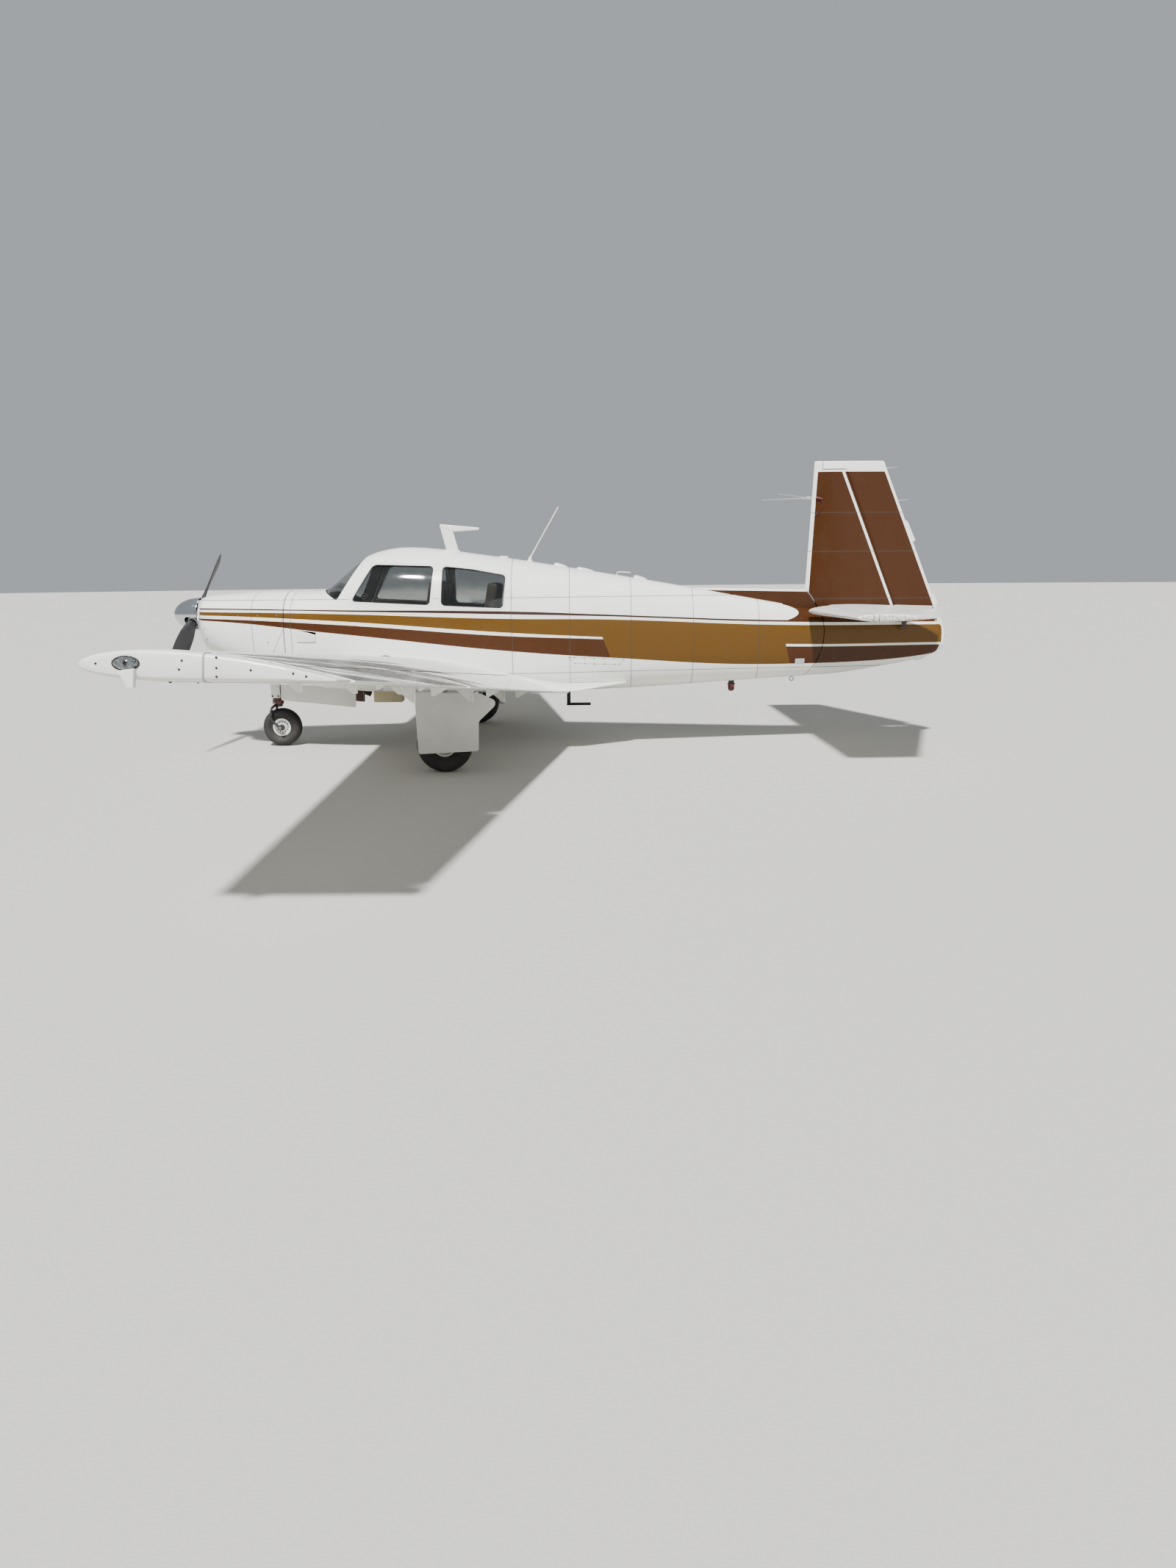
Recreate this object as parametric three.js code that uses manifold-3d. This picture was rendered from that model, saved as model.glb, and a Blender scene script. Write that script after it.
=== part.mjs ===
// Low-wing four-seat light aircraft, standing on its three wheels.
// Millimetres. X runs aft from the nose, Y to the aircraft's right, Z up from the ground.
// Stations are counted from the spinner's tip; one group moves them to the part's own origin.
import * as THREE from 'three';
import { mergeVertices } from 'three/addons/utils/BufferGeometryUtils.js';
import Module from 'manifold-3d';

const wasm = await Module();
wasm.setup();

// Driving dimensions
const length = 7060;
const seamGap = 0.4;
const baggageTurn = 12;
const moveGap = 7;

// Fuselage
const cowlFront = 255;
const firewall = 1135;
const cabinBack = 3090;
const skinCowl = 14;
const skinCabin = 40;
const skinTail = 10;
const tailConeEnd = 5960;
const cowlSplit = 1200;
const fuselageColumns = ['station', 'halfWidth', 'top', 'bottom', 'widest', 'topRound', 'bottomRound'];
const fuselageTable = [
  [255, 130, 1345, 955, 1180, 2.1, 2.1],
  [280, 180, 1360, 930, 1178, 2.2, 2.2],
  [310, 245, 1371, 905, 1172, 2.3, 2.3],
  [345, 315, 1381, 880, 1166, 2.4, 2.35],
  [400, 366, 1391, 850, 1160, 2.5, 2.4],
  [600, 428, 1405, 748, 1140, 2.7, 2.6],
  [850, 478, 1417, 655, 1120, 2.8, 2.9],
  [1135, 522, 1426, 592, 1100, 2.8, 3.2],
  [1430, 552, 1434, 550, 1090, 2.7, 3.5],
  [1600, 563, 1562, 532, 1085, 2.6, 3.6],
  [1756, 570, 1690, 520, 1080, 2.5, 3.7],
  [1908, 574, 1756, 512, 1080, 2.5, 3.8],
  [2137, 576, 1790, 505, 1080, 2.5, 3.8],
  [2478, 570, 1769, 500, 1080, 2.5, 3.8],
  [2762, 556, 1729, 497, 1075, 2.5, 3.8],
  [3090, 528, 1683, 496, 1060, 2.5, 3.7],
  [3490, 470, 1619, 500, 1040, 2.5, 3.5],
  [3950, 402, 1544, 508, 1015, 2.5, 3.2],
  [4437, 332, 1462, 528, 990, 2.5, 3.0],
  [5000, 253, 1360, 560, 960, 2.5, 2.8],
  [5400, 198, 1287, 583, 950, 2.5, 2.7],
  [5750, 152, 1225, 603, 940, 2.5, 2.6],
  [6100, 118, 1176, 628, 930, 2.5, 2.5],
  [6500, 86, 1130, 690, 930, 2.5, 2.4],
  [6800, 62, 1110, 742, 935, 2.4, 2.3],
  [6950, 48, 1098, 792, 945, 2.3, 2.2],
  [7030, 34, 1030, 850, 945, 2.2, 2.2],
];
const ringPoints = 28;

// Wing: one straight taper from the centreline to the cap, leading edge unswept
const wingLeading = 1700;
const wingHalfSpan = 5335;
const wingRootChord = 1917;
const wingTipChord = 1018;
const wingRootHeight = 697;
const wingTipHeight = 1203;
const wingRootAngle = 7;
const wingTipAngle = 4.2;
const wingRootThickness = 0.15;
const wingTipThickness = 0.12;
const wingCamber = 0.018;
const wingCapWidth = 118;
const capRound = 26;
const airfoilSteps = 9;
const jackPadSpan = 2480;
const edgeThickness = 5;

// Root fairing: it fills the corner over the wing root and runs on behind the trailing edge
const fairingColumns = ['station', 'reach', 'high', 'knee', 'edge', 'low'];
const fairingTable = [
  [3100, 560, 705, 676, 660, 600],
  [3300, 590, 655, 628, 606, 560],
  [3516, 625, 622, 575, 549, 541],
  [3650, 600, 612, 570, 549, 541],
  [3900, 450, 603, 585, 573, 565],
  [4100, 335, 600, 597, 593, 583],
];
const fairingKneeIn = 80;
const fairingInner = 150;

// Ailerons and flaps, as shares of the chord and places along the span
const wingHingeShare = 0.765;
const flapInner = 640;
const flapOuter = 3440;
const aileronInner = 3470;
const aileronOuter = 5165;

// Tail group, which turns as one about the trim axis
const trimStation = 5350;
const trimHeight = 1000;
const trimRadius = 553;
const tailLeading = 5750;
const tailHeight = 1196;
const tailHalfSpan = 1790;
const tailRootEdge = 7020;
const tailTipEdge = 6372;
const tailThickness = 0.085;
const elevatorRootHinge = 6612;
const elevatorTipHinge = 6160;
const elevatorInner = 105;
const hornWidth = 120;
const finThickness = 0.075;
const cellMargin = 55;
const cellSkin = 8;
const finTop = 2503;
const finHornHeight = 2438;
const rudderTopHinge = [6091, 2438];
const rudderLowHinge = [6625, 1149];

// Landing gear
const mainStation = 2600;
const mainTrack = 2760;
const mainTyreRadius = 222;
const mainTyreWidth = 155;
const mainRimRadius = 98;
const noseStation = 913;
const noseTrail = 28;
const noseTyreRadius = 175;
const noseTyreWidth = 126;
const noseRimRadius = 82;
const axleRadius = 15;
const noseAxleRadius = 13;
const axleClearance = 1;
const wheelSides = 22;

// Propeller
const hubHeight = 1215;
const propellerRadius = 940;
const propellerStation = 195;
const bladeTilt = 34;
const spinnerBase = 250;
const spinnerRadius = 150;

// Paint and finish
const paint = (color, roughness = 0.35, metalness = 0) =>
  new THREE.MeshStandardMaterial({ color, roughness, metalness });
const white = paint(0xe9e9e4);
const brown = paint(0x6a3c1a);
const polished = paint(0xc8cacb, 0.15, 1);
const black = paint(0x16161a, 0.6);
const rubber = paint(0x1b1b1c, 0.85);
const grey = paint(0x8d9092, 0.5, 0.6);
const glass = paint(0x2a3236, 0.05);
const seatCloth = paint(0x6d6257, 0.9);
const red = paint(0x6e1512, 0.4);
const rusty = paint(0x5a3324, 0.8, 0.4);
const green = paint(0x1d7a4a, 0.2);

// Closed meshes and booleans
const toSolid = (geometry) => {
  const bare = geometry.index ? geometry.clone() : mergeVertices(geometry.clone());
  bare.deleteAttribute('normal');
  bare.deleteAttribute('uv');
  const merged = mergeVertices(bare, 1e-3);
  const body = new wasm.Manifold(new wasm.Mesh({
    numProp: 3,
    vertProperties: new Float32Array(merged.attributes.position.array),
    triVerts: new Uint32Array(merged.index.array),
  }));
  return body;
};

const toGeometry = (body) => {
  const mesh = body.getMesh();
  const geometry = new THREE.BufferGeometry();
  geometry.setAttribute('position', new THREE.BufferAttribute(mesh.vertProperties, 3));
  geometry.setIndex(new THREE.BufferAttribute(mesh.triVerts, 1));
  return geometry;
};

const join = (...bodies) => bodies.reduce((sum, body) => sum.add(body));

const box = (x0, x1, y0, y1, z0, z1) => {
  const geometry = new THREE.BoxGeometry(x1 - x0, y1 - y0, z1 - z0);
  geometry.translate((x0 + x1) / 2, (y0 + y1) / 2, (z0 + z1) / 2);
  return toSolid(geometry);
};

// A side-view outline of [station, height] points, pushed from y0 to y1
const sidePlate = (outline, y0, y1) => {
  const shape = new THREE.Shape(outline.map(([x, z]) => new THREE.Vector2(x, z)));
  const geometry = new THREE.ExtrudeGeometry(shape, { depth: y1 - y0, bevelEnabled: false });
  geometry.rotateX(Math.PI / 2);
  geometry.translate(0, y1, 0);
  return toSolid(geometry);
};

// A straight round bar or cone between two points
const bar = (start, end, startRadius, endRadius = startRadius, sides = 10) => {
  const from = new THREE.Vector3(...start);
  const to = new THREE.Vector3(...end);
  const span = to.clone().sub(from);
  const geometry = new THREE.CylinderGeometry(endRadius, startRadius, span.length(), sides);
  const up = new THREE.Vector3(0, 1, 0);
  geometry.applyQuaternion(new THREE.Quaternion().setFromUnitVectors(up, span.clone().normalize()));
  geometry.translate(...from.add(to).multiplyScalar(0.5).toArray());
  return toSolid(geometry);
};

// A closed body through rings that all have the same number of points
const loft = (rings) => {
  const count = rings[0].length;
  const middle = (ring) => [0, 1, 2].map((k) => ring.reduce((sum, p) => sum + p[k], 0) / count);
  const points = [...rings.flat(), middle(rings[0]), middle(rings[rings.length - 1])];
  const first = rings.length * count;
  const faces = [];
  for (let i = 0; i < count; i += 1) {
    const next = (i + 1) % count;
    const last = (rings.length - 1) * count;
    faces.push(first, next, i, first + 1, last + i, last + next);
    for (let row = 0; row < rings.length - 1; row += 1) {
      const a = row * count + i;
      const b = row * count + next;
      faces.push(a, b, b + count, a, b + count, a + count);
    }
  }
  const geometry = new THREE.BufferGeometry();
  geometry.setAttribute('position', new THREE.Float32BufferAttribute(points.flat(), 3));
  const build = (order) => {
    geometry.setIndex(order);
    return toSolid(geometry);
  };
  const body = build(faces);
  return body.volume() > 0 ? body : build(faces.reverse());
};

const mirrored = (body) => body.mirror([0, 1, 0]);

// A smooth value between the rows of the fuselage table
const fuselageValue = (station, column) => {
  const rows = fuselageTable;
  const last = rows.length - 2;
  let i = rows.findIndex((row, k) => k <= last && station <= rows[k + 1][0]);
  if (i < 0) i = last;
  const slope = (k) => {
    const low = rows[Math.max(k - 1, 0)];
    const high = rows[Math.min(k + 1, rows.length - 1)];
    return (high[column] - low[column]) / (high[0] - low[0]);
  };
  const width = rows[i + 1][0] - rows[i][0];
  const t = (station - rows[i][0]) / width;
  const low = rows[i][column];
  const high = rows[i + 1][column];
  const rise = (high - low) * (3 * t * t - 2 * t * t * t);
  const leave = slope(i) * width * (t * t * t - 2 * t * t + t);
  const arrive = slope(i + 1) * width * (t * t * t - t * t);
  return low + rise + leave + arrive;
};

const fuselageAt = (station) => Object.fromEntries(
  fuselageColumns.map((name, column) => [name, column ? fuselageValue(station, column) : station]),
);

// One ring of the fuselage: a rounded box from two half super-ellipses, moved in by a wall
const fuselageRing = (station, wall = 0) => {
  const row = fuselageAt(station);
  return Array.from({ length: ringPoints }, (_, i) => {
    const angle = (2 * Math.PI * (i + 0.5)) / ringPoints;
    const cos = Math.cos(angle);
    const sin = Math.sin(angle);
    const round = sin > 0 ? row.topRound : row.bottomRound;
    const reach = sin > 0 ? row.top - row.widest : row.widest - row.bottom;
    const y = Math.sign(cos) * Math.abs(cos) ** (2 / round) * (row.halfWidth - wall);
    const z = row.widest + Math.sign(sin) * Math.abs(sin) ** (2 / round) * (reach - wall);
    return [station, y, z];
  });
};

const fuselageBody = (from, to, wall = 0) => {
  const inside = fuselageTable.map((row) => row[0]).filter((x) => x > from + 20 && x < to - 20);
  return loft([from, ...inside, to].map((station) => fuselageRing(station, wall)));
};

// The cabin and tail cone together, grown by a gap, for cutting what stands against them
const mainHull = (gap) => join(
  fuselageBody(firewall, cabinBack, -gap),
  fuselageBody(cabinBack - 1, tailConeEnd, -gap));

// Half the depth of a wing or tail section at a share of its chord
const sectionHalf = (share, chord, thickness) => (edgeThickness / 2) * share
  + 5 * thickness * chord * (0.2969 * Math.sqrt(share) - 0.126 * share
    - 0.3516 * share ** 2 + 0.2843 * share ** 3 - 0.1015 * share ** 4);

// Wing and tail sections: a round nose, a thin edge, and an even share of camber
const airfoilRing = (place, chord, thickness, camber, angle, step = airfoilSteps) => {
  const line = (share) => 4 * camber * share * (1 - share);
  const turn = (angle * Math.PI) / 180;
  const points = [];
  for (let i = 0; i < 2 * step; i += 1) {
    const upper = i < step;
    const t = (upper ? i : 2 * step - i) / step;
    const share = (1 - Math.cos(Math.PI * (1 - t))) / 2;
    const side = upper ? 1 : -1;
    const rise = line(share) * chord + side * sectionHalf(share, chord, thickness);
    const along = share * chord;
    points.push([along * Math.cos(turn) + rise * Math.sin(turn), rise * Math.cos(turn) - along * Math.sin(turn)]);
  }
  const lower = [0, -edgeThickness].map((drop) => [points[0][0], points[0][1] + drop]);
  return [...points, lower[1]].map(([along, rise]) => place(along, rise));
};

const blend = (from, to, share) => from + (to - from) * share;

// The wing is ruled: every line from root to tip is straight
const wingRoot = airfoilRing((along, rise) => [wingLeading + along, 0, wingRootHeight + rise],
  wingRootChord, wingRootThickness, wingCamber, wingRootAngle);
const wingEnd = airfoilRing((along, rise) => [wingLeading + along, wingHalfSpan, wingTipHeight + rise],
  wingTipChord, wingTipThickness, wingCamber, wingTipAngle);
const wingRing = (span) => wingRoot.map((point, i) => point.map(
  (value, k) => blend(value, wingEnd[i][k], span / wingHalfSpan)));

// A point on the wing's camber line at a share of the chord, and half its thickness there
const wingPoint = (span, share) => {
  const ring = wingRing(span);
  const chord = blend(wingRootChord, wingTipChord, span / wingHalfSpan);
  const station = wingLeading + share * chord;
  const crossing = ring.map((p, i) => [p, ring[(i + 1) % ring.length]])
    .filter(([p, q]) => (p[0] - station) * (q[0] - station) < 0)
    .map(([p, q]) => blend(p[2], q[2], (station - p[0]) / (q[0] - p[0])));
  const high = Math.max(...crossing);
  const low = Math.min(...crossing);
  return { point: [station, span, (high + low) / 2], half: (high - low) / 2, low, high };
};

// Splits a wing or tail panel along a hinge line: the panel keeps a hollow that
// the moving surface's round nose turns in, and both ends are square to the hinge
const splitAtHinge = (panel, start, end, startRadius, endRadius, { openEnd = 0, gap = moveGap } = {}) => {
  const from = new THREE.Vector3(...start);
  const to = new THREE.Vector3(...end);
  const along = to.clone().sub(from);
  const reach = along.length();
  along.normalize();
  const aft = new THREE.Vector3(1, 0, 0).addScaledVector(along, -along.x).normalize();
  const across = new THREE.Vector3().crossVectors(along, aft);
  const slab = (inset) => {
    const geometry = new THREE.BoxGeometry(1500, 900, reach - 2 * inset + openEnd);
    geometry.translate(750, 0, (reach + openEnd) / 2);
    geometry.applyMatrix4(new THREE.Matrix4().makeBasis(aft, across, along));
    geometry.translate(...from.toArray());
    return toSolid(geometry);
  };
  const step = (distance) => from.clone().addScaledVector(along, distance).toArray();
  const radius = (distance) => blend(startRadius, endRadius, distance / reach);
  const nose = (inset, extra) => bar(
    step(inset), step(reach - inset), radius(inset) + extra, radius(reach - inset) + extra, 32);
  const fixed = panel.subtract(slab(0)).subtract(nose(-openEnd, gap));
  const moving = panel.intersect(slab(moveGap)).add(nose(moveGap, 0));
  return { fixed, moving };
};

// Turned wheels, on an axle along Y
const turned = (profile, station, side, height, sides) => {
  const points = [...profile, profile[0]].map(([radius, offset]) => new THREE.Vector2(radius, offset));
  const geometry = new THREE.LatheGeometry(points, sides);
  geometry.translate(station, side, height);
  const body = toSolid(geometry);
  if (body.volume() > 0) return body;
  const flipped = mergeVertices(geometry, 1e-3);
  flipped.index.array.reverse();
  return toSolid(flipped);
};

// Tyre and rim outlines as [radius, offset from the wheel's middle plane]
const bothSides = (half) => [...half.map(([r, y]) => [r, -y]), ...half.slice().reverse()];

const tyreProfile = (rim, outer, width) => {
  const wall = outer - rim;
  const shares = [[0, 0.31], [0.28, 0.45], [0.52, 0.5], [0.76, 0.45], [0.93, 0.31], [1, 0.12]];
  return bothSides(shares.map(([rise, side]) => [rim + rise * wall, side * width]));
};

const rimProfile = (bore, outer, half) => bothSides([
  [bore, half], [bore + 26, half * 0.95], [bore + 32, half * 0.36], [outer - 13, half * 0.6], [outer - 13, half],
  [outer, half]]);

const group = new THREE.Group();
group.position.x = -length / 2;
const add = (name, body, material) => {
  const mesh = new THREE.Mesh(toGeometry(body), material);
  mesh.name = name;
  group.add(mesh);
};

// Window, screen and door outlines in side view: [station, height]
const screenOutline = [[1425, 1436], [1600, 1333], [1808, 1700], [1790, 1900], [1200, 1900]];
const frontWindowOutline = [[1728, 1326], [1762, 1322], [2376, 1290], [2404, 1304], [2434, 1600],
  [2420, 1622], [1930, 1638], [1898, 1622]];
const rearWindowOutline = [[2497, 1284], [3002, 1256], [3030, 1272], [3052, 1520], [3034, 1541],
  [2750, 1594], [2530, 1618], [2506, 1600]];
const doorOutline = [[1655, 930], [2452, 930], [2464, 1690], [1880, 1700], [1655, 1262]];
const baggageOutline = [[3170, 1070], [3620, 1070], [3620, 1480], [3170, 1480]];

// The same outline moved inwards by a distance, for a piece that fits inside its opening
const shrunk = (outline, distance) => {
  const centre = [0, 1].map((k) => outline.reduce((sum, p) => sum + p[k], 0) / outline.length);
  const spread = [0, 1].map((k) => Math.max(...outline.map((p) => Math.abs(p[k] - centre[k]))));
  return outline.map((p) => [0, 1].map((k) => centre[k] + (p[k] - centre[k]) * (1 - distance / spread[k])));
};

const reachY = 900;
const right = (outline) => sidePlate(outline, 0, reachY);
const left = (outline) => sidePlate(outline, -reachY, 0);
const both = (outline) => sidePlate(outline, -reachY, reachY);

// The baggage door's cut is square to the tapering side, so that it swings clear
const baggagePlate = (outline) => right(outline).translate([-3395, -385, 0])
  .rotate([0, 0, -baggageTurn]).translate([3395, 385, 0]);

// Cowling in two halves round the engine
const addCowling = () => {
  const hollow = fuselageBody(cowlFront + 60, firewall + 30, skinCowl);
  const shell = fuselageBody(cowlFront, firewall - 4).subtract(hollow);
  const inlets = [1, -1].map((side) => bar([100, side * 190, 1215], [700, side * 190, 1215], 58));
  const shaftHole = bar([100, 0, hubHeight], [700, 0, hubHeight], 70);
  const open = shell.subtract(inlets[0]).subtract(inlets[1]).subtract(shaftHole);
  const legSlot = box(770, firewall + 20, -125, 125, 500, 900);
  const outlet = sidePlate([[1248, 1092], [1412, 1070], [1412, 1046]], -900, -500);
  add('upper_cowling', open.intersect(box(0, 1500, -900, 900, cowlSplit + seamGap, 1600)), white);
  add('lower_cowling', open.intersect(box(0, 1500, -900, 900, 300, cowlSplit)).subtract(legSlot), white);
  const block = box(575, 1095, -345, 345, 922, 1280);
  const shaft = bar([246, 0, hubHeight], [600, 0, hubHeight], 45);
  add('engine_block', block.add(shaft), grey);
  return outlet;
};

// Cabin: hollow, with its screen, windows, door opening and gear bay cut
const addCabin = (outlet) => {
  const outer = fuselageBody(firewall, cabinBack);
  const inner = fuselageBody(firewall + 40, cabinBack - 20, skinCabin);
  const wall = outer.subtract(inner);
  const bay = box(1180, 1660, -165, 165, 400, 800);
  const openings = [both(screenOutline), both(frontWindowOutline), both(rearWindowOutline),
    right(doorOutline), bay, outlet];
  const bellyBox = box(1750, 2010, -330, -210, 452, 530);
  add('cabin_shell', openings.reduce((body, cut) => body.subtract(cut), wall).add(bellyBox), white);

  const pane = fuselageBody(firewall, cabinBack, 10).subtract(fuselageBody(firewall, cabinBack, 18));
  const screen = shrunk(screenOutline, 0.5);
  add('windscreen', pane.intersect(both(screen)), glass);
  add('left_front_window', pane.intersect(left(shrunk(frontWindowOutline, seamGap))), glass);
  add('left_rear_window', pane.intersect(left(shrunk(rearWindowOutline, seamGap))), glass);
  add('right_rear_window', pane.intersect(right(shrunk(rearWindowOutline, seamGap))), glass);

  const skin = outer.subtract(fuselageBody(firewall, cabinBack, 14));
  const lining = fuselageBody(firewall, cabinBack, 14 - 0.2).subtract(inner);
  const leaf = skin.intersect(right(shrunk(doorOutline, 9)));
  const frame = lining.intersect(right(shrunk(doorOutline, 26)));
  add('cabin_door', leaf.add(frame).subtract(both(frontWindowOutline)), white);
  add('door_window', pane.intersect(right(shrunk(frontWindowOutline, seamGap))), glass);

  const bayOuter = box(1180.5, 1659.5, -164.5, 164.5, 560, 790);
  const bayInner = box(1192, 1648, -153, 153, 500, 778);
  add('nose_gear_bay', bayOuter.subtract(bayInner), grey);
};

const addInterior = () => {
  const inside = fuselageBody(firewall + 42, cabinBack - 22, skinCabin + 3);
  const floorSlab = box(1662, 3066, -560, 560, 612, 632).intersect(inside);
  add('cabin_floor', floorSlab, seatCloth);
  const panel = box(1560, 1610, -470, 470, 1010, 1342).intersect(inside);
  const shield = sidePlate([[1470, 1352], [1640, 1330], [1640, 1345], [1470, 1368]], -430, 430);
  const yokes = [1, -1].map((side) => {
    const shaft = bar([1600, side * 250, 1190], [1770, side * 250, 1190], 14);
    const wheel = new THREE.TorusGeometry(120, 13, 6, 16);
    wheel.rotateY(Math.PI / 2);
    wheel.translate(1770, side * 250, 1190);
    const spoke = bar([1770, side * 250 - 118, 1190], [1770, side * 250 + 118, 1190], 12);
    return join(shaft, toSolid(wheel), spoke);
  });
  add('instrument_panel', join(panel, shield.intersect(inside), ...yokes), black);
  const seatSide = [[2060, 640], [2480, 640], [2480, 860], [2540, 1330], [2450, 1350], [2370, 950],
    [1990, 960], [1970, 880], [2060, 860]];
  for (const [name, y] of [['left_seat', -285], ['right_seat', 285]]) {
    add(name, sidePlate(seatSide, y - 225, y + 225).intersect(inside), seatCloth);
  }
  const benchSide = [[2720, 640], [3040, 640], [3060, 1340], [2980, 1350], [2930, 950], [2680, 950], [2680, 860]];
  add('rear_bench', sidePlate(benchSide, -470, 470).intersect(inside), seatCloth);
};

// Tail cone: a shell that ends on an arc about the trim axis
const trimArc = (radius) => bar([trimStation, -700, trimHeight], [trimStation, 700, trimHeight], radius, radius, 72);

const addTailCone = () => {
  const outer = fuselageBody(cabinBack + seamGap, tailConeEnd);
  const inner = fuselageBody(cabinBack - 5, tailConeEnd + 20, skinTail);
  const behindArc = box(trimStation, 6300, -700, 700, 200, 1900).subtract(trimArc(trimRadius));
  const eye = new THREE.TorusGeometry(18, 5, 6, 12);
  eye.rotateX(Math.PI / 2);
  eye.translate(5650, 0, 573);
  const tieDown = toSolid(eye).add(bar([5650, 0, 588], [5650, 0, 612], 6, 6, 8));
  const shell = outer.subtract(inner).subtract(behindArc).subtract(baggagePlate(baggageOutline)).add(tieDown);
  add('tail_cone', shell, white);

  const wall = outer.subtract(inner);
  add('baggage_door', wall.intersect(baggagePlate(shrunk(baggageOutline, 8))), white);

  const ridgeSide = [[4700, 1360], [4745, 1411], [5742, 1386], [5900, 1300], [5900, 1150], [4700, 1150]];
  const ridge = sidePlate(ridgeSide, -16, 16).subtract(fuselageBody(4500, 6000, -seamGap)).subtract(behindArc);
  add('dorsal_ridge', ridge, brown);
};

// Tail group
const addTailGroup = () => {
  const clear = trimArc(trimRadius + moveGap);
  const hollow = fuselageBody(trimStation + 40, 6900, skinTail);
  const body = fuselageBody(trimStation + 50, 7030).subtract(hollow).subtract(clear);
  const lampSeat = bar([7020, 0, 948], [7043, 0, 948], 32, 26);
  add('tail_section', body.add(lampSeat), white);
  const bulb = new THREE.SphereGeometry(16, 16, 10);
  bulb.translate(length - 16, 0, 948);
  add('tail_light', toSolid(bulb).intersect(box(7043.5, 7100, -50, 50, 900, 1000)), glass);

  const finRing = (height, from, to, thickness) => airfoilRing(
    (along, rise) => [from + along, rise, height], to - from, thickness, 0, 0);
  const leadingAt = (height) => blend(5747, 5797, (height - 1384) / (finTop - 1384));
  const trailingAt = (height) => blend(7000, 6413, (height - 1120) / (finTop - 1120));
  const finPanel = loft([1050, finTop - 14, finTop].map((height, i) => finRing(
    height, leadingAt(height) + (i === 2 ? 12 : 0), trailingAt(height), i === 2 ? 0.06 : finThickness)));
  const hull = fuselageBody(5500, 7030, -seamGap);
  const upright = finPanel.subtract(hull).subtract(clear).subtract(box(5000, 7200, -200, 200, 900, 1148));
  const low = [rudderLowHinge[0], 0, rudderLowHinge[1]];
  const high = [rudderTopHinge[0], 0, rudderTopHinge[1]];
  const rise = Math.hypot(high[0] - low[0], high[2] - low[2]);
  const hingeLean = [(high[0] - low[0]) / rise, (high[2] - low[2]) / rise];
  const below = [low[0] - 60 * hingeLean[0], 0, low[2] - 60 * hingeLean[1]];
  const { fixed, moving } = splitAtHinge(upright, below, high, 31, 23, { openEnd: 90, gap: 8 });
  const cellRing = (height) => {
    const rear = blend(low[0], high[0], (height - low[2]) / (high[2] - low[2])) - cellMargin;
    const front = leadingAt(height) + cellMargin;
    return cellOutline(front, rear, trailingAt(height) - leadingAt(height), finThickness)
      .map(([x, half]) => [x, half, height]);
  };
  const cell = loft([cellRing(1050), cellRing(finHornHeight - cellMargin)]);
  const hornSpace = box(5862, 7200, -200, 200, finHornHeight - moveGap - 3, 2700);
  const horn = upright.intersect(box(5862 + moveGap, 7200, -200, 200, finHornHeight + 1, 2700));
  const parts = fixed.subtract(hornSpace).add(finPanel.intersect(box(5600, 6570, -200, 200, 1060, 1160))
    .subtract(hull).subtract(clear));
  add('fin', largest(parts.subtract(cell)), brown);
  const underRudder = box(6000, 7200, -200, 200, 900, rudderLowHinge[1]);
  add('rudder', largest(moving.subtract(underRudder).add(horn)), brown);
  return { hull, clear };
};

// The hollow of a tail surface: [station, half depth] points from front to rear and back again
const cellOutline = (front, rear, chord, thickness) => {
  const shares = [0, 0.35, 1];
  const half = (share) => {
    const along = (cellMargin + share * (rear - front)) / chord;
    return sectionHalf(along, chord, thickness) - cellSkin;
  };
  const side = (sign) => shares.map((share) => [blend(front, rear, share), sign * half(share)]);
  return [...side(-1), ...side(1).reverse()];
};

const largest = (body) => body.decompose().sort((a, b) => b.volume() - a.volume())[0];

const tailRing = (span) => {
  const chord = blend(tailRootEdge, tailTipEdge, span / tailHalfSpan) - tailLeading;
  const place = (along, rise) => [tailLeading + along, span, tailHeight + rise];
  return airfoilRing(place, chord, tailThickness, 0, 0);
};

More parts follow.
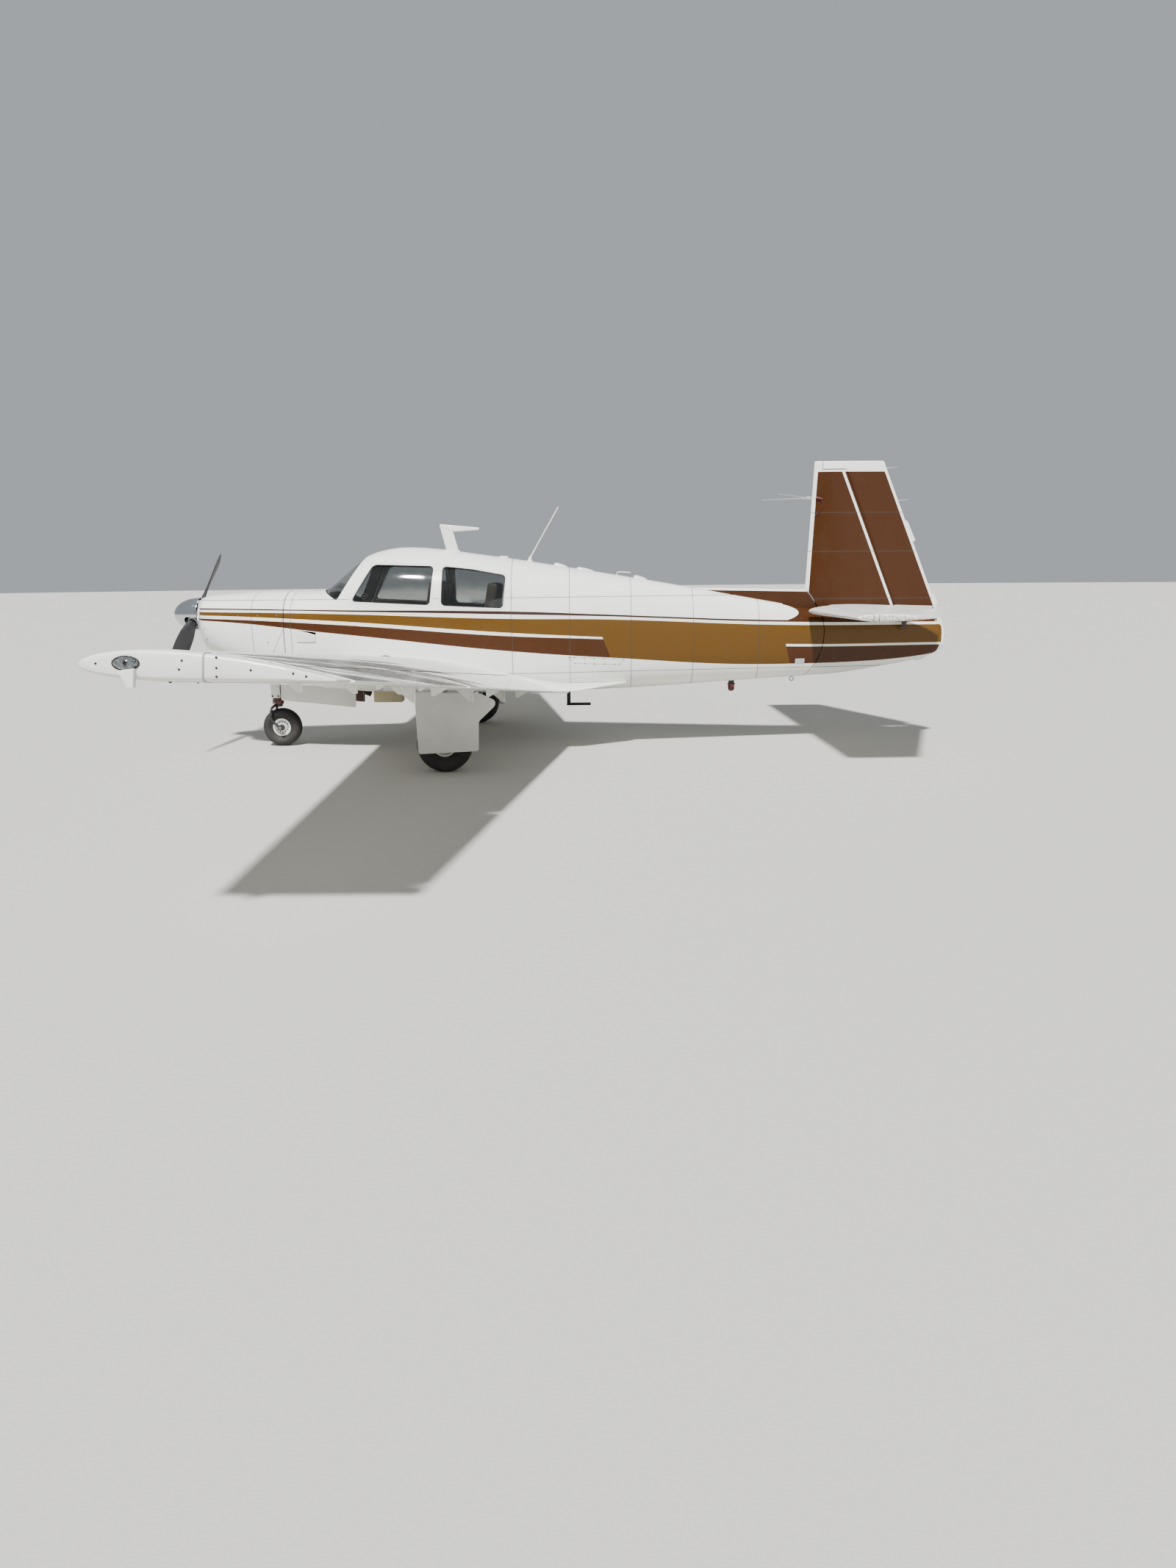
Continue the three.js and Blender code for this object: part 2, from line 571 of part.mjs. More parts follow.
const addTailplane = ({ hull, clear }) => {
  const rounded = tailRing(tailHalfSpan).map(([x, y, z]) => [
    blend(x, 6060, 0.03), y, blend(z, tailHeight, 0.45)]);
  const panel = loft([tailRing(58), tailRing(tailHalfSpan - 16), rounded]);
  const rootClear = box(5600, 5960, -10, 168, 900, 1400);
  const whole = panel.subtract(hull).subtract(rootClear).subtract(clear.intersect(box(5000, 5960, -10, 168, 900, 1400)));
  const hingeAt = (span) => [blend(elevatorRootHinge, elevatorTipHinge, span / tailHalfSpan), span, tailHeight];
  const start = hingeAt(elevatorInner);
  const end = hingeAt(tailHalfSpan - 10);
  const noseAt = ([x, span]) => {
    const chord = blend(tailRootEdge, tailTipEdge, span / tailHalfSpan) - tailLeading;
    return sectionHalf((x - tailLeading) / chord, chord, tailThickness) - 2;
  };
  const { fixed, moving } = splitAtHinge(whole, start, end, noseAt(start), noseAt(end), { openEnd: 90 });
  const hornSpan = tailHalfSpan - hornWidth;
  const slope = (elevatorRootHinge - elevatorTipHinge) / tailHalfSpan;
  const hornEdge = (x, offset) => hornSpan + offset + (elevatorTipHinge - x) * -slope;
  const tipBlock = (offset, front) => {
    const corners = [[front, hornEdge(front, offset)], [6500, hornEdge(6500, offset)], [6500, 1900], [front, 1900]];
    const shape = new THREE.Shape(corners.map(([x, y]) => new THREE.Vector2(x, y)));
    const geometry = new THREE.ExtrudeGeometry(shape, { depth: 400, bevelEnabled: false });
    geometry.translate(0, 0, 1000);
    return toSolid(geometry);
  };
  const cellRing = (span) => {
    const chord = blend(tailRootEdge, tailTipEdge, span / tailHalfSpan) - tailLeading;
    return cellOutline(tailLeading + cellMargin, hingeAt(span)[0] - cellMargin, chord, tailThickness)
      .map(([x, half]) => [x, span, tailHeight + half]);
  };
  const cell = loft([cellRing(40), cellRing(hornSpan - cellMargin)]);
  const horn = panel.intersect(tipBlock(0, 5872));
  const stabilizer = largest(fixed.subtract(tipBlock(-8, 5864)).subtract(cell));
  const swing = new THREE.Shape([[6560, -60], [7200, -60], [7200, 250], [6640, 62]]
    .map(([x, y]) => new THREE.Vector2(x, y)));
  const swingSpace = new THREE.ExtrudeGeometry(swing, { depth: 500, bevelEnabled: false });
  swingSpace.translate(0, 0, 1000);
  const sideClear = box(6400, 7200, -10, elevatorInner, 900, 1500);
  const elevator = largest(moving.add(horn).subtract(toSolid(swingSpace)).subtract(sideClear));
  add('right_tailplane', stabilizer, white);
  add('left_tailplane', mirrored(stabilizer), white);
  add('right_elevator', elevator, white);
  add('left_elevator', mirrored(elevator), white);
};

// Wings, with their caps, flaps, ailerons and wheel wells
const addWings = () => {
  const capStart = wingHalfSpan - wingCapWidth;
  const hull = mainHull(2);
  const panel = loft([wingRing(300), wingRing(capStart - seamGap)]).subtract(hull);
  const hinge = (span) => wingPoint(span, wingHingeShare);
  const splitFlap = splitAtHinge(panel, hinge(flapInner).point, hinge(flapOuter).point,
    hinge(flapInner).half - 2, hinge(flapOuter).half - 2, { gap: 11 });
  const splitAileron = splitAtHinge(splitFlap.fixed, hinge(aileronInner).point, hinge(aileronOuter).point,
    hinge(aileronInner).half - 2, hinge(aileronOuter).half - 1);
  const wellHeight = 755;
  const wheelWell = bar([mainStation, 840, 300], [mainStation, 840, wellHeight - 20], 262, 262, 28);
  const legWell = box(mainStation - 90, mainStation + 90, 840, 1345, 300, wellHeight);
  const padPlace = wingPoint(jackPadSpan, 0.42);
  const [padX, padY] = padPlace.point;
  const jackPad = bar([padX, padY, padPlace.low - 16], [padX, padY, padPlace.point[2]], 24);
  const wing = splitAileron.fixed.subtract(wheelWell).subtract(legWell).add(jackPad);
  const capRing = (span, shrink) => wingRing(span).map(([x, y, z], i, ring) => {
    const flat = wingPoint(span, Math.min(Math.max((x - wingLeading) / wingTipChord, 0.01), 0.99)).point[2];
    return [blend(x, 2150, shrink * 0.04), y, blend(z, flat, shrink)];
  });
  const cap = loft([capRing(capStart, 0), capRing(wingHalfSpan - capRound, 0),
    capRing(wingHalfSpan - 6, 0.12), capRing(wingHalfSpan, 0.3)]);
  const fairingRings = fairingTable.map((values) => {
    const row = Object.fromEntries(fairingColumns.map((name, column) => [name, values[column]]));
    return [[fairingInner, row.low], [row.reach, row.low], [row.reach, row.edge],
      [row.reach - fairingKneeIn, row.knee], [fairingInner, row.high]].map(([y, z]) => [row.station, y, z]);
  });
  const wingGrown = join(panel, panel.translate([0, 0, seamGap]), panel.translate([seamGap, 0, 0]));
  const fairing = loft(fairingRings).subtract(mainHull(2)).subtract(wingGrown);
  for (const [side, turn] of [['right', (body) => body], ['left', mirrored]]) {
    add(`${side}_root_fairing`, turn(largest(fairing)), white);
    add(`${side}_wing`, turn(largest(wing)), white);
    add(`${side}_wing_tip`, turn(cap), white);
    add(`${side}_flap`, turn(largest(splitFlap.moving)), white);
    add(`${side}_aileron`, turn(largest(splitAileron.moving)), white);
  }
};

// Main gear: a leg inboard of the wheel, its axle, and the plate that covers the wheel
const addMainGear = () => {
  const wheelSide = mainTrack / 2;
  const legSide = wheelSide - 122;
  const leg = join(
    bar([mainStation, legSide, mainTyreRadius - 40], [mainStation, legSide, 735], 32),
    bar([mainStation, legSide - 20, mainTyreRadius], [mainStation, wheelSide + 86, mainTyreRadius], axleRadius),
    bar([mainStation - 70, legSide, 700], [mainStation + 70, legSide, 700], 24),
    bar([mainStation - 60, legSide, 480], [mainStation - 60, wheelSide + 119, 480], 10),
    bar([mainStation + 60, legSide, 480], [mainStation + 60, wheelSide + 119, 480], 10),
    box(mainStation - 66, mainStation + 66, legSide - 12, legSide + 12, 466, 494),
    bar([mainStation, legSide, 560], [mainStation, legSide - 330, 690], 14));
  const tyreShape = tyreProfile(mainRimRadius, mainTyreRadius, mainTyreWidth);
  const rimShape = rimProfile(axleRadius + axleClearance, mainRimRadius - seamGap, 48);
  const door = sidePlate([[2392, 650], [2405, 162], [2878, 182], [2885, 415],
    [3018, 540], [3019, 580], [2900, 638]],
    wheelSide + 119.5, wheelSide + 128);
  const tyre = turned(tyreShape, mainStation, wheelSide, mainTyreRadius, wheelSides);
  const rim = turned(rimShape, mainStation, wheelSide, mainTyreRadius, wheelSides);
  for (const [side, turn] of [['right', (body) => body], ['left', mirrored]]) {
    add(`${side}_main_leg`, turn(leg), white);
    add(`${side}_gear_door`, turn(door), white);
    add(`${side}_main_tyre`, turn(tyre), rubber);
    add(`${side}_main_rim`, turn(rim), grey);
  }
};

const addNoseGear = () => {
  const pivot = noseStation - noseTrail;
  const housing = join(
    bar([pivot, 0, 446], [pivot, 0, 900], 42),
    bar([pivot, -110, 820], [pivot, 110, 820], 22),
    bar([pivot, 0, 560], [pivot + 260, 0, 760], 18));
  add('nose_leg', housing.subtract(box(firewall - 5, 1700, -300, 300, 400, 1000)), white);
  const armSide = noseTyreWidth / 2 + 21;
  const arm = (side) => join(
    bar([pivot - 6, side * 30, 388], [pivot - 40, side * armSide, 360], 17),
    bar([pivot - 40, side * armSide, 362], [pivot - 46, side * armSide, 270], 15),
    bar([pivot - 46, side * armSide, 272], [noseStation, side * armSide, noseTyreRadius], 15, 17));
  const fork = join(
    bar([pivot, 0, 392], [pivot, 0, 444], 50),
    bar([pivot, 0, 366], [pivot, 0, 396], 40),
    arm(1), arm(-1),
    bar([noseStation, -104, noseTyreRadius], [noseStation, 104, noseTyreRadius], noseAxleRadius));
  add('nose_fork', fork, white);
  const tyreShape = tyreProfile(noseRimRadius, noseTyreRadius, noseTyreWidth);
  const rimShape = rimProfile(noseAxleRadius + axleClearance, noseRimRadius - seamGap, 40);
  add('nose_tyre', turned(tyreShape, noseStation, 0, noseTyreRadius, wheelSides), rubber);
  add('nose_rim', turned(rimShape, noseStation, 0, noseTyreRadius, wheelSides), grey);
  const flap = [[982, 618], [974, 446], [1646, 374], [1653, 538]];
  const hull = fuselageBody(cowlFront, cabinBack, -seamGap);
  add('left_nose_door', sidePlate(flap, -204, -196).subtract(hull), white);
  add('right_nose_door', sidePlate(flap, 196, 204).subtract(hull), white);
};

const addPropeller = () => {
  const profile = [[0, 0], [42, 14], [84, 46], [118, 96], [140, 160], [spinnerRadius, spinnerBase],
    [spinnerRadius - 5, spinnerBase], [135, 161], [113, 100], [79, 51], [38, 20], [0, 7]];
  const shell = new THREE.LatheGeometry(profile.map(([r, x]) => new THREE.Vector2(r, x)), 22);
  shell.rotateZ(-Math.PI / 2);
  shell.translate(0, 0, hubHeight);
  let spinner = toSolid(shell);
  if (spinner.volume() < 0) {
    const turnedOver = mergeVertices(shell, 1e-3);
    turnedOver.index.array.reverse();
    spinner = toSolid(turnedOver);
  }
  const slot = box(propellerStation - 62, propellerStation + 62, -300, 300, -62, 62)
    .rotate([bladeTilt, 0, 0]).translate([0, 0, hubHeight]);
  add('spinner', spinner.subtract(slot), polished);

  const bladeColumns = ['radius', 'chord', 'thickness', 'pitch'];
  const bladeTable = [
    [30, 76, 60, 38],
    [170, 92, 44, 40],
    [300, 138, 27, 35],
    [480, 160, 18, 28],
    [680, 150, 13, 22],
    [860, 120, 9, 18],
    [920, 92, 7, 17],
    [propellerRadius, 50, 5, 17],
  ];
  const rings = bladeTable.map((row) => {
    const at = Object.fromEntries(bladeColumns.map((name, k) => [name, row[k]]));
    const pitch = (at.pitch * Math.PI) / 180;
    return Array.from({ length: 14 }, (_, i) => {
      const angle = (2 * Math.PI * i) / 14;
      const along = (Math.cos(angle) * at.chord) / 2;
      const across = (Math.sin(angle) * at.thickness) / 2;
      return [propellerStation + along * Math.sin(pitch) + across * Math.cos(pitch), at.radius,
        along * Math.cos(pitch) - across * Math.sin(pitch)];
    });
  });
  const blade = loft(rings);
  const hub = bar([90, 0, 0], [236, 0, 0], 62);
  const two = join(hub, blade, blade.rotate([180, 0, 0]));
  add('propeller', two.rotate([bladeTilt, 0, 0]).translate([0, 0, hubHeight]), black);
};

// Smaller fixed pieces
const addFittings = () => {
  const hull = fuselageBody(cowlFront, 5700, -seamGap);
  const mast = sidePlate([[2500, 1740], [2612, 1735], [2560, 1925], [2790, 1938], [2797, 1958], [2438, 1992],
    [2446, 1960]], -13, 13);
  add('roof_antenna', mast.subtract(hull), white);
  add('whip_antenna', join(bar([3255, 0, 1640], [3255, 0, 1690], 22, 12),
    bar([3255, 0, 1680], [3508, 0, 2132], 6, 3)).subtract(hull), grey);
  const pipe = bar([1330, 250, 590], [1700, 250, 448], 30);
  const bore = bar([1600, 250, 486.4], [1710, 250, 444.2], 26);
  add('exhaust_pipe', pipe.subtract(bore).subtract(hull), rusty);
  const step = join(box(3556, 3596, 380, 400, 312, 540), box(3556, 3790, 340, 440, 300, 318));
  add('boarding_step', step.subtract(hull), black);
  add('belly_beacon', bar([5090, 0, 470], [5090, 0, 620], 24, 30).subtract(hull), red);
};

const addTipLights = () => {
  for (const [side, y, material] of [['right', 1, green], ['left', -1, red]]) {
    const lens = new THREE.SphereGeometry(1, 14, 8);
    lens.scale(60, 26, 26);
    lens.translate(1890, y * (wingHalfSpan + 2), 1205);
    const keep = y > 0 ? box(1700, 2100, wingHalfSpan + 0.6, 5500, 1100, 1300)
      : box(1700, 2100, -5500, -wingHalfSpan - 0.6, 1100, 1300);
    add(`${side}_tip_light`, toSolid(lens).intersect(keep), material);
  }
};

const outlet = addCowling();
addCabin(outlet);
addInterior();
addTailCone();
addTailplane(addTailGroup());
addWings();
addMainGear();
addNoseGear();
addPropeller();
addFittings();
addTipLights();

export default group;
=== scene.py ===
# Looks of a low-wing light aircraft, standing on its three wheels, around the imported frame.
# Metres. X runs aft, Y to the aircraft's right, Z up. Stations count aft from the spinner's tip.
import functools
import math

import bmesh
import bpy
from mathutils import Matrix, Vector


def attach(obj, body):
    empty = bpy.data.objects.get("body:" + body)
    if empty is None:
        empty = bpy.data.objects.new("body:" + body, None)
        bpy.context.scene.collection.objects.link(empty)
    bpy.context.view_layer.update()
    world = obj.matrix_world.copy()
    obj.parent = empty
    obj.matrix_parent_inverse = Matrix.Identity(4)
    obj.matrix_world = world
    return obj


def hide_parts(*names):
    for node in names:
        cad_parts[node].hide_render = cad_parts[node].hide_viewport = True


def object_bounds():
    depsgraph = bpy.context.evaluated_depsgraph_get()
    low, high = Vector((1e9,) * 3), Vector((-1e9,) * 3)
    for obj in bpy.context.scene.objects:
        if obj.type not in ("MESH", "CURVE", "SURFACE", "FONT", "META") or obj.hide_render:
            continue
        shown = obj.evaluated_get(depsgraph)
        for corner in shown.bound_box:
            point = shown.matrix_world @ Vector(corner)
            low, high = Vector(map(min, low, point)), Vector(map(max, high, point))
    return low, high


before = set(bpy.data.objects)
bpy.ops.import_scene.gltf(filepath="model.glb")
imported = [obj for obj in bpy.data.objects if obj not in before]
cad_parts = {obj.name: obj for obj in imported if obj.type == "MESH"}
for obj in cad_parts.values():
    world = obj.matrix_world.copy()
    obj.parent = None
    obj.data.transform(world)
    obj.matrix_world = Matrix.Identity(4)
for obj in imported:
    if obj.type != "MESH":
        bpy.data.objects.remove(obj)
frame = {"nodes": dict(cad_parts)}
cadLow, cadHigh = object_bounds()
noseX = cadLow.x
print("frame loaded", len(frame["nodes"]), "nodes")


# camera and studio
camera = {
    "place": (0.1332, -9.3123, 1.5225), "yaw": -0.0094, "pitch": 0.2041, "roll": -0.0097,
    "focalPixels": 1366.394, "imageHeight": 2133, "sensor": 36.0,
}


def makeCamera(view):
    data = bpy.data.cameras.new("camera")
    data.sensor_width = view["sensor"]
    # the picture's long side carries the sensor
    data.lens = view["focalPixels"] * view["sensor"] / view["imageHeight"]
    data.clip_end = 400
    cosine, sine = math.cos(view["yaw"]), math.sin(view["yaw"])
    flatRight, flatAhead = Vector((cosine, sine, 0)), Vector((-sine, cosine, 0))
    up = Vector((0, 0, 1))
    cosine, sine = math.cos(view["pitch"]), math.sin(view["pitch"])
    ahead, lifted = cosine * flatAhead - sine * up, sine * flatAhead + cosine * up
    cosine, sine = math.cos(view["roll"]), math.sin(view["roll"])
    right, top = cosine * flatRight + sine * lifted, cosine * lifted - sine * flatRight
    shot = bpy.data.objects.new("camera", data)
    turn = Matrix((right, top, -ahead)).transposed().to_4x4()
    shot.matrix_world = Matrix.Translation(view["place"]) @ turn
    bpy.context.scene.collection.objects.link(shot)
    bpy.context.scene.camera = shot


makeCamera(camera)


def linear(hexColour):
    # sRGB hex to Blender's linear colour
    values = [int(hexColour[i:i + 2], 16) / 255 for i in (1, 3, 5)]
    return [v / 12.92 if v <= 0.04045 else ((v + 0.055) / 1.055) ** 2.4 for v in values] + [1]


def setInputs(node, inputs):
    # an input may be a value, a socket or another node, whose first live output is taken
    for key, value in inputs.items():
        if isinstance(value, bpy.types.Node):
            value = next(socket for socket in value.outputs if socket.enabled)
        if isinstance(value, bpy.types.NodeSocket):
            node.id_data.links.new(value, node.inputs[key])
        else:
            node.inputs[key].default_value = value


def addNode(tree, kind, inputs=None, **settings):
    node = tree.nodes.new("ShaderNode" + kind)
    for key, value in settings.items():
        setattr(node, key, value)
    setInputs(node, inputs or {})
    return node


finishes = {}


def newMaterial(name):
    # a new entry in the finishes: how to add its nodes, its shader and the object's own coordinates
    material = finishes[name] = bpy.data.materials.new(name)
    material.use_nodes = True
    add = functools.partial(addNode, material.node_tree)
    return add, material.node_tree.nodes["Principled BSDF"], add("TexCoord").outputs["Object"]


studio = {"floor": "#b7b5af", "floorRadius": 150, "world": "#e6ecf2", "worldStrength": 0.52,
          "key": 8.6, "keySoftness": 4, "keyFrom": (-0.145, -0.66, 1.0), "fill": 0.35,
          "fillFrom": (0.5, -1.0, 0.35)}


def makeStudio(look):
    bm = bmesh.new()
    bmesh.ops.create_circle(bm, cap_ends=True, segments=96, radius=look["floorRadius"])
    mesh = bpy.data.meshes.new("floor")
    bm.to_mesh(mesh)
    bm.free()
    floor = bpy.data.objects.new("floor", mesh)
    bpy.context.scene.collection.objects.link(floor)
    shader = newMaterial("floor")[1]
    setInputs(shader, {"Base Color": linear(look["floor"]), "Roughness": 0.9})
    mesh.materials.append(finishes["floor"])
    world = bpy.data.worlds.new("studio")
    world.use_nodes = True
    setInputs(world.node_tree.nodes["Background"],
              {"Color": linear(look["world"]), "Strength": look["worldStrength"]})
    bpy.context.scene.world = world
    for name, strength, softness, source in (("key", look["key"], look["keySoftness"], look["keyFrom"]),
                                             ("fill", look["fill"], 40, look["fillFrom"])):
        light = bpy.data.lights.new(name, "SUN")
        light.energy = strength
        light.angle = math.radians(softness)
        lamp = bpy.data.objects.new(name, light)
        lamp.rotation_euler = Vector(source).to_track_quat("Z", "Y").to_euler()
        bpy.context.scene.collection.objects.link(lamp)


makeStudio(studio)
print("camera and studio")


# plain finishes: two tones in patches, fine bump and uneven gloss.
# The columns: tone, shade, roughness, metal, patch and grain in millimetres, bump strength, clear coat
finishTable = {
    # enamel sprayed on sheet metal, chalked outdoors: soft highlights, faint warm patches
    "whiteEnamel": ("#e7e7e2", "#d3d2ca", 0.33, 0.0, 240, 9, 0.04, 0.35),
    # polished aluminium spinner: mirror with fine swirl
    "polishedAluminium": ("#d4d6d8", "#bfc2c5", 0.13, 1.0, 60, 2, 0.02, 0.0),
    # machined steel, oily: greyer and duller
    "machinedSteel": ("#a9acb0", "#7f8286", 0.32, 1.0, 40, 3, 0.03, 0.0),
    # hard chrome on the oleo piston: very smooth
    "hardChrome": ("#e2e4e6", "#d0d3d6", 0.06, 1.0, 90, 4, 0.01, 0.0),
    # matt black blade backs and erosion boots
    "matteBlack": ("#1a1a1c", "#2a2a2c", 0.52, 0.0, 70, 4, 0.06, 0.0),
    # grey strut paint with grime
    "strutGrey": ("#b6b8b8", "#8a8a86", 0.42, 0.0, 50, 5, 0.06, 0.1),
    # grey engine castings
    "castGrey": ("#77797b", "#55575a", 0.6, 0.6, 40, 4, 0.2, 0.0),
    # dark red collar paint
    "collarRed": ("#5c1d16", "#43130e", 0.4, 0.0, 30, 4, 0.06, 0.2),
    # heat-browned exhaust steel
    "exhaustSteel": ("#3f2a1e", "#24170f", 0.66, 0.3, 25, 3, 0.25, 0.0),
    # zinc primer in the bays
    "bayPrimer": ("#8f9577", "#777c62", 0.7, 0.0, 80, 6, 0.1, 0.0),
    # black wrinkle paint on the instrument panel
    "wrinkleBlack": ("#1b1c1e", "#101113", 0.7, 0.0, 30, 1.6, 0.5, 0.0),
    # non-slip black on the boarding step
    "gritBlack": ("#202021", "#2f2f30", 0.85, 0.0, 20, 1.2, 0.8, 0.0),
    # moulded black rubber seals
    "sealRubber": ("#18191a", "#232425", 0.72, 0.0, 60, 3, 0.08, 0.0),
    # lamp pocket behind the lens: near black as painted shade, with pale patches as painted glints
    "pocketShadeAndGlints": ("#202124", "#a4a7aa", 0.30, 0.2, 9, 3, 0.3, 0.0),
    # the old brown enamel of the low ridge ahead of the fin
    "tailBrown": ("#3c1f07", "#371c06", 0.42, 0.0, 200, 8, 0.04, 0.06),
    # brown primer inside the nose doors, darkened by soot and oil, and darker still as painted shade for
    # the inner face
    "doorPrimerAndShade": ("#4b2f24", "#38231a", 0.62, 0.0, 60, 5, 0.08, 0.0),
    # tan moulding of the box under the belly, faded
    "fadedTan": ("#b3a685", "#a09373", 0.55, 0.0, 80, 5, 0.05, 0.0),
    # headliner and cabin trim, off-white vinyl
    "cabinVinyl": ("#8d8779", "#7b7567", 0.6, 0.0, 90, 1.4, 0.25, 0.0),
    # instrument faces and their paint
    "dialBlack": ("#0d0d0e", "#161617", 0.35, 0.0, 30, 2, 0.02, 0.3),
    "dialWhite": ("#e8e6df", "#dcdad2", 0.5, 0.0, 30, 2, 0.02, 0.0),
    # silver grey lacquer for rods and aerials
    "aerialGrey": ("#c4c6c8", "#a9abad", 0.35, 0.3, 50, 4, 0.03, 0.1),
    # enamel of the gear doors, scuffed and grimy near the wheels
    "doorEnamel": ("#e0dfd9", "#c9c7bf", 0.40, 0.0, 220, 10, 0.04, 0.1),
    # dark forged fork, paint worn thin
    "forkGrey": ("#3a3a3b", "#2a2928", 0.45, 0.4, 30, 4, 0.1, 0.0),
    # brake disc: turned cast iron with a rust bloom
    "discIron": ("#8b8681", "#6b5547", 0.38, 0.9, 22, 2, 0.08, 0.0),
}


def makeFinish(name, tone, shade, rough, metal, patch, grain, bump, coat):
    add, shader, place = newMaterial(name)
    patches = add("TexNoise", {"Vector": place, "Scale": 1000 / patch, "Detail": 4})
    fine = add("TexNoise", {"Vector": place, "Scale": 1000 / grain, "Detail": 2})
    setInputs(shader, {
        "Base Color": add("Mix", {0: patches, 6: linear(tone), 7: linear(shade)}, data_type="RGBA"),
        "Roughness": add("MapRange", {"Value": patches, 3: rough * 0.8, 4: min(rough * 1.25, 1)}),
        "Normal": add("Bump", {"Height": fine, "Strength": bump, "Distance": grain / 4000}),
        "Metallic": metal, "Coat Weight": coat, "Coat Roughness": 0.12})


for finishName, finishValues in finishTable.items():
    makeFinish(finishName, *finishValues)

# clear and tinted acrylic: panes and lenses, smooth and a little dark. Columns: tint, roughness, IOR
acrylicTable = {"windowAcrylic": ("#c2c5c4", 0.03, 1.49), "clearLens": ("#eceff0", 0.05, 1.49),
                "redLens": ("#6a0b0a", 0.08, 1.5), "greenLens": ("#107a46", 0.08, 1.5)}


def makeAcrylic(name, tint, rough, bending):
    add, shader, place = newMaterial(name)
    haze = add("TexNoise", {"Vector": place, "Scale": 9, "Detail": 5})
    gloss = add("MapRange", {"Value": haze, 1: 0.35, 2: 0.8, 3: rough, 4: rough * 3})
    setInputs(shader,
              {"Base Color": linear(tint), "Roughness": gloss, "Transmission Weight": 1, "IOR": bending})


for lensName, lensValues in acrylicTable.items():
    makeAcrylic(lensName, *lensValues)
print("plain finishes", len(finishes))


# building helpers
def gridSheet(columns, rows, rule):
    # a grid whose points are placed one by one by a rule of column and row
    bm = bmesh.new()
    bmesh.ops.create_grid(bm, x_segments=columns, y_segments=rows, size=0.5)
    for vertex in bm.verts:
        vertex.co = rule(round((vertex.co.x + 0.5) * columns), round((vertex.co.y + 0.5) * rows))
    bmesh.ops.remove_doubles(bm, verts=bm.verts, dist=0.00003)
    return bm


def closeUp(bm):
    bmesh.ops.holes_fill(bm, edges=[edge for edge in bm.edges if edge.is_boundary], sides=0)
    bmesh.ops.recalc_face_normals(bm, faces=bm.faces)
    return bm


def faceOut(bm, centre):
    # an open sheet whose faces should look away from a point
    bmesh.ops.recalc_face_normals(bm, faces=bm.faces)
    centre = Vector(centre)
    outward = sum((face.calc_center_median() - centre).dot(face.normal) * face.calc_area()
                  for face in bm.faces)
    if outward < 0:
        bmesh.ops.reverse_faces(bm, faces=bm.faces)
    return bm


def loose(piece):
    # a bmesh becomes an object; an object is left as it is, so the helpers below take either
    if not isinstance(piece, bmesh.types.BMesh):
        return piece
    mesh = bpy.data.meshes.new("tool")
    piece.to_mesh(mesh)
    piece.free()
    obj = bpy.data.objects.new("tool", mesh)
    bpy.context.scene.collection.objects.link(obj)
    return obj


def applied(obj):
    # the modifiers' result becomes the mesh
    bpy.context.view_layer.update()
    ready = obj.evaluated_get(bpy.context.evaluated_depsgraph_get())
    mesh = bpy.data.meshes.new_from_object(ready)
    obj.modifiers.clear()
    old = obj.data
    obj.data = mesh
    bpy.data.meshes.remove(old)
    return obj


def discard(objects):
    for obj in objects:
        mesh = obj.data
        bpy.data.objects.remove(obj)
        bpy.data.meshes.remove(mesh)


def carve(piece, cutters, how="DIFFERENCE", keep=False):
    obj, cutters = loose(piece), [loose(cutter) for cutter in cutters]
    for cutter in cutters:
        step = obj.modifiers.new("cut", "BOOLEAN")
        step.object = cutter
        step.operation = how
        step.solver = "EXACT"
    applied(obj)
    if not keep:
        discard(cutters)
    return obj


def twin(obj):
    copy = bpy.data.objects.new(obj.name, obj.data.copy())
    bpy.context.scene.collection.objects.link(copy)
    return copy


def thicken(piece, thickness, innerFinish=0):
    # a wall that grows inwards from the sheet; its inner faces may take the second finish
    obj = loose(piece)
    for _ in range(innerFinish * 2):
        obj.data.materials.append(None)
    step = obj.modifiers.new("wall", "SOLIDIFY")
    step.thickness = thickness
    step.offset = -1
    step.use_even_offset = True
    step.material_offset = innerFinish
    return applied(obj)


def rimmed(piece, width, segments=2, angle=35):
    # small rounding along the hard edges
    obj = loose(piece)
    step = obj.modifiers.new("rounding", "BEVEL")
    step.width = width
    step.segments = segments
    step.limit_method = "ANGLE"
    step.angle_limit = math.radians(angle)
    return applied(obj)


def dress(piece, name, body, looks, replaces=(), crease=32):
    # final name, finish, body and record slot of a piece
    obj = loose(piece)
    obj.name = obj.data.name = name
    while len(obj.data.materials) < len(looks):
        obj.data.materials.append(None)
    for number, look in enumerate(looks):
        obj.data.materials[number] = finishes[look]
    obj.data.shade_smooth()
    obj.data.set_sharp_from_angle(angle=math.radians(crease))
    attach(obj, body)
    if replaces:
        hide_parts(*replaces)
    return obj


sides = ((1, "right"), (-1, "left"))


def otherSide(obj, name, body, replaces=()):
    # the same piece on the left
    copy = twin(obj)
    copy.data.transform(Matrix.Diagonal((1, -1, 1, 1)))
    copy.data.flip_normals()
    looks = [material.name for material in obj.data.materials]
    return dress(copy, name, body, looks, replaces)


def joined(parts):
    # several pieces become the first one
    parts = [loose(part) for part in parts]
    bm = bmesh.new()
    for part in parts:
        bm.from_mesh(part.data)
    first = parts[0]
    bm.to_mesh(first.data)
    bm.free()
    discard(parts[1:])
    return first


def at(station, y, z):
    return Vector((noseX + station, y, z))


fromNose = Matrix.Translation((-noseX, 0, 0))  # puts a block made about station 0 back at the origin


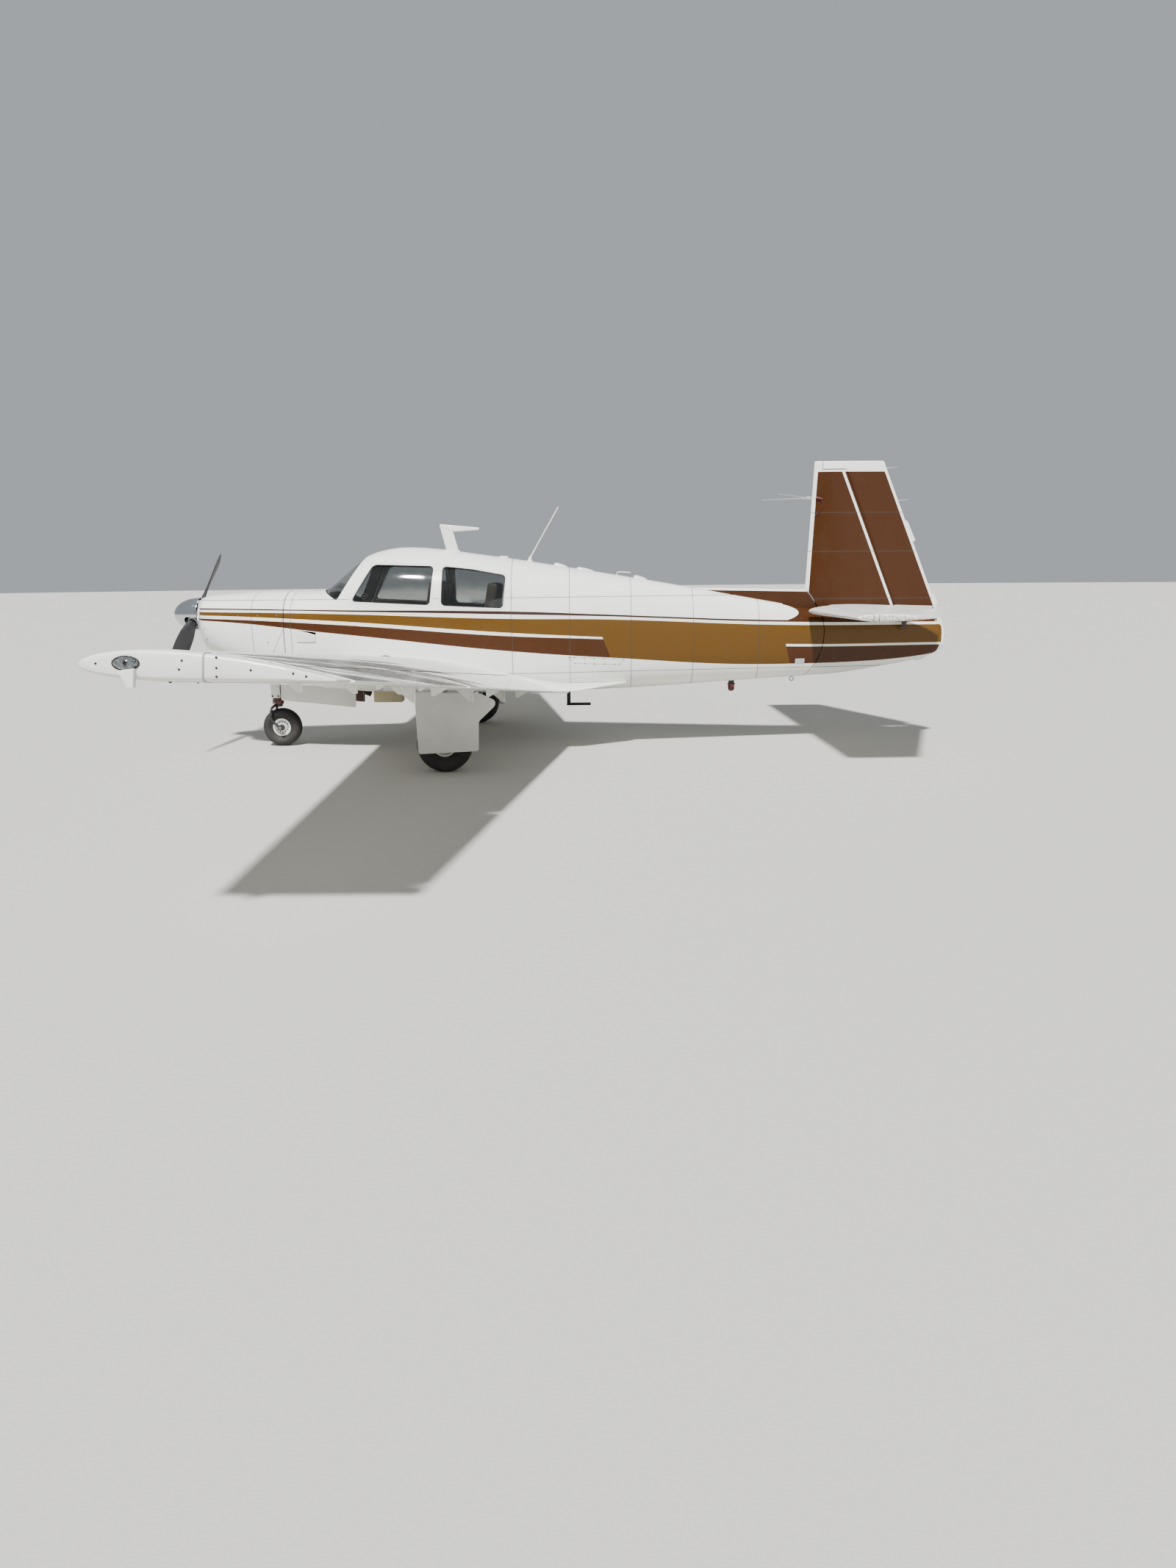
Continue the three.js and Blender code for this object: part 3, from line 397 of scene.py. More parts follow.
def pushedFace(points, push, corner=0.0, segments=5):
    # a flat face with rounded corners becomes a plate
    bm = bmesh.new()
    face = bm.faces.new([bm.verts.new(point) for point in points])
    if corner:
        bmesh.ops.bevel(bm, geom=list(face.verts), offset=corner, offset_type="OFFSET", segments=segments,
                        profile=0.5, affect="VERTICES", material=-1)
    pushed = bmesh.ops.extrude_face_region(bm, geom=bm.faces[:])
    moved = [item for item in pushed["geom"] if isinstance(item, bmesh.types.BMVert)]
    bmesh.ops.translate(bm, verts=moved, vec=push)
    bmesh.ops.recalc_face_normals(bm, faces=bm.faces)
    return bm


def outlinePlate(outline, y0, y1, corner=0.0, segments=5):
    # a side-view outline of stations and heights, pushed from y0 to y1
    return pushedFace([at(x, y0, z) for x, z in outline], (0, y1 - y0, 0), corner, segments)


def planPlate(outline, z0, z1):
    # an outline seen from above, pushed from z0 to z1
    return pushedFace([at(x, y, z0) for x, y in outline], (0, 0, z1 - z0))


def moved(bm, matrix):
    bmesh.ops.transform(bm, matrix=matrix, verts=bm.verts)
    return bm


def block(x0, x1, y0, y1, z0, z1, rounding=0.0, segments=2):
    bm = bmesh.new()
    middle = at((x0 + x1) / 2, (y0 + y1) / 2, (z0 + z1) / 2)
    size = Matrix.Diagonal((x1 - x0, y1 - y0, z1 - z0, 1))
    bmesh.ops.create_cube(bm, size=1, matrix=Matrix.Translation(middle) @ size)
    if rounding:
        bmesh.ops.bevel(bm, geom=bm.edges[:], offset=rounding, segments=segments, profile=0.5,
                        affect="EDGES", material=-1)
    return bm


def along(start, end):
    # a matrix whose Z runs from start towards end, at the middle between them
    line = end - start
    return Matrix.Translation((start + end) / 2) @ line.to_track_quat("Z", "Y").to_matrix().to_4x4()


def rod(start, end, radius, endRadius=None, sides=20, rounding=0.0):
    bm = bmesh.new()
    bmesh.ops.create_cone(bm, cap_ends=True, segments=sides, radius1=radius,
                          radius2=radius if endRadius is None else endRadius,
                          depth=(end - start).length, matrix=along(start, end))
    if rounding:
        rims = [edge for edge in bm.edges if len(edge.link_faces) == 2
                and max(len(face.verts) for face in edge.link_faces) == sides]
        bmesh.ops.bevel(bm, geom=rims, offset=rounding, segments=3, profile=0.5, affect="EDGES",
                        material=-1)
    return bm


def swept(points, radius, sides, flatten=1.0):
    # a round bar along a line of points; the ring turns with the line
    count = len(points) - 1

    def ring(i, j):
        ahead = points[min(i + 1, count)] - points[max(i - 1, 0)]
        turn = ahead.to_track_quat("Z", "Y")
        angle = 2 * math.pi * j / sides
        size = radius[i] if isinstance(radius, (list, tuple)) else radius
        return points[i] + turn @ Vector((math.cos(angle) * size, math.sin(angle) * size * flatten, 0))
    return closeUp(gridSheet(count, sides, ring))


def lathe(profile, centre, axis, steps):
    # spins a profile of [radius, offset along the axis] about an axis through a centre
    bm = bmesh.new()
    frameTurn = Vector(axis).to_track_quat("Z", "Y").to_matrix().to_4x4()
    rail = [bm.verts.new((max(radius, 0.0), 0, offset)) for radius, offset in profile]
    edges = [bm.edges.new(pair) for pair in zip(rail, rail[1:])]
    bmesh.ops.spin(bm, geom=rail + edges, cent=(0, 0, 0), axis=(0, 0, 1), angle=2 * math.pi, steps=steps,
                   use_merge=True)
    bmesh.ops.remove_doubles(bm, verts=bm.verts, dist=0.00003)
    bmesh.ops.transform(bm, matrix=Matrix.Translation(centre) @ frameTurn, verts=bm.verts)
    return closeUp(bm)


def studs(places, radius, height, sides):
    # screw and fastener heads as low domes, each at a (point, normal)
    bm = bmesh.new()
    for point, normal in places:
        seat = along(point, point + normal * height)
        bmesh.ops.create_cone(bm, cap_ends=True, segments=sides, radius1=radius, radius2=radius * 0.72,
                              depth=height * 1.6, matrix=seat)
    return bm


def evenly(start, end, pitch):
    count = max(int(round(abs(end - start) / pitch)), 1)
    return [start + (end - start) * i / count for i in range(count + 1)]


def aroundCircle(count, shift=0.0):
    return [2 * math.pi * (k + shift) / count for k in range(count)]


def blend(low, high, share):
    return low + (high - low) * share


def paintFaces(obj, rule):
    # a face takes the second finish where the rule of its middle and normal says so
    for polygon in obj.data.polygons:
        polygon.material_index = int(rule(polygon.center, polygon.normal))


# the fuselage's own rule: half super-ellipses over and under the widest line. Each row has a station,
# the half width, the heights of top, bottom and widest line, and the roundness above and below
hull = {
    "rows": [
        (0.255, 0.130, 1.345, 0.955, 1.180, 2.1, 2.1), (0.280, 0.180, 1.360, 0.930, 1.178, 2.2, 2.2),
        (0.310, 0.245, 1.371, 0.905, 1.172, 2.3, 2.3), (0.345, 0.315, 1.381, 0.880, 1.166, 2.4, 2.35),
        (0.400, 0.366, 1.391, 0.850, 1.160, 2.5, 2.4), (0.600, 0.428, 1.405, 0.748, 1.140, 2.7, 2.6),
        (0.850, 0.478, 1.417, 0.655, 1.120, 2.8, 2.9), (1.135, 0.522, 1.426, 0.592, 1.100, 2.8, 3.2),
        (1.430, 0.552, 1.434, 0.550, 1.090, 2.7, 3.5), (1.600, 0.563, 1.562, 0.532, 1.085, 2.6, 3.6),
        (1.756, 0.570, 1.690, 0.520, 1.080, 2.5, 3.7), (1.908, 0.574, 1.756, 0.512, 1.080, 2.5, 3.8),
        (2.137, 0.576, 1.790, 0.505, 1.080, 2.5, 3.8), (2.478, 0.570, 1.769, 0.500, 1.080, 2.5, 3.8),
        (2.762, 0.556, 1.729, 0.497, 1.075, 2.5, 3.8), (3.090, 0.528, 1.683, 0.496, 1.060, 2.5, 3.7),
        (3.490, 0.470, 1.619, 0.500, 1.040, 2.5, 3.5), (3.950, 0.402, 1.544, 0.508, 1.015, 2.5, 3.2),
        (4.437, 0.332, 1.462, 0.528, 0.990, 2.5, 3.0), (5.000, 0.253, 1.360, 0.560, 0.960, 2.5, 2.8),
        (5.400, 0.198, 1.287, 0.583, 0.950, 2.5, 2.7), (5.750, 0.152, 1.225, 0.603, 0.940, 2.5, 2.6),
        (6.100, 0.118, 1.176, 0.628, 0.930, 2.5, 2.5), (6.500, 0.086, 1.130, 0.690, 0.930, 2.5, 2.4),
        (6.800, 0.062, 1.110, 0.742, 0.935, 2.4, 2.3), (6.950, 0.048, 1.098, 0.792, 0.945, 2.3, 2.2),
        (7.030, 0.034, 1.030, 0.850, 0.945, 2.2, 2.2),
    ],
    "around": 128, "step": 0.045,
    "cowlEnd": 1.1308, "firewall": 1.1352, "cabinBack": 3.090, "tailEnd": 7.030,
    "trimAxis": (5.350, 1.000), "coneArc": 0.553, "tailArc": 0.560, "cowlSplit": 1.200,
}


@functools.lru_cache(maxsize=None)
def exactHullRow(station):
    rows = hull["rows"]
    last = len(rows) - 2
    i = next((k for k in range(last) if station <= rows[k + 1][0]), last)
    width = rows[i + 1][0] - rows[i][0]
    t = (station - rows[i][0]) / width

    def slope(k, column):
        low, high = rows[max(k - 1, 0)], rows[min(k + 1, len(rows) - 1)]
        return (high[column] - low[column]) / (high[0] - low[0])
    return [blend(rows[i][column], rows[i + 1][column], 3 * t ** 2 - 2 * t ** 3)
            + slope(i, column) * width * (t ** 3 - 2 * t ** 2 + t)
            + slope(i + 1, column) * width * (t ** 3 - t ** 2) for column in range(1, 7)]


def hullRow(station):
    return exactHullRow(round(station, 5))


def hullHalf(station, z):
    # half width, widest height, reach and roundness of the half that a height lies in
    halfWidth, top, bottom, widest, topRound, bottomRound = hullRow(station)
    if z > widest:
        return halfWidth, widest, top - widest, topRound
    return halfWidth, widest, widest - bottom, bottomRound


def hullPoint(station, turn, inset=0.0):
    halfWidth, top, bottom, widest, topRound, bottomRound = hullRow(station)
    cosine, sine = math.cos(turn), math.sin(turn)
    rounding = topRound if sine > 0 else bottomRound
    reach = (top - widest if sine > 0 else widest - bottom) - inset
    y = math.copysign(abs(cosine) ** (2 / rounding), cosine) * (halfWidth - inset)
    z = widest + math.copysign(abs(sine) ** (2 / rounding), sine) * reach
    return at(station, y, z)


def hullSide(station, z, side, inset=0.0):
    # the hull's point at a height, on the right (1) or left (-1), and the way it faces
    halfWidth, widest, reach, rounding = hullHalf(station, z)
    share = min(abs(z - widest) / (reach - inset), 1)
    turn = math.copysign(math.asin(share ** (rounding / 2)), z - widest)
    turn = turn if side > 0 else math.pi - turn
    point = hullPoint(station, turn, inset)
    ahead = hullPoint(station + 0.01, turn, inset) - hullPoint(station - 0.01, turn, inset)
    up = hullPoint(station, turn + 0.01, inset) - hullPoint(station, turn - 0.01, inset)
    normal = up.cross(ahead).normalized()
    if normal.y * side < 0:
        normal = -normal
    return point, normal


def arcStation(turn, radius):
    # where the hull's line at this turn meets an arc about the trim axis
    axisStation, axisHeight = hull["trimAxis"]
    station = axisStation + radius
    for _ in range(8):
        rise = hullPoint(station, turn).z - axisHeight
        station = axisStation + math.sqrt(max(radius ** 2 - rise ** 2, 0.01))
    return station


def hullSheet(start, end, inset=0.0, around=None):
    # an open length of the hull; each end is a station or a rule of the turn
    around = around or hull["around"]
    turns = [2 * math.pi * (j + 0.5) / around for j in range(around)] + [math.pi / around]
    first = [start(turn) if callable(start) else start for turn in turns]
    last = [end(turn) if callable(end) else end for turn in turns]
    columns = max(int((max(last) - min(first)) / hull["step"]), 2)
    return gridSheet(columns, around,
                     lambda i, j: hullPoint(blend(first[j], last[j], i / columns), turns[j], inset))


def hullMiddle(station):
    return at(station, 0, hullRow(station)[3])


# painted skins. The fuselage livery is a stack of edges, each a height along the stations
livery = {
    "stations": (0.35, 1.56, 3.10, 3.877, 5.56, 6.955), "length": 7.2, "low": 0.55, "height": 0.9,
    "edges": [
        ("dark", (1.278, 1.258, 1.230, 1.194, 1.117, 1.100)),
        ("cream", (1.266, 1.245, 1.204, 1.177, 1.101, 1.085)),
        ("gold", (1.246, 1.225, 1.167, 1.151, 1.075, 1.062)),
        ("cream", (1.217, 1.165, 1.046, 0.997, 0.904, 0.898)),
        ("brown", (1.190, 1.135, 1.018, 0.979, 0.883, 0.878)),
        ("white", (1.173, 1.060, 0.887, 0.820, 0.723, 0.800)),
    ],
    "plainEdges": (3, 4), "turnedEdge": 5,  # the edges that a gold block hides, and the one turned up aft
    "turnUp": ((6.99, 0.845), (7.03, 0.90)), "whiteFrom": 7.012,
    "colours": {"white": "#e6e6e1", "dark": "#33211c", "cream": "#e4e1d6", "gold": "#573b0e",
                "brown": "#3f2007",
                "tail": "#3c1f07"},
    # the white area ends in a rounded tip, given by its station, height and curl
    "tailTip": (5.671, 1.182, 26.0), "mostCurl": 0.135,
    # slanted ends of the plain gold block: station, height and lean
    "blockFront": (3.892, 0.98, 0.396), "blockRear": (5.555, 0.892, 0.265),
    "seams": (0.845, 1.127, 1.195, 3.100, 3.600, 4.143, 4.70, 5.30), "longerons": (0.690, 1.345),
}


def nearestOf(add, run, places):
    # how far a run of heights or stations is from the nearest of several places
    nearest = None
    for place in places:
        away = add("Math", {0: run, 1: place}, operation="SUBTRACT")
        away = add("Math", {0: away}, operation="ABSOLUTE")
        nearest = add("Math", {0: nearest, 1: away}, operation="MINIMUM") if nearest else away
    return nearest


def makeSkin(look):
    # two-pack enamel over aluminium skin: stripes in order from the top, seams, flush rivets, weathering
    add, shader, place = newMaterial("skinLivery")
    axes = add("SeparateXYZ", {0: place}).outputs
    station = add("Math", {0: axes["X"], 1: noseX}, operation="SUBTRACT")
    height = axes["Z"]
    share = add("Math", {0: station, 1: look["length"]}, operation="DIVIDE")
    paints = {key: linear(value) for key, value in look["colours"].items()}
    tipStation, tipHeight, curl = look["tailTip"]
    rise = add("Math", {0: height, 1: tipHeight}, operation="SUBTRACT")
    square = add("Math", {0: rise, 1: rise}, operation="MULTIPLY")
    bend = add("Math", {0: square, 1: curl}, operation="MULTIPLY")
    bend = add("Math", {0: bend, 1: look["mostCurl"]}, operation="MINIMUM")
    rounded = add("Math", {0: tipStation, 1: bend}, operation="SUBTRACT")
    behind = add("Math", {0: station, 1: rounded}, operation="GREATER_THAN")
    slants = []
    for (slantStation, slantHeight, lean), side in ((look["blockFront"], "GREATER_THAN"),
                                                    (look["blockRear"], "LESS_THAN")):
        line = add("Math", {0: height, 1: -lean, 2: slantStation + lean * slantHeight},
                   operation="MULTIPLY_ADD")
        slants.append(add("Math", {0: station, 1: line}, operation=side))
    inBlock = add("Math", {0: slants[0], 1: slants[1]}, operation="MULTIPLY")
    colour = add("Mix", {0: behind, 6: paints["white"], 7: paints["tail"]}, data_type="RGBA")
    for number, (paint, heights) in enumerate(look["edges"]):
        edge = add("FloatCurve", {"Value": share})
        curve = edge.mapping.curves[0]
        places = list(zip(look["stations"], heights))
        if number == look["turnedEdge"]:
            places += look["turnUp"]
        points = [(x / look["length"], (z - look["low"]) / look["height"]) for x, z in places]
        curve.points[0].location = (0, points[0][1])
        curve.points[1].location = (1, points[-1][1])
        for x, z in points:
            curve.points.new(x, z)
        edge.mapping.update()
        line = add("Math", {0: edge, 1: look["height"], 2: look["low"]}, operation="MULTIPLY_ADD")
        below = add("Math", {0: height, 1: line}, operation="LESS_THAN")
        tone = paints[paint]
        if paint == "dark":
            tone = add("Mix", {0: behind, 6: paints["dark"], 7: paints["tail"]}, data_type="RGBA")
        if number in look["plainEdges"]:
            tone = add("Mix", {0: inBlock, 6: tone, 7: paints["gold"]}, data_type="RGBA")
        colour = add("Mix", {0: below, 6: colour, 7: tone}, data_type="RGBA")
    endCap = add("Math", {0: station, 1: look["whiteFrom"]}, operation="GREATER_THAN")
    colour = add("Mix", {0: endCap, 6: colour, 7: paints["white"]}, data_type="RGBA")
    seam, lap = nearestOf(add, station, look["seams"]), nearestOf(add, height, look["longerons"])
    finishSkin(add, shader, place, colour, seam, lap, station, height)


def finishSkin(add, shader, place, colour, nearest, lap, station, height):
    # seam line 2 mm wide, rivets 5 mm across every 26 mm, drawn a little coarse so that they show
    seam = add("MapRange", {"Value": add("Math", {0: nearest, 1: lap}, operation="MINIMUM"),
                            1: 0.0014, 2: 0.0038, 3: 1, 4: 0})
    dots = []
    for across, run in ((nearest, height), (lap, station)):
        pitch = add("Math", {0: run, 1: 0.013}, operation="PINGPONG")
        offset = add("Math", {0: across, 1: 0.012}, operation="SUBTRACT")
        far = add("CombineXYZ", {0: pitch, 1: offset})
        far = add("VectorMath", {0: far}, operation="LENGTH")
        dots.append(add("MapRange", {"Value": far, 1: 0.0020, 2: 0.0036, 3: 1, 4: 0}))
    rivet = add("Math", {0: dots[0], 1: dots[1]}, operation="MAXIMUM")
    marks = add("Math", {0: add("Math", {0: rivet, 1: 0.28}, operation="MULTIPLY"),
                         1: add("Math", {0: seam, 1: 0.85}, operation="MULTIPLY")},
                operation="MAXIMUM")
    colour = add("Mix", {0: marks, 6: colour, 7: linear("#3b3833")}, data_type="RGBA")
    streaks = add("Mapping", {"Vector": place, "Scale": (4, 4, 2.2)})
    grime = add("TexNoise", {"Vector": streaks, "Scale": 1.6, "Detail": 6, "Roughness": 0.62})
    grime = add("MapRange", {"Value": grime, 1: 0.50, 2: 0.86, 3: 0, 4: 0.10})
    colour = add("Mix", {0: grime, 6: colour, 7: linear("#4d4336")}, data_type="RGBA")
    ripple = add("TexNoise", {"Vector": place, "Scale": 5.5, "Detail": 1})  # oil-canning between frames
    peel = add("TexNoise", {"Vector": place, "Scale": 160, "Detail": 2})  # orange peel, 6 mm
    form = add("Math", {0: ripple, 1: 2.2, 2: peel}, operation="MULTIPLY_ADD")
    form = add("Math", {0: seam, 1: -0.9, 2: form}, operation="MULTIPLY_ADD")
    form = add("Math", {0: rivet, 1: 0.30, 2: form}, operation="MULTIPLY_ADD")
    setInputs(shader, {
        "Base Color": colour,
        "Roughness": add("MapRange", {"Value": grime, 1: 0, 2: 0.1, 3: 0.24, 4: 0.42}),
        "Normal": add("Bump", {"Height": form, "Strength": 0.32, "Distance": 0.0012}),
        "Coat Weight": 0.07, "Specular IOR Level": 0.22, "Coat Roughness": 0.1})


makeSkin(livery)

# fin and rudder: brown panels with white edges, each edge a sloping line of station over height
finPaint = {
    "brown": "#3c1f07", "white": "#e6e5df", "base": 1.384,
    "leading": (5.747, 0.0447), "hinge": (6.5276, -0.4143), "trailing": (6.888, -0.4244),
    "leadingBand": 0.032, "hingeBand": 0.012, "trailingBand": 0.026, "capHeight": 2.412,
    "stripeAhead": 0.050, "sparAhead": 0.075, "ribs": (1.72, 1.30, 2.06),
}


def makeFinPaint(look):
    add, shader, place = newMaterial("finLivery")
    axes = add("SeparateXYZ", {0: place}).outputs
    station = add("Math", {0: axes["X"], 1: noseX}, operation="SUBTRACT")
    height = axes["Z"]
    offsets = {}
    for key in ("leading", "hinge", "trailing"):
        start, lean = look[key]
        line = add("Math", {0: height, 1: lean, 2: start - lean * look["base"]}, operation="MULTIPLY_ADD")
        offsets[key] = add("Math", {0: station, 1: line}, operation="SUBTRACT")
    edge = add("Math", {0: offsets["leading"], 1: look["leadingBand"]}, operation="LESS_THAN")
    cap = add("Math", {0: height, 1: look["capHeight"]}, operation="GREATER_THAN")
    stripe = add("Math", {0: offsets["hinge"], 1: -look["stripeAhead"], 2: look["hingeBand"]},
                 operation="COMPARE")
    tail = add("Math", {0: offsets["trailing"], 1: -look["trailingBand"]}, operation="GREATER_THAN")
    white = add("Math", {0: edge, 1: cap}, operation="MAXIMUM")
    white = add("Math", {0: white, 1: stripe}, operation="MAXIMUM")
    white = add("Math", {0: white, 1: tail}, operation="MAXIMUM")
    colour = add("Mix", {0: white, 6: linear(look["brown"]), 7: linear(look["white"])}, data_type="RGBA")
    spar = add("Math", {0: offsets["hinge"], 1: look["sparAhead"]}, operation="ADD")
    spar = add("Math", {0: spar}, operation="ABSOLUTE")
    spar = add("Math", {0: spar, 1: 0.004}, operation="ADD")  # only its rivets show
    finishSkin(add, shader, place, colour, spar, nearestOf(add, height, look["ribs"]), station, height)


makeFinPaint(finPaint)

# wing tops: white enamel that has come off in long fanning flakes down to grey metal and primer
wingPaint = {
    "white": "#e7e7e3", "bare": "#39393a", "primer": "#8d8b86",
    # station, span, length, width, turn in degrees from the span, wear from 0 to 1
    "worn": [
        (2.52, 5.17, 0.50, 0.050, 72, 1.0), (2.73, 5.05, 0.50, 0.035, 16, 1.2),
        (2.30, 4.62, 1.10, 0.040, 14, 1.0), (2.40, 4.20, 1.40, 0.045, 13, 1.0),
        (2.62, 4.52, 1.00, 0.050, 27, 1.1), (2.74, 4.20, 0.95, 0.055, 29, 1.0),
        (2.55, 3.86, 1.10, 0.050, 14, 1.1), (2.70, 3.62, 0.80, 0.055, 30, 1.0),
        (2.86, 3.36, 0.60, 0.060, 55, 1.0), (2.95, 3.80, 0.70, 0.045, 40, 0.9),
        (2.48, 3.20, 1.00, 0.040, 12, 0.7), (2.80, 2.85, 1.00, 0.045, 16, 0.7),
        (3.05, 2.95, 0.70, 0.050, 30, 0.8), (2.62, 2.40, 0.90, 0.040, 10, 0.5),
    ],
    # station over which the wear fades in, and the spans between which it lies
    "patch": {"share": (0.40, 0.56), "inner": (2.6, 3.5), "outer": (5.16, 5.24)},
    "front": 1.7, "chord": (-0.16851, 1.917),  # the leading edge, and the chord as a line over the span
    "ribs": (1.02, 1.52, 2.02, 2.52, 3.02, 3.455, 3.98, 4.50, 5.18), "spars": (0.16, 0.46, 0.69),
}


def makeWingPaint(look):
    add, shader, place = newMaterial("wingEnamel")
    axes = add("SeparateXYZ", {0: place}).outputs
    station = add("Math", {0: axes["X"], 1: noseX}, operation="SUBTRACT")
    span = add("Math", {0: axes["Y"]}, operation="ABSOLUTE")
    flat = add("CombineXYZ", {0: station, 1: span})
    wander = add("TexNoise", {"Vector": flat, "Scale": 7, "Detail": 5, "Roughness": 0.7})
    worn = None
    for x, y, reach, width, turn, depth in look["worn"]:
        local = add("Mapping", {"Vector": flat, "Location": (x, y, 0),
                                "Rotation": (0, 0, math.radians(turn)),
                                "Scale": (width, reach / 2, 1)}, vector_type="TEXTURE")
        far = add("VectorMath", {0: local}, operation="LENGTH")
        near = add("MapRange", {"Value": far, 1: 0.2, 2: 1.9, 3: depth, 4: 0})
        worn = near if worn is None else add("Math", {0: worn, 1: near}, operation="MAXIMUM")
    chord = add("Math", {0: span, 1: look["chord"][0], 2: look["chord"][1]}, operation="MULTIPLY_ADD")
    share = add("Math", {0: station, 1: look["front"]}, operation="SUBTRACT")
    share = add("Math", {0: share, 1: chord}, operation="DIVIDE")
    patch = add("MapRange", {"Value": share, 1: look["patch"]["share"][0], 2: look["patch"]["share"][1]})
    for run, flip in (("inner", 0), ("outer", 1)):
        side = add("MapRange", {"Value": span, 1: look["patch"][run][0], 2: look["patch"][run][1],
                                3: flip, 4: 1 - flip})
        patch = add("Math", {0: patch, 1: side}, operation="MULTIPLY")
    # flakes: noise drawn out along the fan, thresholded by how worn the place is
    grainRun = add("Mapping", {"Vector": flat, "Rotation": (0, 0, math.radians(21)),
                               "Scale": (0.045, 1.1, 1)}, vector_type="TEXTURE")
    flakes = add("TexNoise", {"Vector": grainRun, "Scale": 1, "Detail": 8, "Roughness": 0.66,
                              "Distortion": 0.4})
    total = add("Math", {0: worn, 1: 0.34, 2: flakes}, operation="MULTIPLY_ADD")
    total = add("Math", {0: patch, 1: 0.27, 2: total}, operation="MULTIPLY_ADD")
    total = add("Math", {0: wander, 1: 0.14, 2: total}, operation="MULTIPLY_ADD")
    upper = add("SeparateXYZ", {0: add("NewGeometry").outputs["Normal"]}).outputs["Z"]
    upper = add("Math", {0: upper, 1: 0.2}, operation="GREATER_THAN")
    total = add("Math", {0: total, 1: upper}, operation="MULTIPLY")
    thin = add("MapRange", {"Value": total, 1: 0.80, 2: 0.86, 3: 0, 4: 1})
    gone = add("MapRange", {"Value": total, 1: 0.90, 2: 0.94, 3: 0, 4: 1})
    colour = add("Mix", {0: thin, 6: linear(look["white"]), 7: linear(look["primer"])}, data_type="RGBA")
    colour = add("Mix", {0: gone, 6: colour, 7: linear(look["bare"])}, data_type="RGBA")
    lap = nearestOf(add, share, look["spars"])
    lap = add("Math", {0: lap, 1: chord}, operation="MULTIPLY")
    finishSkin(add, shader, place, colour, nearestOf(add, span, look["ribs"]), lap, span, station)


makeWingPaint(wingPaint)

# tyre rubber: dull black with grey dust in the grooves and a brown bloom on the wall
tyreLook = {"rubber": "#1a1a1b", "dust": "#5b554c", "bloom": "#2b2724"}


def makeTyreRubber(look):
    add, shader, place = newMaterial("tyreRubber")
    patches = add("TexNoise", {"Vector": place, "Scale": 12, "Detail": 6, "Roughness": 0.65})
    colour = add("Mix", {0: patches, 6: linear(look["rubber"]), 7: linear(look["bloom"])}, data_type="RGBA")
    low = add("SeparateXYZ", {0: place}).outputs["Z"]
    low = add("MapRange", {"Value": low, 1: 0.02, 2: 0.16, 3: 0.2, 4: 0})
    dusty = add("MapRange", {"Value": patches, 1: 0.42, 2: 0.62, 3: 0, 4: 1})
    dusty = add("Math", {0: dusty, 1: low}, operation="MULTIPLY")
    colour = add("Mix", {0: dusty, 6: colour, 7: linear(look["dust"])}, data_type="RGBA")
    fine = add("TexNoise", {"Vector": place, "Scale": 420, "Detail": 3})
    rise = add("Bump", {"Height": fine, "Strength": 0.25, "Distance": 0.0006})
    setInputs(shader, {"Base Color": colour, "Normal": rise, "Roughness": 0.78})


makeTyreRubber(tyreLook)

# woven seat cloth and cut-pile carpet: threads 1.6 mm apart, drawn at 3 mm so that they show
clothTable = {"seatCloth": ("#6c6358", "#4e463d", 330, 0.75),
              "carpetPile": ("#4d4942", "#33302b", 260, 1.0)}


def makeCloth(name, tone, shade, threads, depth):
    add, shader, place = newMaterial(name)
    warp = add("TexWave", {"Vector": place, "Scale": threads / 6, "Distortion": 1.2, "Detail": 1},
               bands_direction="Y")
    weft = add("TexWave", {"Vector": place, "Scale": threads / 6, "Distortion": 1.2, "Detail": 1},
               bands_direction="Z")
    weave = add("Math", {0: warp, 1: weft}, operation="MULTIPLY")
    fade = add("TexNoise", {"Vector": place, "Scale": 6, "Detail": 4})
    mixed = add("Math", {0: weave, 1: 0.6, 2: add("Math", {0: fade, 1: 0.4}, operation="MULTIPLY")},
                operation="MULTIPLY_ADD")
    setInputs(shader, {
        "Base Color": add("Mix", {0: mixed, 6: linear(shade), 7: linear(tone)}, data_type="RGBA"),
        "Normal": add("Bump", {"Height": weave, "Strength": depth, "Distance": 0.0008}),
        "Roughness": 0.92, "Sheen Weight": 0.25})


for clothName, clothValues in clothTable.items():
    makeCloth(clothName, *clothValues)
print("painted skins, rubber and cloth")


def grown(outline, distance):
    # a convex outline moved outwards by a distance, or inwards by a negative one
    count = len(outline)
    area = sum(outline[i][0] * outline[(i + 1) % count][1] - outline[(i + 1) % count][0] * outline[i][1]
               for i in range(count))
    turnSign = 1 if area > 0 else -1
    lines = []
    for i in range(count):
        start, end = Vector(outline[i]), Vector(outline[(i + 1) % count])
        run = (end - start).normalized()
        lines.append((start + Vector((run.y, -run.x)) * distance * turnSign, run))
    result = []
    for i in range(count):
        (p, r), (q, s) = lines[i - 1], lines[i]
        cross = r.x * s.y - r.y * s.x
        reach = ((q.x - p.x) * s.y - (q.y - p.y) * s.x) / cross
        result.append((p.x + r.x * reach, p.y + r.y * reach))
    return result


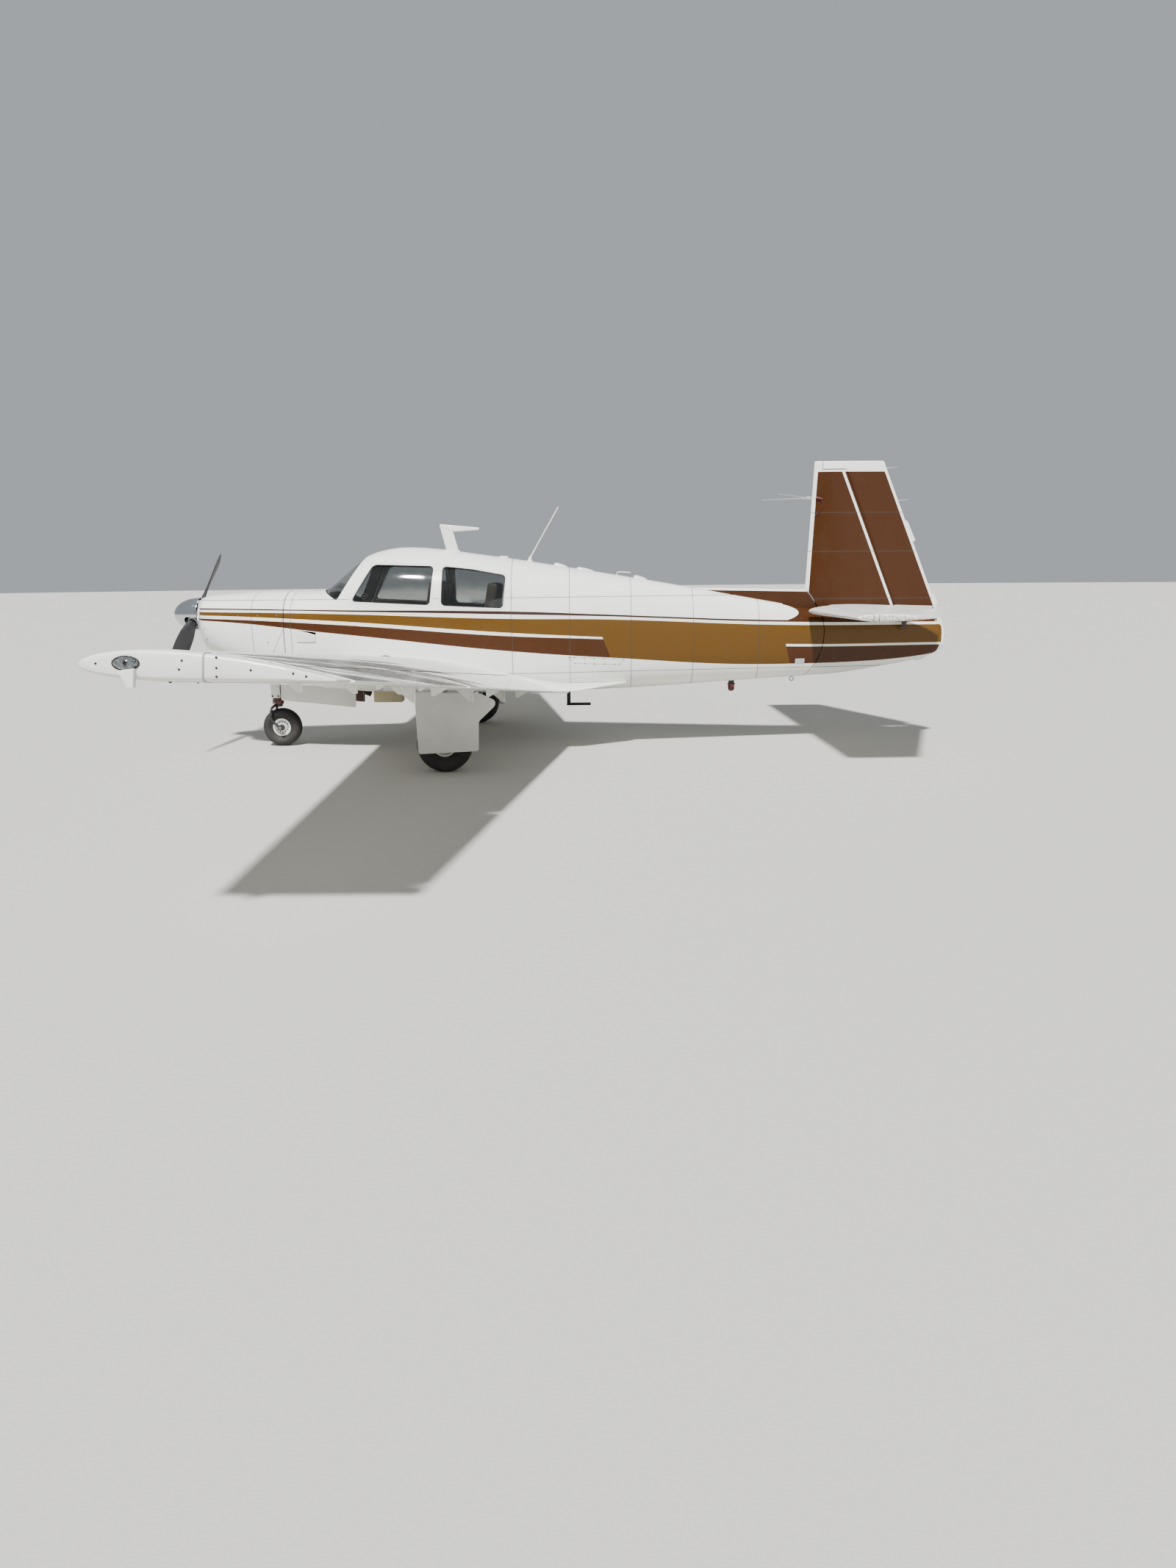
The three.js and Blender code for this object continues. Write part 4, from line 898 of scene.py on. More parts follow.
def hullPatch(outline, side, inset, thickness, corner, hole=None, holeCorner=None):
    # a piece of the hull's surface inside an outline, moved in from the skin and cut from a wider sheet
    margin = 0.04
    start, end = min(outline)[0] - margin, max(outline)[0] + margin
    around = faceOut(hullSheet(start, end, inset), hullMiddle((start + end) / 2))
    patch = thicken(around, thickness)
    y0, y1 = {1: (0, 0.9), -1: (-0.9, 0), 0: (-0.9, 0.9)}[side]
    carve(patch, [outlinePlate(outline, y0, y1, corner, 6)], "INTERSECT")
    if hole:
        carve(patch, [outlinePlate(hole, -1, 1, holeCorner or corner, 6)])
    return patch


# cowling: one sheet from the rounded front face back to the firewall, then cut in two
cowling = {
    "faceRings": [(0.2482, 0.56), (0.2484, 0.70), (0.2492, 0.84), (0.2508, 0.93), (0.2530, 0.98)],
    "cheekStations": [0.2555, 0.262, 0.270, 0.280, 0.290, 0.300, 0.312, 0.325, 0.340, 0.356, 0.376],
    "faceCentre": 1.195, "wall": 0.006, "inlet": (0.190, 1.215), "inletRadius": 0.058, "lipRadius": 0.007,
    "legSlot": (0.770, 1.155, 0.125, 0.500, 0.900), "splitGap": 0.0008,
    "fasteners": {"upper": [(0.40, 1.218), (0.55, 1.218), (0.72, 1.218), (0.90, 1.218), (1.07, 1.218)],
                  "lower": [(0.392, 1.105), (0.402, 1.010), (0.985, 0.985), (1.095, 0.745),
                            (1.100, 0.860)]},
    # start, end and radius of the two lines of the small door beside the leg
    "doorSeams": [((1.125, 1.092), (1.019, 0.895), 0.0016), ((1.019, 0.895), (0.985, 0.70), 0.0012)],
}


def cheekStation(y, z):
    # the station where the nose's skin passes through a place seen from the front
    near, far = 0.2555, 0.50
    for _ in range(24):
        middle = (near + far) / 2
        halfWidth, widest, reach, rounding = hullHalf(middle, z)
        within = (abs(y) / halfWidth) ** rounding + (abs(z - widest) / reach) ** rounding
        near, far = (near, middle) if within < 1 else (middle, far)
    return far


def makeCowling(look):
    around = hull["around"]
    turns = aroundCircle(around, 0.5) + [math.pi / around]
    stations = look["cheekStations"] + evenly(0.41, hull["cowlEnd"], 0.04)
    face = look["faceRings"]

    def rule(i, j):
        if i >= len(face):
            return hullPoint(stations[i - len(face)], turns[j])
        station, scale = face[i]
        edge = hullPoint(stations[0], turns[j])
        middle = at(station, 0, look["faceCentre"])
        return Vector((middle.x, edge.y * scale, middle.z + (edge.z - middle.z) * scale))
    sheet = gridSheet(len(face) + len(stations) - 1, around, rule)
    shell = thicken(faceOut(sheet, at(0.7, 0, 1.1)), look["wall"])
    inletSide, inletHeight = look["inlet"]
    x0, x1, half, z0, z1 = look["legSlot"]
    inlets = [rod(at(0.1, side * inletSide, inletHeight), at(0.5, side * inletSide, inletHeight),
                  look["inletRadius"], sides=40) for side, label in sides]
    carve(shell, inlets + [block(x0, x1, -half, half, z0, z1, 0.03, 4)])
    lower = twin(shell)
    split, gap = hull["cowlSplit"], look["splitGap"] / 2
    carve(shell, [block(0.1, 1.3, -0.9, 0.9, 0.4, split + gap)])
    carve(lower, [block(0.1, 1.3, -0.9, 0.9, split - gap, 1.6)])
    dress(shell, "upper_cowling_skin", "airframe", ["skinLivery"], ["upper_cowling"])
    dress(lower, "lower_cowling_skin", "airframe", ["skinLivery"], ["lower_cowling"])
    heads, seams = [], []
    for side, label in sides:
        ring = []
        for k in range(66):  # the lip follows the cheek round the inlet, and runs on past its start
            turn = 2 * math.pi * k / 64
            y = inletSide + math.cos(turn) * look["inletRadius"]
            z = inletHeight + math.sin(turn) * look["inletRadius"]
            ring.append(at(cheekStation(y, z), side * y, z))
        lip = swept(ring, look["lipRadius"], 12)
        dress(lip, f"{label}_inlet_lip", "airframe", ["whiteEnamel"])
        for places in look["fasteners"].values():
            heads += [hullSide(x, z, side) for x, z in places]
        for (x0, z0), (x1, z1), radius in look["doorSeams"]:
            path = [hullSide(blend(x0, x1, t / 8), blend(z0, z1, t / 8), side)[0] for t in range(9)]
            seams.append(swept(path, radius, 6))
    dress(studs(heads, 0.0075, 0.0016, 14), "cowl_fasteners", "airframe",
          ["machinedSteel"])
    dress(joined(seams), "cowl_door_seams", "airframe", ["sealRubber"])


makeCowling(cowling)
print("cowling")

# cabin shell with its openings, panes, seals and riveted window strips
cabin = {
    "wall": 0.030, "paneInset": 0.010, "paneThickness": 0.006, "sealWidth": 0.007, "stripWidth": 0.020,
    "screen": [(1.425, 1.436), (1.600, 1.333), (1.808, 1.700), (1.790, 1.900), (1.200, 1.900)],
    "frontWindow": [(1.7245, 1.3255), (2.4035, 1.2885), (2.4365, 1.6215), (1.9080, 1.6395)],
    "rearWindow": [(2.4960, 1.2840), (3.0280, 1.2545), (3.0535, 1.5385), (2.7500, 1.5940),
                   (2.5070, 1.6195)],
    "door": [(1.655, 0.930), (2.452, 0.930), (2.464, 1.690), (1.880, 1.700), (1.655, 1.262)],
    "gearBay": (1.180, 1.660, 0.165, 0.400, 0.800), "corner": 0.036,
    "sideOutlet": [(1.248, 1.092), (1.412, 1.070), (1.412, 1.046)],
}


def makeCabin(look):
    sheet = faceOut(hullSheet(hull["firewall"], hull["cabinBack"]), hullMiddle(2.1))
    shell = thicken(closeUp(sheet), look["wall"], 1)
    corner = look["corner"]
    x0, x1, half, z0, z1 = look["gearBay"]
    carve(shell, [
        outlinePlate(look["screen"], -1, 1, 0.03, 6), outlinePlate(look["frontWindow"], -1, 1, corner, 6),
        outlinePlate(look["rearWindow"], -1, 1, corner, 6), outlinePlate(look["door"], 0, 1, 0.05, 6),
        block(x0, x1, -half, half, z0, z1, 0.01), outlinePlate(look["sideOutlet"], -0.9, -0.5),
    ])
    dress(shell, "cabin_skin", "airframe", ["skinLivery", "cabinVinyl"], ["cabin_shell"])

    inset, pane = look["paneInset"], look["paneThickness"]
    seal, strip = look["sealWidth"], look["stripWidth"]
    screen = look["screen"]
    dress(hullPatch(grown(screen, -0.0006), 0, inset, pane, 0.03), "windscreen_pane", "airframe",
          ["windowAcrylic"], ["windscreen"])
    dress(hullPatch(grown(screen, -0.0008), 0, 0.0035, inset - 0.004, 0.03, grown(screen, -seal)),
          "windscreen_seal", "airframe", ["sealRubber"])
    windows = {"front": look["frontWindow"], "rear": look["rearWindow"]}
    for place, outline in windows.items():
        glass = hullPatch(grown(outline, -0.0006), 1, inset, pane, corner)
        edge = hullPatch(grown(outline, -0.0008), 1, 0.0035, inset - 0.004, corner, grown(outline, -seal))
        band = hullPatch(grown(outline, strip), 1, -0.0014, 0.0014, corner + strip,
                         grown(outline, -0.0008), corner)
        rivets = []
        line = grown(outline, strip * 0.5)
        for (x0, z0), (x1, z1) in zip(line, line[1:] + line[:1]):
            for share in evenly(0.0, 1.0, 0.030 / math.hypot(x1 - x0, z1 - z0))[1:-1]:
                rivets.append(hullSide(blend(x0, x1, share), blend(z0, z1, share), 1, -0.0014))
        body, node = ("cabin_door", "door_window") if place == "front" else ("airframe",
                                                                             "right_rear_window")
        dress(glass, f"right_{place}_pane", body, ["windowAcrylic"], [node])
        dress(edge, f"right_{place}_seal", body, ["sealRubber"])
        dress(band, f"right_{place}_strip", body, ["whiteEnamel"])
        heads = dress(studs(rivets, 0.0022, 0.0006, 8), f"right_{place}_rivets", body,
                      ["whiteEnamel"])
        otherSide(glass, f"left_{place}_pane", "airframe", [f"left_{place}_window"])
        otherSide(edge, f"left_{place}_seal", "airframe")
        otherSide(band, f"left_{place}_strip", "airframe")
        otherSide(heads, f"left_{place}_rivets", "airframe")


makeCabin(cabin)

# cabin door on the right: outer skin, inner frame with trim, and handle
doorLook = {"gap": 0.009, "frameInset": 0.026, "skin": 0.014, "frame": 0.014, "handle": (2.385, 1.215)}


def makeDoor(look):
    leaf = hullPatch(grown(cabin["door"], -look["gap"] * 0.5), 1, 0.0, look["skin"], 0.045,
                     cabin["frontWindow"], cabin["corner"])
    lining = hullPatch(grown(cabin["door"], -look["frameInset"]), 1, look["skin"] - 0.0005, look["frame"],
                       0.04, grown(cabin["frontWindow"], 0.006), cabin["corner"])
    dress(leaf, "cabin_door_skin", "cabin_door", ["skinLivery"], ["cabin_door"])
    dress(lining, "cabin_door_trim", "cabin_door", ["cabinVinyl"])
    x, z = look["handle"]
    point, normal = hullSide(x, z, 1)
    plate = studs([(point, normal)], 0.026, 0.0016, 24)
    lever = swept([point + normal * 0.010 + Vector((t * 0.018, 0, 0.0012 * t * (5 - t))) for t in range(6)],
                  [0.008, 0.0075, 0.007, 0.0065, 0.006, 0.005], 12, 0.7)
    stem = rod(point - normal * 0.004, point + normal * 0.012, 0.006, sides=14)
    dress(joined([plate, lever, stem]), "cabin_door_handle", "cabin_door", ["hardChrome"])
    seal = hullPatch(grown(cabin["door"], 0.004), 1, 0.013, 0.006, 0.054,
                     grown(cabin["door"], -0.010), 0.045)
    dress(seal, "cabin_door_seal", "airframe", ["sealRubber"])


makeDoor(doorLook)
print("cabin and door")

# tail cone and the tail section that turns behind it
tailLook = {
    "wall": 0.010, "baggage": [(3.170, 1.070), (3.620, 1.070), (3.620, 1.480), (3.170, 1.480)],
    "baggageTurn": 12, "baggagePivot": (3.395, 0.385), "baggageGap": 0.005,
    "ridge": [(4.700, 1.360), (4.745, 1.411), (5.742, 1.386), (5.900, 1.300), (5.900, 1.150),
              (4.700, 1.150)],
    "ridgeHalf": 0.016, "ridgeWhite": 0.020, "baggageLock": (3.395, 1.115), "baggageHinge": 1.4865,
    "endHeight": 0.948, "endRadius": 0.034,
}


def baggagePlate(outline, corner):
    x, y = tailLook["baggagePivot"]
    pivot = at(x, y, 0)
    turn = Matrix.Translation(pivot) @ Matrix.Rotation(-math.radians(tailLook["baggageTurn"]), 4, "Z")
    return moved(outlinePlate(outline, 0.15, 0.9, corner), turn @ Matrix.Translation(-pivot))


def trimDrum(radius):
    # the drum in which the tail section turns against the tail cone
    axisStation, axisHeight = hull["trimAxis"]
    return rod(at(axisStation, -0.5, axisHeight), at(axisStation, 0.5, axisHeight), radius, sides=160)


def makeTailCone(look):
    start = hull["cabinBack"] + 0.0008
    sheet = faceOut(hullSheet(start, lambda turn: arcStation(turn, hull["coneArc"])), hullMiddle(4.3))
    shell = thicken(sheet, look["wall"], 1)
    leaf = twin(shell)
    carve(shell, [baggagePlate(look["baggage"], 0.045)])
    carve(leaf, [baggagePlate(grown(look["baggage"], -look["baggageGap"]), 0.042)], "INTERSECT")
    dress(shell, "tail_cone_skin", "airframe", ["skinLivery", "bayPrimer"], ["tail_cone"])
    dress(leaf, "baggage_door_skin", "baggage_door", ["skinLivery", "bayPrimer"],
          ["baggage_door"])
    lockX, lockZ = look["baggageLock"]
    dress(studs([hullSide(lockX, lockZ, 1)], 0.012, 0.002, 20), "baggage_lock", "baggage_door",
          ["machinedSteel"])
    hinge = swept([hullSide(x, look["baggageHinge"], 1)[0] for x in evenly(3.20, 3.59, 0.03)], 0.004, 10)
    dress(hinge, "baggage_hinge", "airframe", ["whiteEnamel"])

    ridge = rimmed(outlinePlate(look["ridge"], -look["ridgeHalf"], look["ridgeHalf"]), 0.012, 4)
    away = block(hull["trimAxis"][0], 6.3, -0.3, 0.3, 0.9, 1.9)
    carve(ridge, [carve(away, [trimDrum(hull["coneArc"])])])
    bm = bmesh.new()
    bm.from_mesh(ridge.data)
    top = at(4.745, 0, 1.411 - look["ridgeWhite"])
    normal = Vector((0.025, 0, 1)).normalized()  # the ridge's top line slopes down towards the tail
    bmesh.ops.bisect_plane(bm, geom=bm.verts[:] + bm.edges[:] + bm.faces[:], plane_co=top, plane_no=normal)
    bm.to_mesh(ridge.data)
    bm.free()
    paintFaces(ridge, lambda middle, facing: (middle - top).dot(normal) > 0)
    shader = finishes["tailBrown"].node_tree.nodes["Principled BSDF"]
    setInputs(shader, {"Specular IOR Level": 0.22})  # old enamel, as dull as the livery beside it
    dress(ridge, "dorsal_ridge_skin", "airframe", ["tailBrown", "whiteEnamel"],
          ["dorsal_ridge"])

    # the tail section closes over a rounded end
    sheet = faceOut(hullSheet(lambda turn: arcStation(turn, hull["tailArc"]), hull["tailEnd"]),
                    hullMiddle(6.4))
    section = thicken(sheet, look["wall"], 1)
    dress(section, "tail_section_skin", "tail_group", ["skinLivery", "bayPrimer"],
          ["tail_section"])
    cap = lathe([(0.0, 0.0085), (0.010, 0.008), (0.022, 0.004), (0.030, -0.002), (0.034, -0.010),
                 (0.034, -0.020)],
                at(7.0345, 0, look["endHeight"]), (1, 0, 0), 32)
    top, bottom = hullRow(hull["tailEnd"])[1:3]
    reach = (top - bottom) / 2
    for vertex in cap.verts:  # the disc takes the outline of the skin's open end
        vertex.co.z = bottom + reach + (vertex.co.z - look["endHeight"]) / look["endRadius"] * reach
    dress(cap, "tail_end_cap", "tail_group", ["whiteEnamel"])


makeTailCone(tailLook)
print("tail cone and section")


# wings: ruled between two sections, with a hinge line for the flap and the aileron
wing = {
    "leading": 1.700, "halfSpan": 5.335, "rootChord": 1.917, "tipChord": 1.018, "rootHeight": 0.697,
    "tipHeight": 1.203, "rootAngle": 7.0, "tipAngle": 4.2, "rootThickness": 0.15, "tipThickness": 0.12,
    "camber": 0.018, "edge": 0.005, "capWidth": 0.118, "capRound": 0.026, "capJoint": 0.482,
    "hingeShare": 0.765,
    "flap": (0.640, 3.440), "aileron": (3.470, 5.165), "gap": 0.007, "flapGap": 0.011, "chordSteps": 34,
    # station, span, radius and top of the wheel's well; stations, spans and top of the leg's
    "wheel": (2.600, 0.840, 0.262, 0.735), "leg": (2.510, 2.690, 0.840, 1.345, 0.755),
    "jackPad": (2.480, 0.42),
    "wells": (2.32, 2.88, 0.56, 1.36), "hingeLess": 0.002, "tipMiddle": 2.15,
}


def sectionHalf(share, chord, thickness):
    return wing["edge"] / 2 * share + 5 * thickness * chord * (
        0.2969 * math.sqrt(share) - 0.126 * share - 0.3516 * share ** 2 + 0.2843 * share ** 3
        - 0.1015 * share ** 4)


def wingSection(share, side, chord, thickness, angle):
    # a point of a section from its nose: back and up, for the upper (1) or lower (-1) face
    rise = 4 * wing["camber"] * share * (1 - share) * chord + side * sectionHalf(share, chord, thickness)
    turn = math.radians(angle)
    back = share * chord
    return back * math.cos(turn) + rise * math.sin(turn), rise * math.cos(turn) - back * math.sin(turn)


@functools.lru_cache(maxsize=None)
def wingEnds(share, side):
    root = wingSection(share, side, wing["rootChord"], wing["rootThickness"], wing["rootAngle"])
    tip = wingSection(share, side, wing["tipChord"], wing["tipThickness"], wing["tipAngle"])
    return root, tip


def wingPoint(span, share, side):
    root, tip = wingEnds(round(share, 6), side)
    along = span / wing["halfSpan"]
    return at(wing["leading"] + blend(root[0], tip[0], along), span,
              blend(wing["rootHeight"] + root[1], wing["tipHeight"] + tip[1], along))


def wingNormal(span, share, side):
    run = wingPoint(span, min(share + 0.01, 1), side) - wingPoint(span, max(share - 0.01, 0), side)
    out = wingPoint(span + 0.05, share, side) - wingPoint(span - 0.05, share, side)
    normal = run.cross(out).normalized()
    return normal if normal.z * side > 0 else -normal


def hingePlace(span, share):
    high, low = wingPoint(span, share, 1), wingPoint(span, share, -1)
    return (high + low) / 2, (high - low).length / 2


def roundShares(steps):
    return [(1 - math.cos(math.pi * k / steps)) / 2 for k in range(steps + 1)]


def onHull(share, side, inset=0.0):
    # slides a wing point inwards until it meets the fuselage
    span = 0.5
    for _ in range(6):
        point = wingPoint(span, share, side)
        halfWidth, widest, reach, rounding = hullHalf(point.x - noseX, point.z)
        inside = max(1 - min(abs(point.z - widest) / reach, 1) ** rounding, 0.02)
        span = halfWidth * inside ** (1 / rounding) - inset
    return wingPoint(span, share, side)


def panelSheet(rule, spans, steps, root=None):
    # closed skin round a section: trailing edge, over the top to the nose and back underneath
    shares = roundShares(steps)
    loop = [(share, 1) for share in reversed(shares)] + [(share, -1) for share in shares[1:]]

    def place(i, j):
        share, side = loop[j] if j < len(loop) else loop[0]
        if i == 0 and root:
            return root(share, side)
        return rule(spans[i], share, side)
    return closeUp(gridSheet(len(spans) - 1, len(loop), place))


def movingSheet(spans):
    # a control surface of the wing: skin from the hinge to the trailing edge, with a round nose
    steps, arc = 18, 10
    hingeShare = wing["hingeShare"]
    shares = [hingeShare + (1 - hingeShare) * (k / steps) ** 0.9 for k in range(steps + 1)]
    count = 2 * steps + arc + 1

    def place(i, j):
        span = spans[i]
        centre, half = hingePlace(span, hingeShare)
        radius = half - wing["hingeLess"]
        if j <= steps:
            return wingPoint(span, shares[steps - j], 1)
        if j < steps + arc:
            turn = math.pi * (j - steps) / arc
            return centre + Vector((-math.sin(turn) * radius, 0, math.cos(turn) * radius))
        if j <= 2 * steps + arc:
            return wingPoint(span, shares[j - steps - arc], -1)
        return wingPoint(span, shares[steps], 1)
    return closeUp(gridSheet(len(spans) - 1, count, place))


def slabBehind(middle, back, across, run, length):
    # a thick slab behind a hinge line, from the line's middle and the slab's own three directions
    depth, thickness = 1.5, 0.9
    turn = Matrix((back, across, run)).transposed().to_4x4()
    size = Matrix.Diagonal((depth, thickness, length, 1))
    bm = bmesh.new()
    bmesh.ops.create_cube(bm, size=1, matrix=Matrix.Translation(middle + back * (depth / 2)) @ turn @ size)
    return bm


def bayCutters(first, last, gap):
    # the room a control surface of the wing turns in: a slab behind the hinge and a drum about it
    start, startHalf = hingePlace(first, wing["hingeShare"])
    end, endHalf = hingePlace(last, wing["hingeShare"])
    run = (end - start).normalized()
    back = (Vector((1, 0, 0)) - run * run.x).normalized()
    more = gap - wing["hingeLess"]
    slab = slabBehind((start + end) / 2, back, run.cross(back), run, (end - start).length)
    return [slab, rod(start, end, startHalf + more, endHalf + more, 64)]


def makeWings(look):
    capStart = look["halfSpan"] - look["capWidth"]
    spans = [0.5] + evenly(0.62, capStart - 0.001, 0.085)
    x, y, radius, wheelTop = look["wheel"]
    x0, x1, y0, y1, legTop = look["leg"]
    skin = panelSheet(wingPoint, spans, look["chordSteps"], lambda share, side: onHull(share, side, 0.006))
    skin = carve(skin,
                 bayCutters(*look["flap"], look["flapGap"]) + bayCutters(*look["aileron"], look["gap"])
                 + [rod(at(x, y, 0.3), at(x, y, wheelTop), radius, sides=64),
                    block(x0, x1, y0, y1, 0.3, legTop, 0.02, 3)])
    first, last, inner, outer = look["wells"]

    def inWell(middle, facing):
        # the wells are primed inside: their walls, and their roofs above the lower skin
        station = middle.x - noseX
        if not (first < station < last and inner < middle.y < outer):
            return False
        chord = 1.75  # about where the wells are
        skinLevel = wingPoint(middle.y, min(max((station - look["leading"]) / chord, 0.05), 0.9), -1).z
        return facing.z < -0.9 and middle.z > skinLevel + 0.02 or abs(facing.z) < 0.3
    paintFaces(skin, inWell)
    dress(skin, "right_wing_skin", "airframe", ["wingEnamel", "bayPrimer"], ["right_wing"])
    otherSide(skin, "left_wing_skin", "airframe", ["left_wing"])

    # tip cap with a rounded outer edge
    lastSpan = look["halfSpan"]
    rows = [(capStart + 0.0005, 0.0), (capStart + 0.05, 0.0), (lastSpan - look["capRound"], 0.0),
            (lastSpan - 0.016, 0.03), (lastSpan - 0.008, 0.09), (lastSpan - 0.003, 0.18), (lastSpan, 0.32)]

    def capRule(span, share, side):
        shrink = next(amount for place, amount in rows if abs(place - span) < 1e-6)
        point, middle = wingPoint(span, share, side), hingePlace(span, share)[0]
        point.z = blend(point.z, middle.z, shrink)
        point.x = blend(point.x, noseX + look["tipMiddle"], shrink * 0.05)
        return point
    cap = dress(panelSheet(capRule, [place for place, amount in rows], 28), "right_tip_cap", "airframe",
                ["whiteEnamel"], ["right_wing_tip"])
    otherSide(cap, "left_tip_cap", "airframe", ["left_wing_tip"])
    # joint of the removable front part, round the end of the cap
    path = []
    for side, order in ((1, rows[1:]), (-1, rows[:0:-1])):
        for span, amount in order:
            point, middle = wingPoint(span, look["capJoint"], side), hingePlace(span, look["capJoint"])[0]
            path.append(Vector((point.x, point.y, blend(point.z, middle.z, amount))))
    seam = dress(swept(path, 0.0046, 8), "right_cap_joint", "airframe", ["strutGrey"])
    otherSide(seam, "left_cap_joint", "airframe")

    for name in ("flap", "aileron"):
        first, last = look[name]
        sheet = movingSheet(evenly(first + look["gap"], last - look["gap"], 0.09))
        moving = dress(sheet, f"right_{name}_skin", f"right_{name}", ["wingEnamel"],
                       [f"right_{name}"])
        otherSide(moving, f"left_{name}_skin", f"left_{name}", [f"left_{name}"])

    # fillet along the root, from under the nose over the top to the trailing edge
    shares = roundShares(40)
    path = [onHull(share, -1) for share in reversed(shares[:20])] + [onHull(share,
                                                                            1) for share in shares[1:]]
    for side, label in sides:
        bead = swept([Vector((point.x, point.y * side, point.z)) for point in path], 0.006, 8)
        dress(bead, f"{label}_root_bead", "airframe", ["whiteEnamel"])


makeWings(wing)

# root fairing behind the wing. Each row has a station, its reach from the middle, and the heights of the
# inner top, the knee, the outer edge and the underside
fairing = {
    "rows": [(3.100, 0.560, 0.705, 0.676, 0.660, 0.600), (3.300, 0.590, 0.655, 0.628, 0.606, 0.560),
             (3.516, 0.625, 0.622, 0.575, 0.549, 0.541), (3.650, 0.600, 0.612, 0.570, 0.549, 0.541),
             (3.900, 0.450, 0.603, 0.585, 0.573, 0.565), (4.100, 0.335, 0.600, 0.597, 0.593, 0.583)],
    "kneeIn": 0.080, "inner": 0.150,
}


def makeFairings(look):
    rows = look["rows"]

    def value(station, column):
        i = next((k for k in range(len(rows) - 2) if station <= rows[k + 1][0]), len(rows) - 2)
        t = (station - rows[i][0]) / (rows[i + 1][0] - rows[i][0])
        return blend(rows[i][column], rows[i + 1][column], t)
    stations = evenly(3.100, 4.100, 0.05)
    around = 24

    def ring(i, j):
        station = stations[i]
        reach, high, knee, edge, low = (value(station, column) for column in range(1, 6))
        corners = [(look["inner"], low), (reach - 0.004, low), (reach, low + 0.003), (reach, edge),
                   (reach - look["kneeIn"] * 0.5, blend(edge, knee, 0.7)),
                   (reach - look["kneeIn"], knee + 0.004),
                   (blend(reach, look["inner"], 0.5), blend(knee, high, 0.45)), (look["inner"], high)]
        k = (j % around) * len(corners) / around
        here, there = corners[int(k)], corners[(int(k) + 1) % len(corners)]
        return at(station, blend(here[0], there[0], k % 1), blend(here[1], there[1], k % 1))
    body = closeUp(gridSheet(len(stations) - 1, around, ring))
    body = carve(body,
                 [panelSheet(wingPoint, [0.3, 0.62, 0.80], 24), closeUp(hullSheet(2.9, 4.3, 0.004, 64))])
    rimmed(body, 0.004, 2, 50)
    dress(body, "right_root_fairing_skin", "airframe", ["whiteEnamel"],
          ["right_root_fairing"])
    otherSide(body, "left_root_fairing_skin", "airframe", ["left_root_fairing"])


makeFairings(fairing)
print("wings")

# tail surfaces: tailplane and elevator, then fin and rudder, whose edges are pairs of station and height
tail = {
    "leading": 5.750, "height": 1.196, "halfSpan": 1.790, "rootEdge": 7.020, "tipEdge": 6.372,
    "thickness": 0.085,
    "hingeRoot": 6.612, "hingeTip": 6.160, "inner": 0.105, "horn": 0.120, "hornFront": 5.872, "gap": 0.007,
    "finTop": 2.503, "finHorn": 2.438, "finThickness": 0.075, "hingeLow": (6.625, 1.149),
    "hingeHigh": (6.091, 2.438),
    "hingeRadii": (0.031, 0.023), "finFront": ((5.747, 1.384), (5.797, 2.503)),
    "finBack": ((7.000, 1.120), (6.413, 2.503)), "tipMiddle": 6.06, "finMiddle": 6.10,
}


def tailPoint(span, share, side):
    chord = blend(tail["rootEdge"], tail["tipEdge"], span / tail["halfSpan"]) - tail["leading"]
    return at(tail["leading"] + share * chord, span,
              tail["height"] + side * sectionHalf(share, chord, tail["thickness"]))


def finLine(low, high, height):
    (x0, z0), (x1, z1) = low, high
    return blend(x0, x1, (height - z0) / (z1 - z0))


def finPoint(height, share, side):
    front = finLine(*tail["finFront"], height)
    chord = finLine(*tail["finBack"], height) - front
    return at(front + share * chord, side * sectionHalf(share, chord, tail["finThickness"]), height)


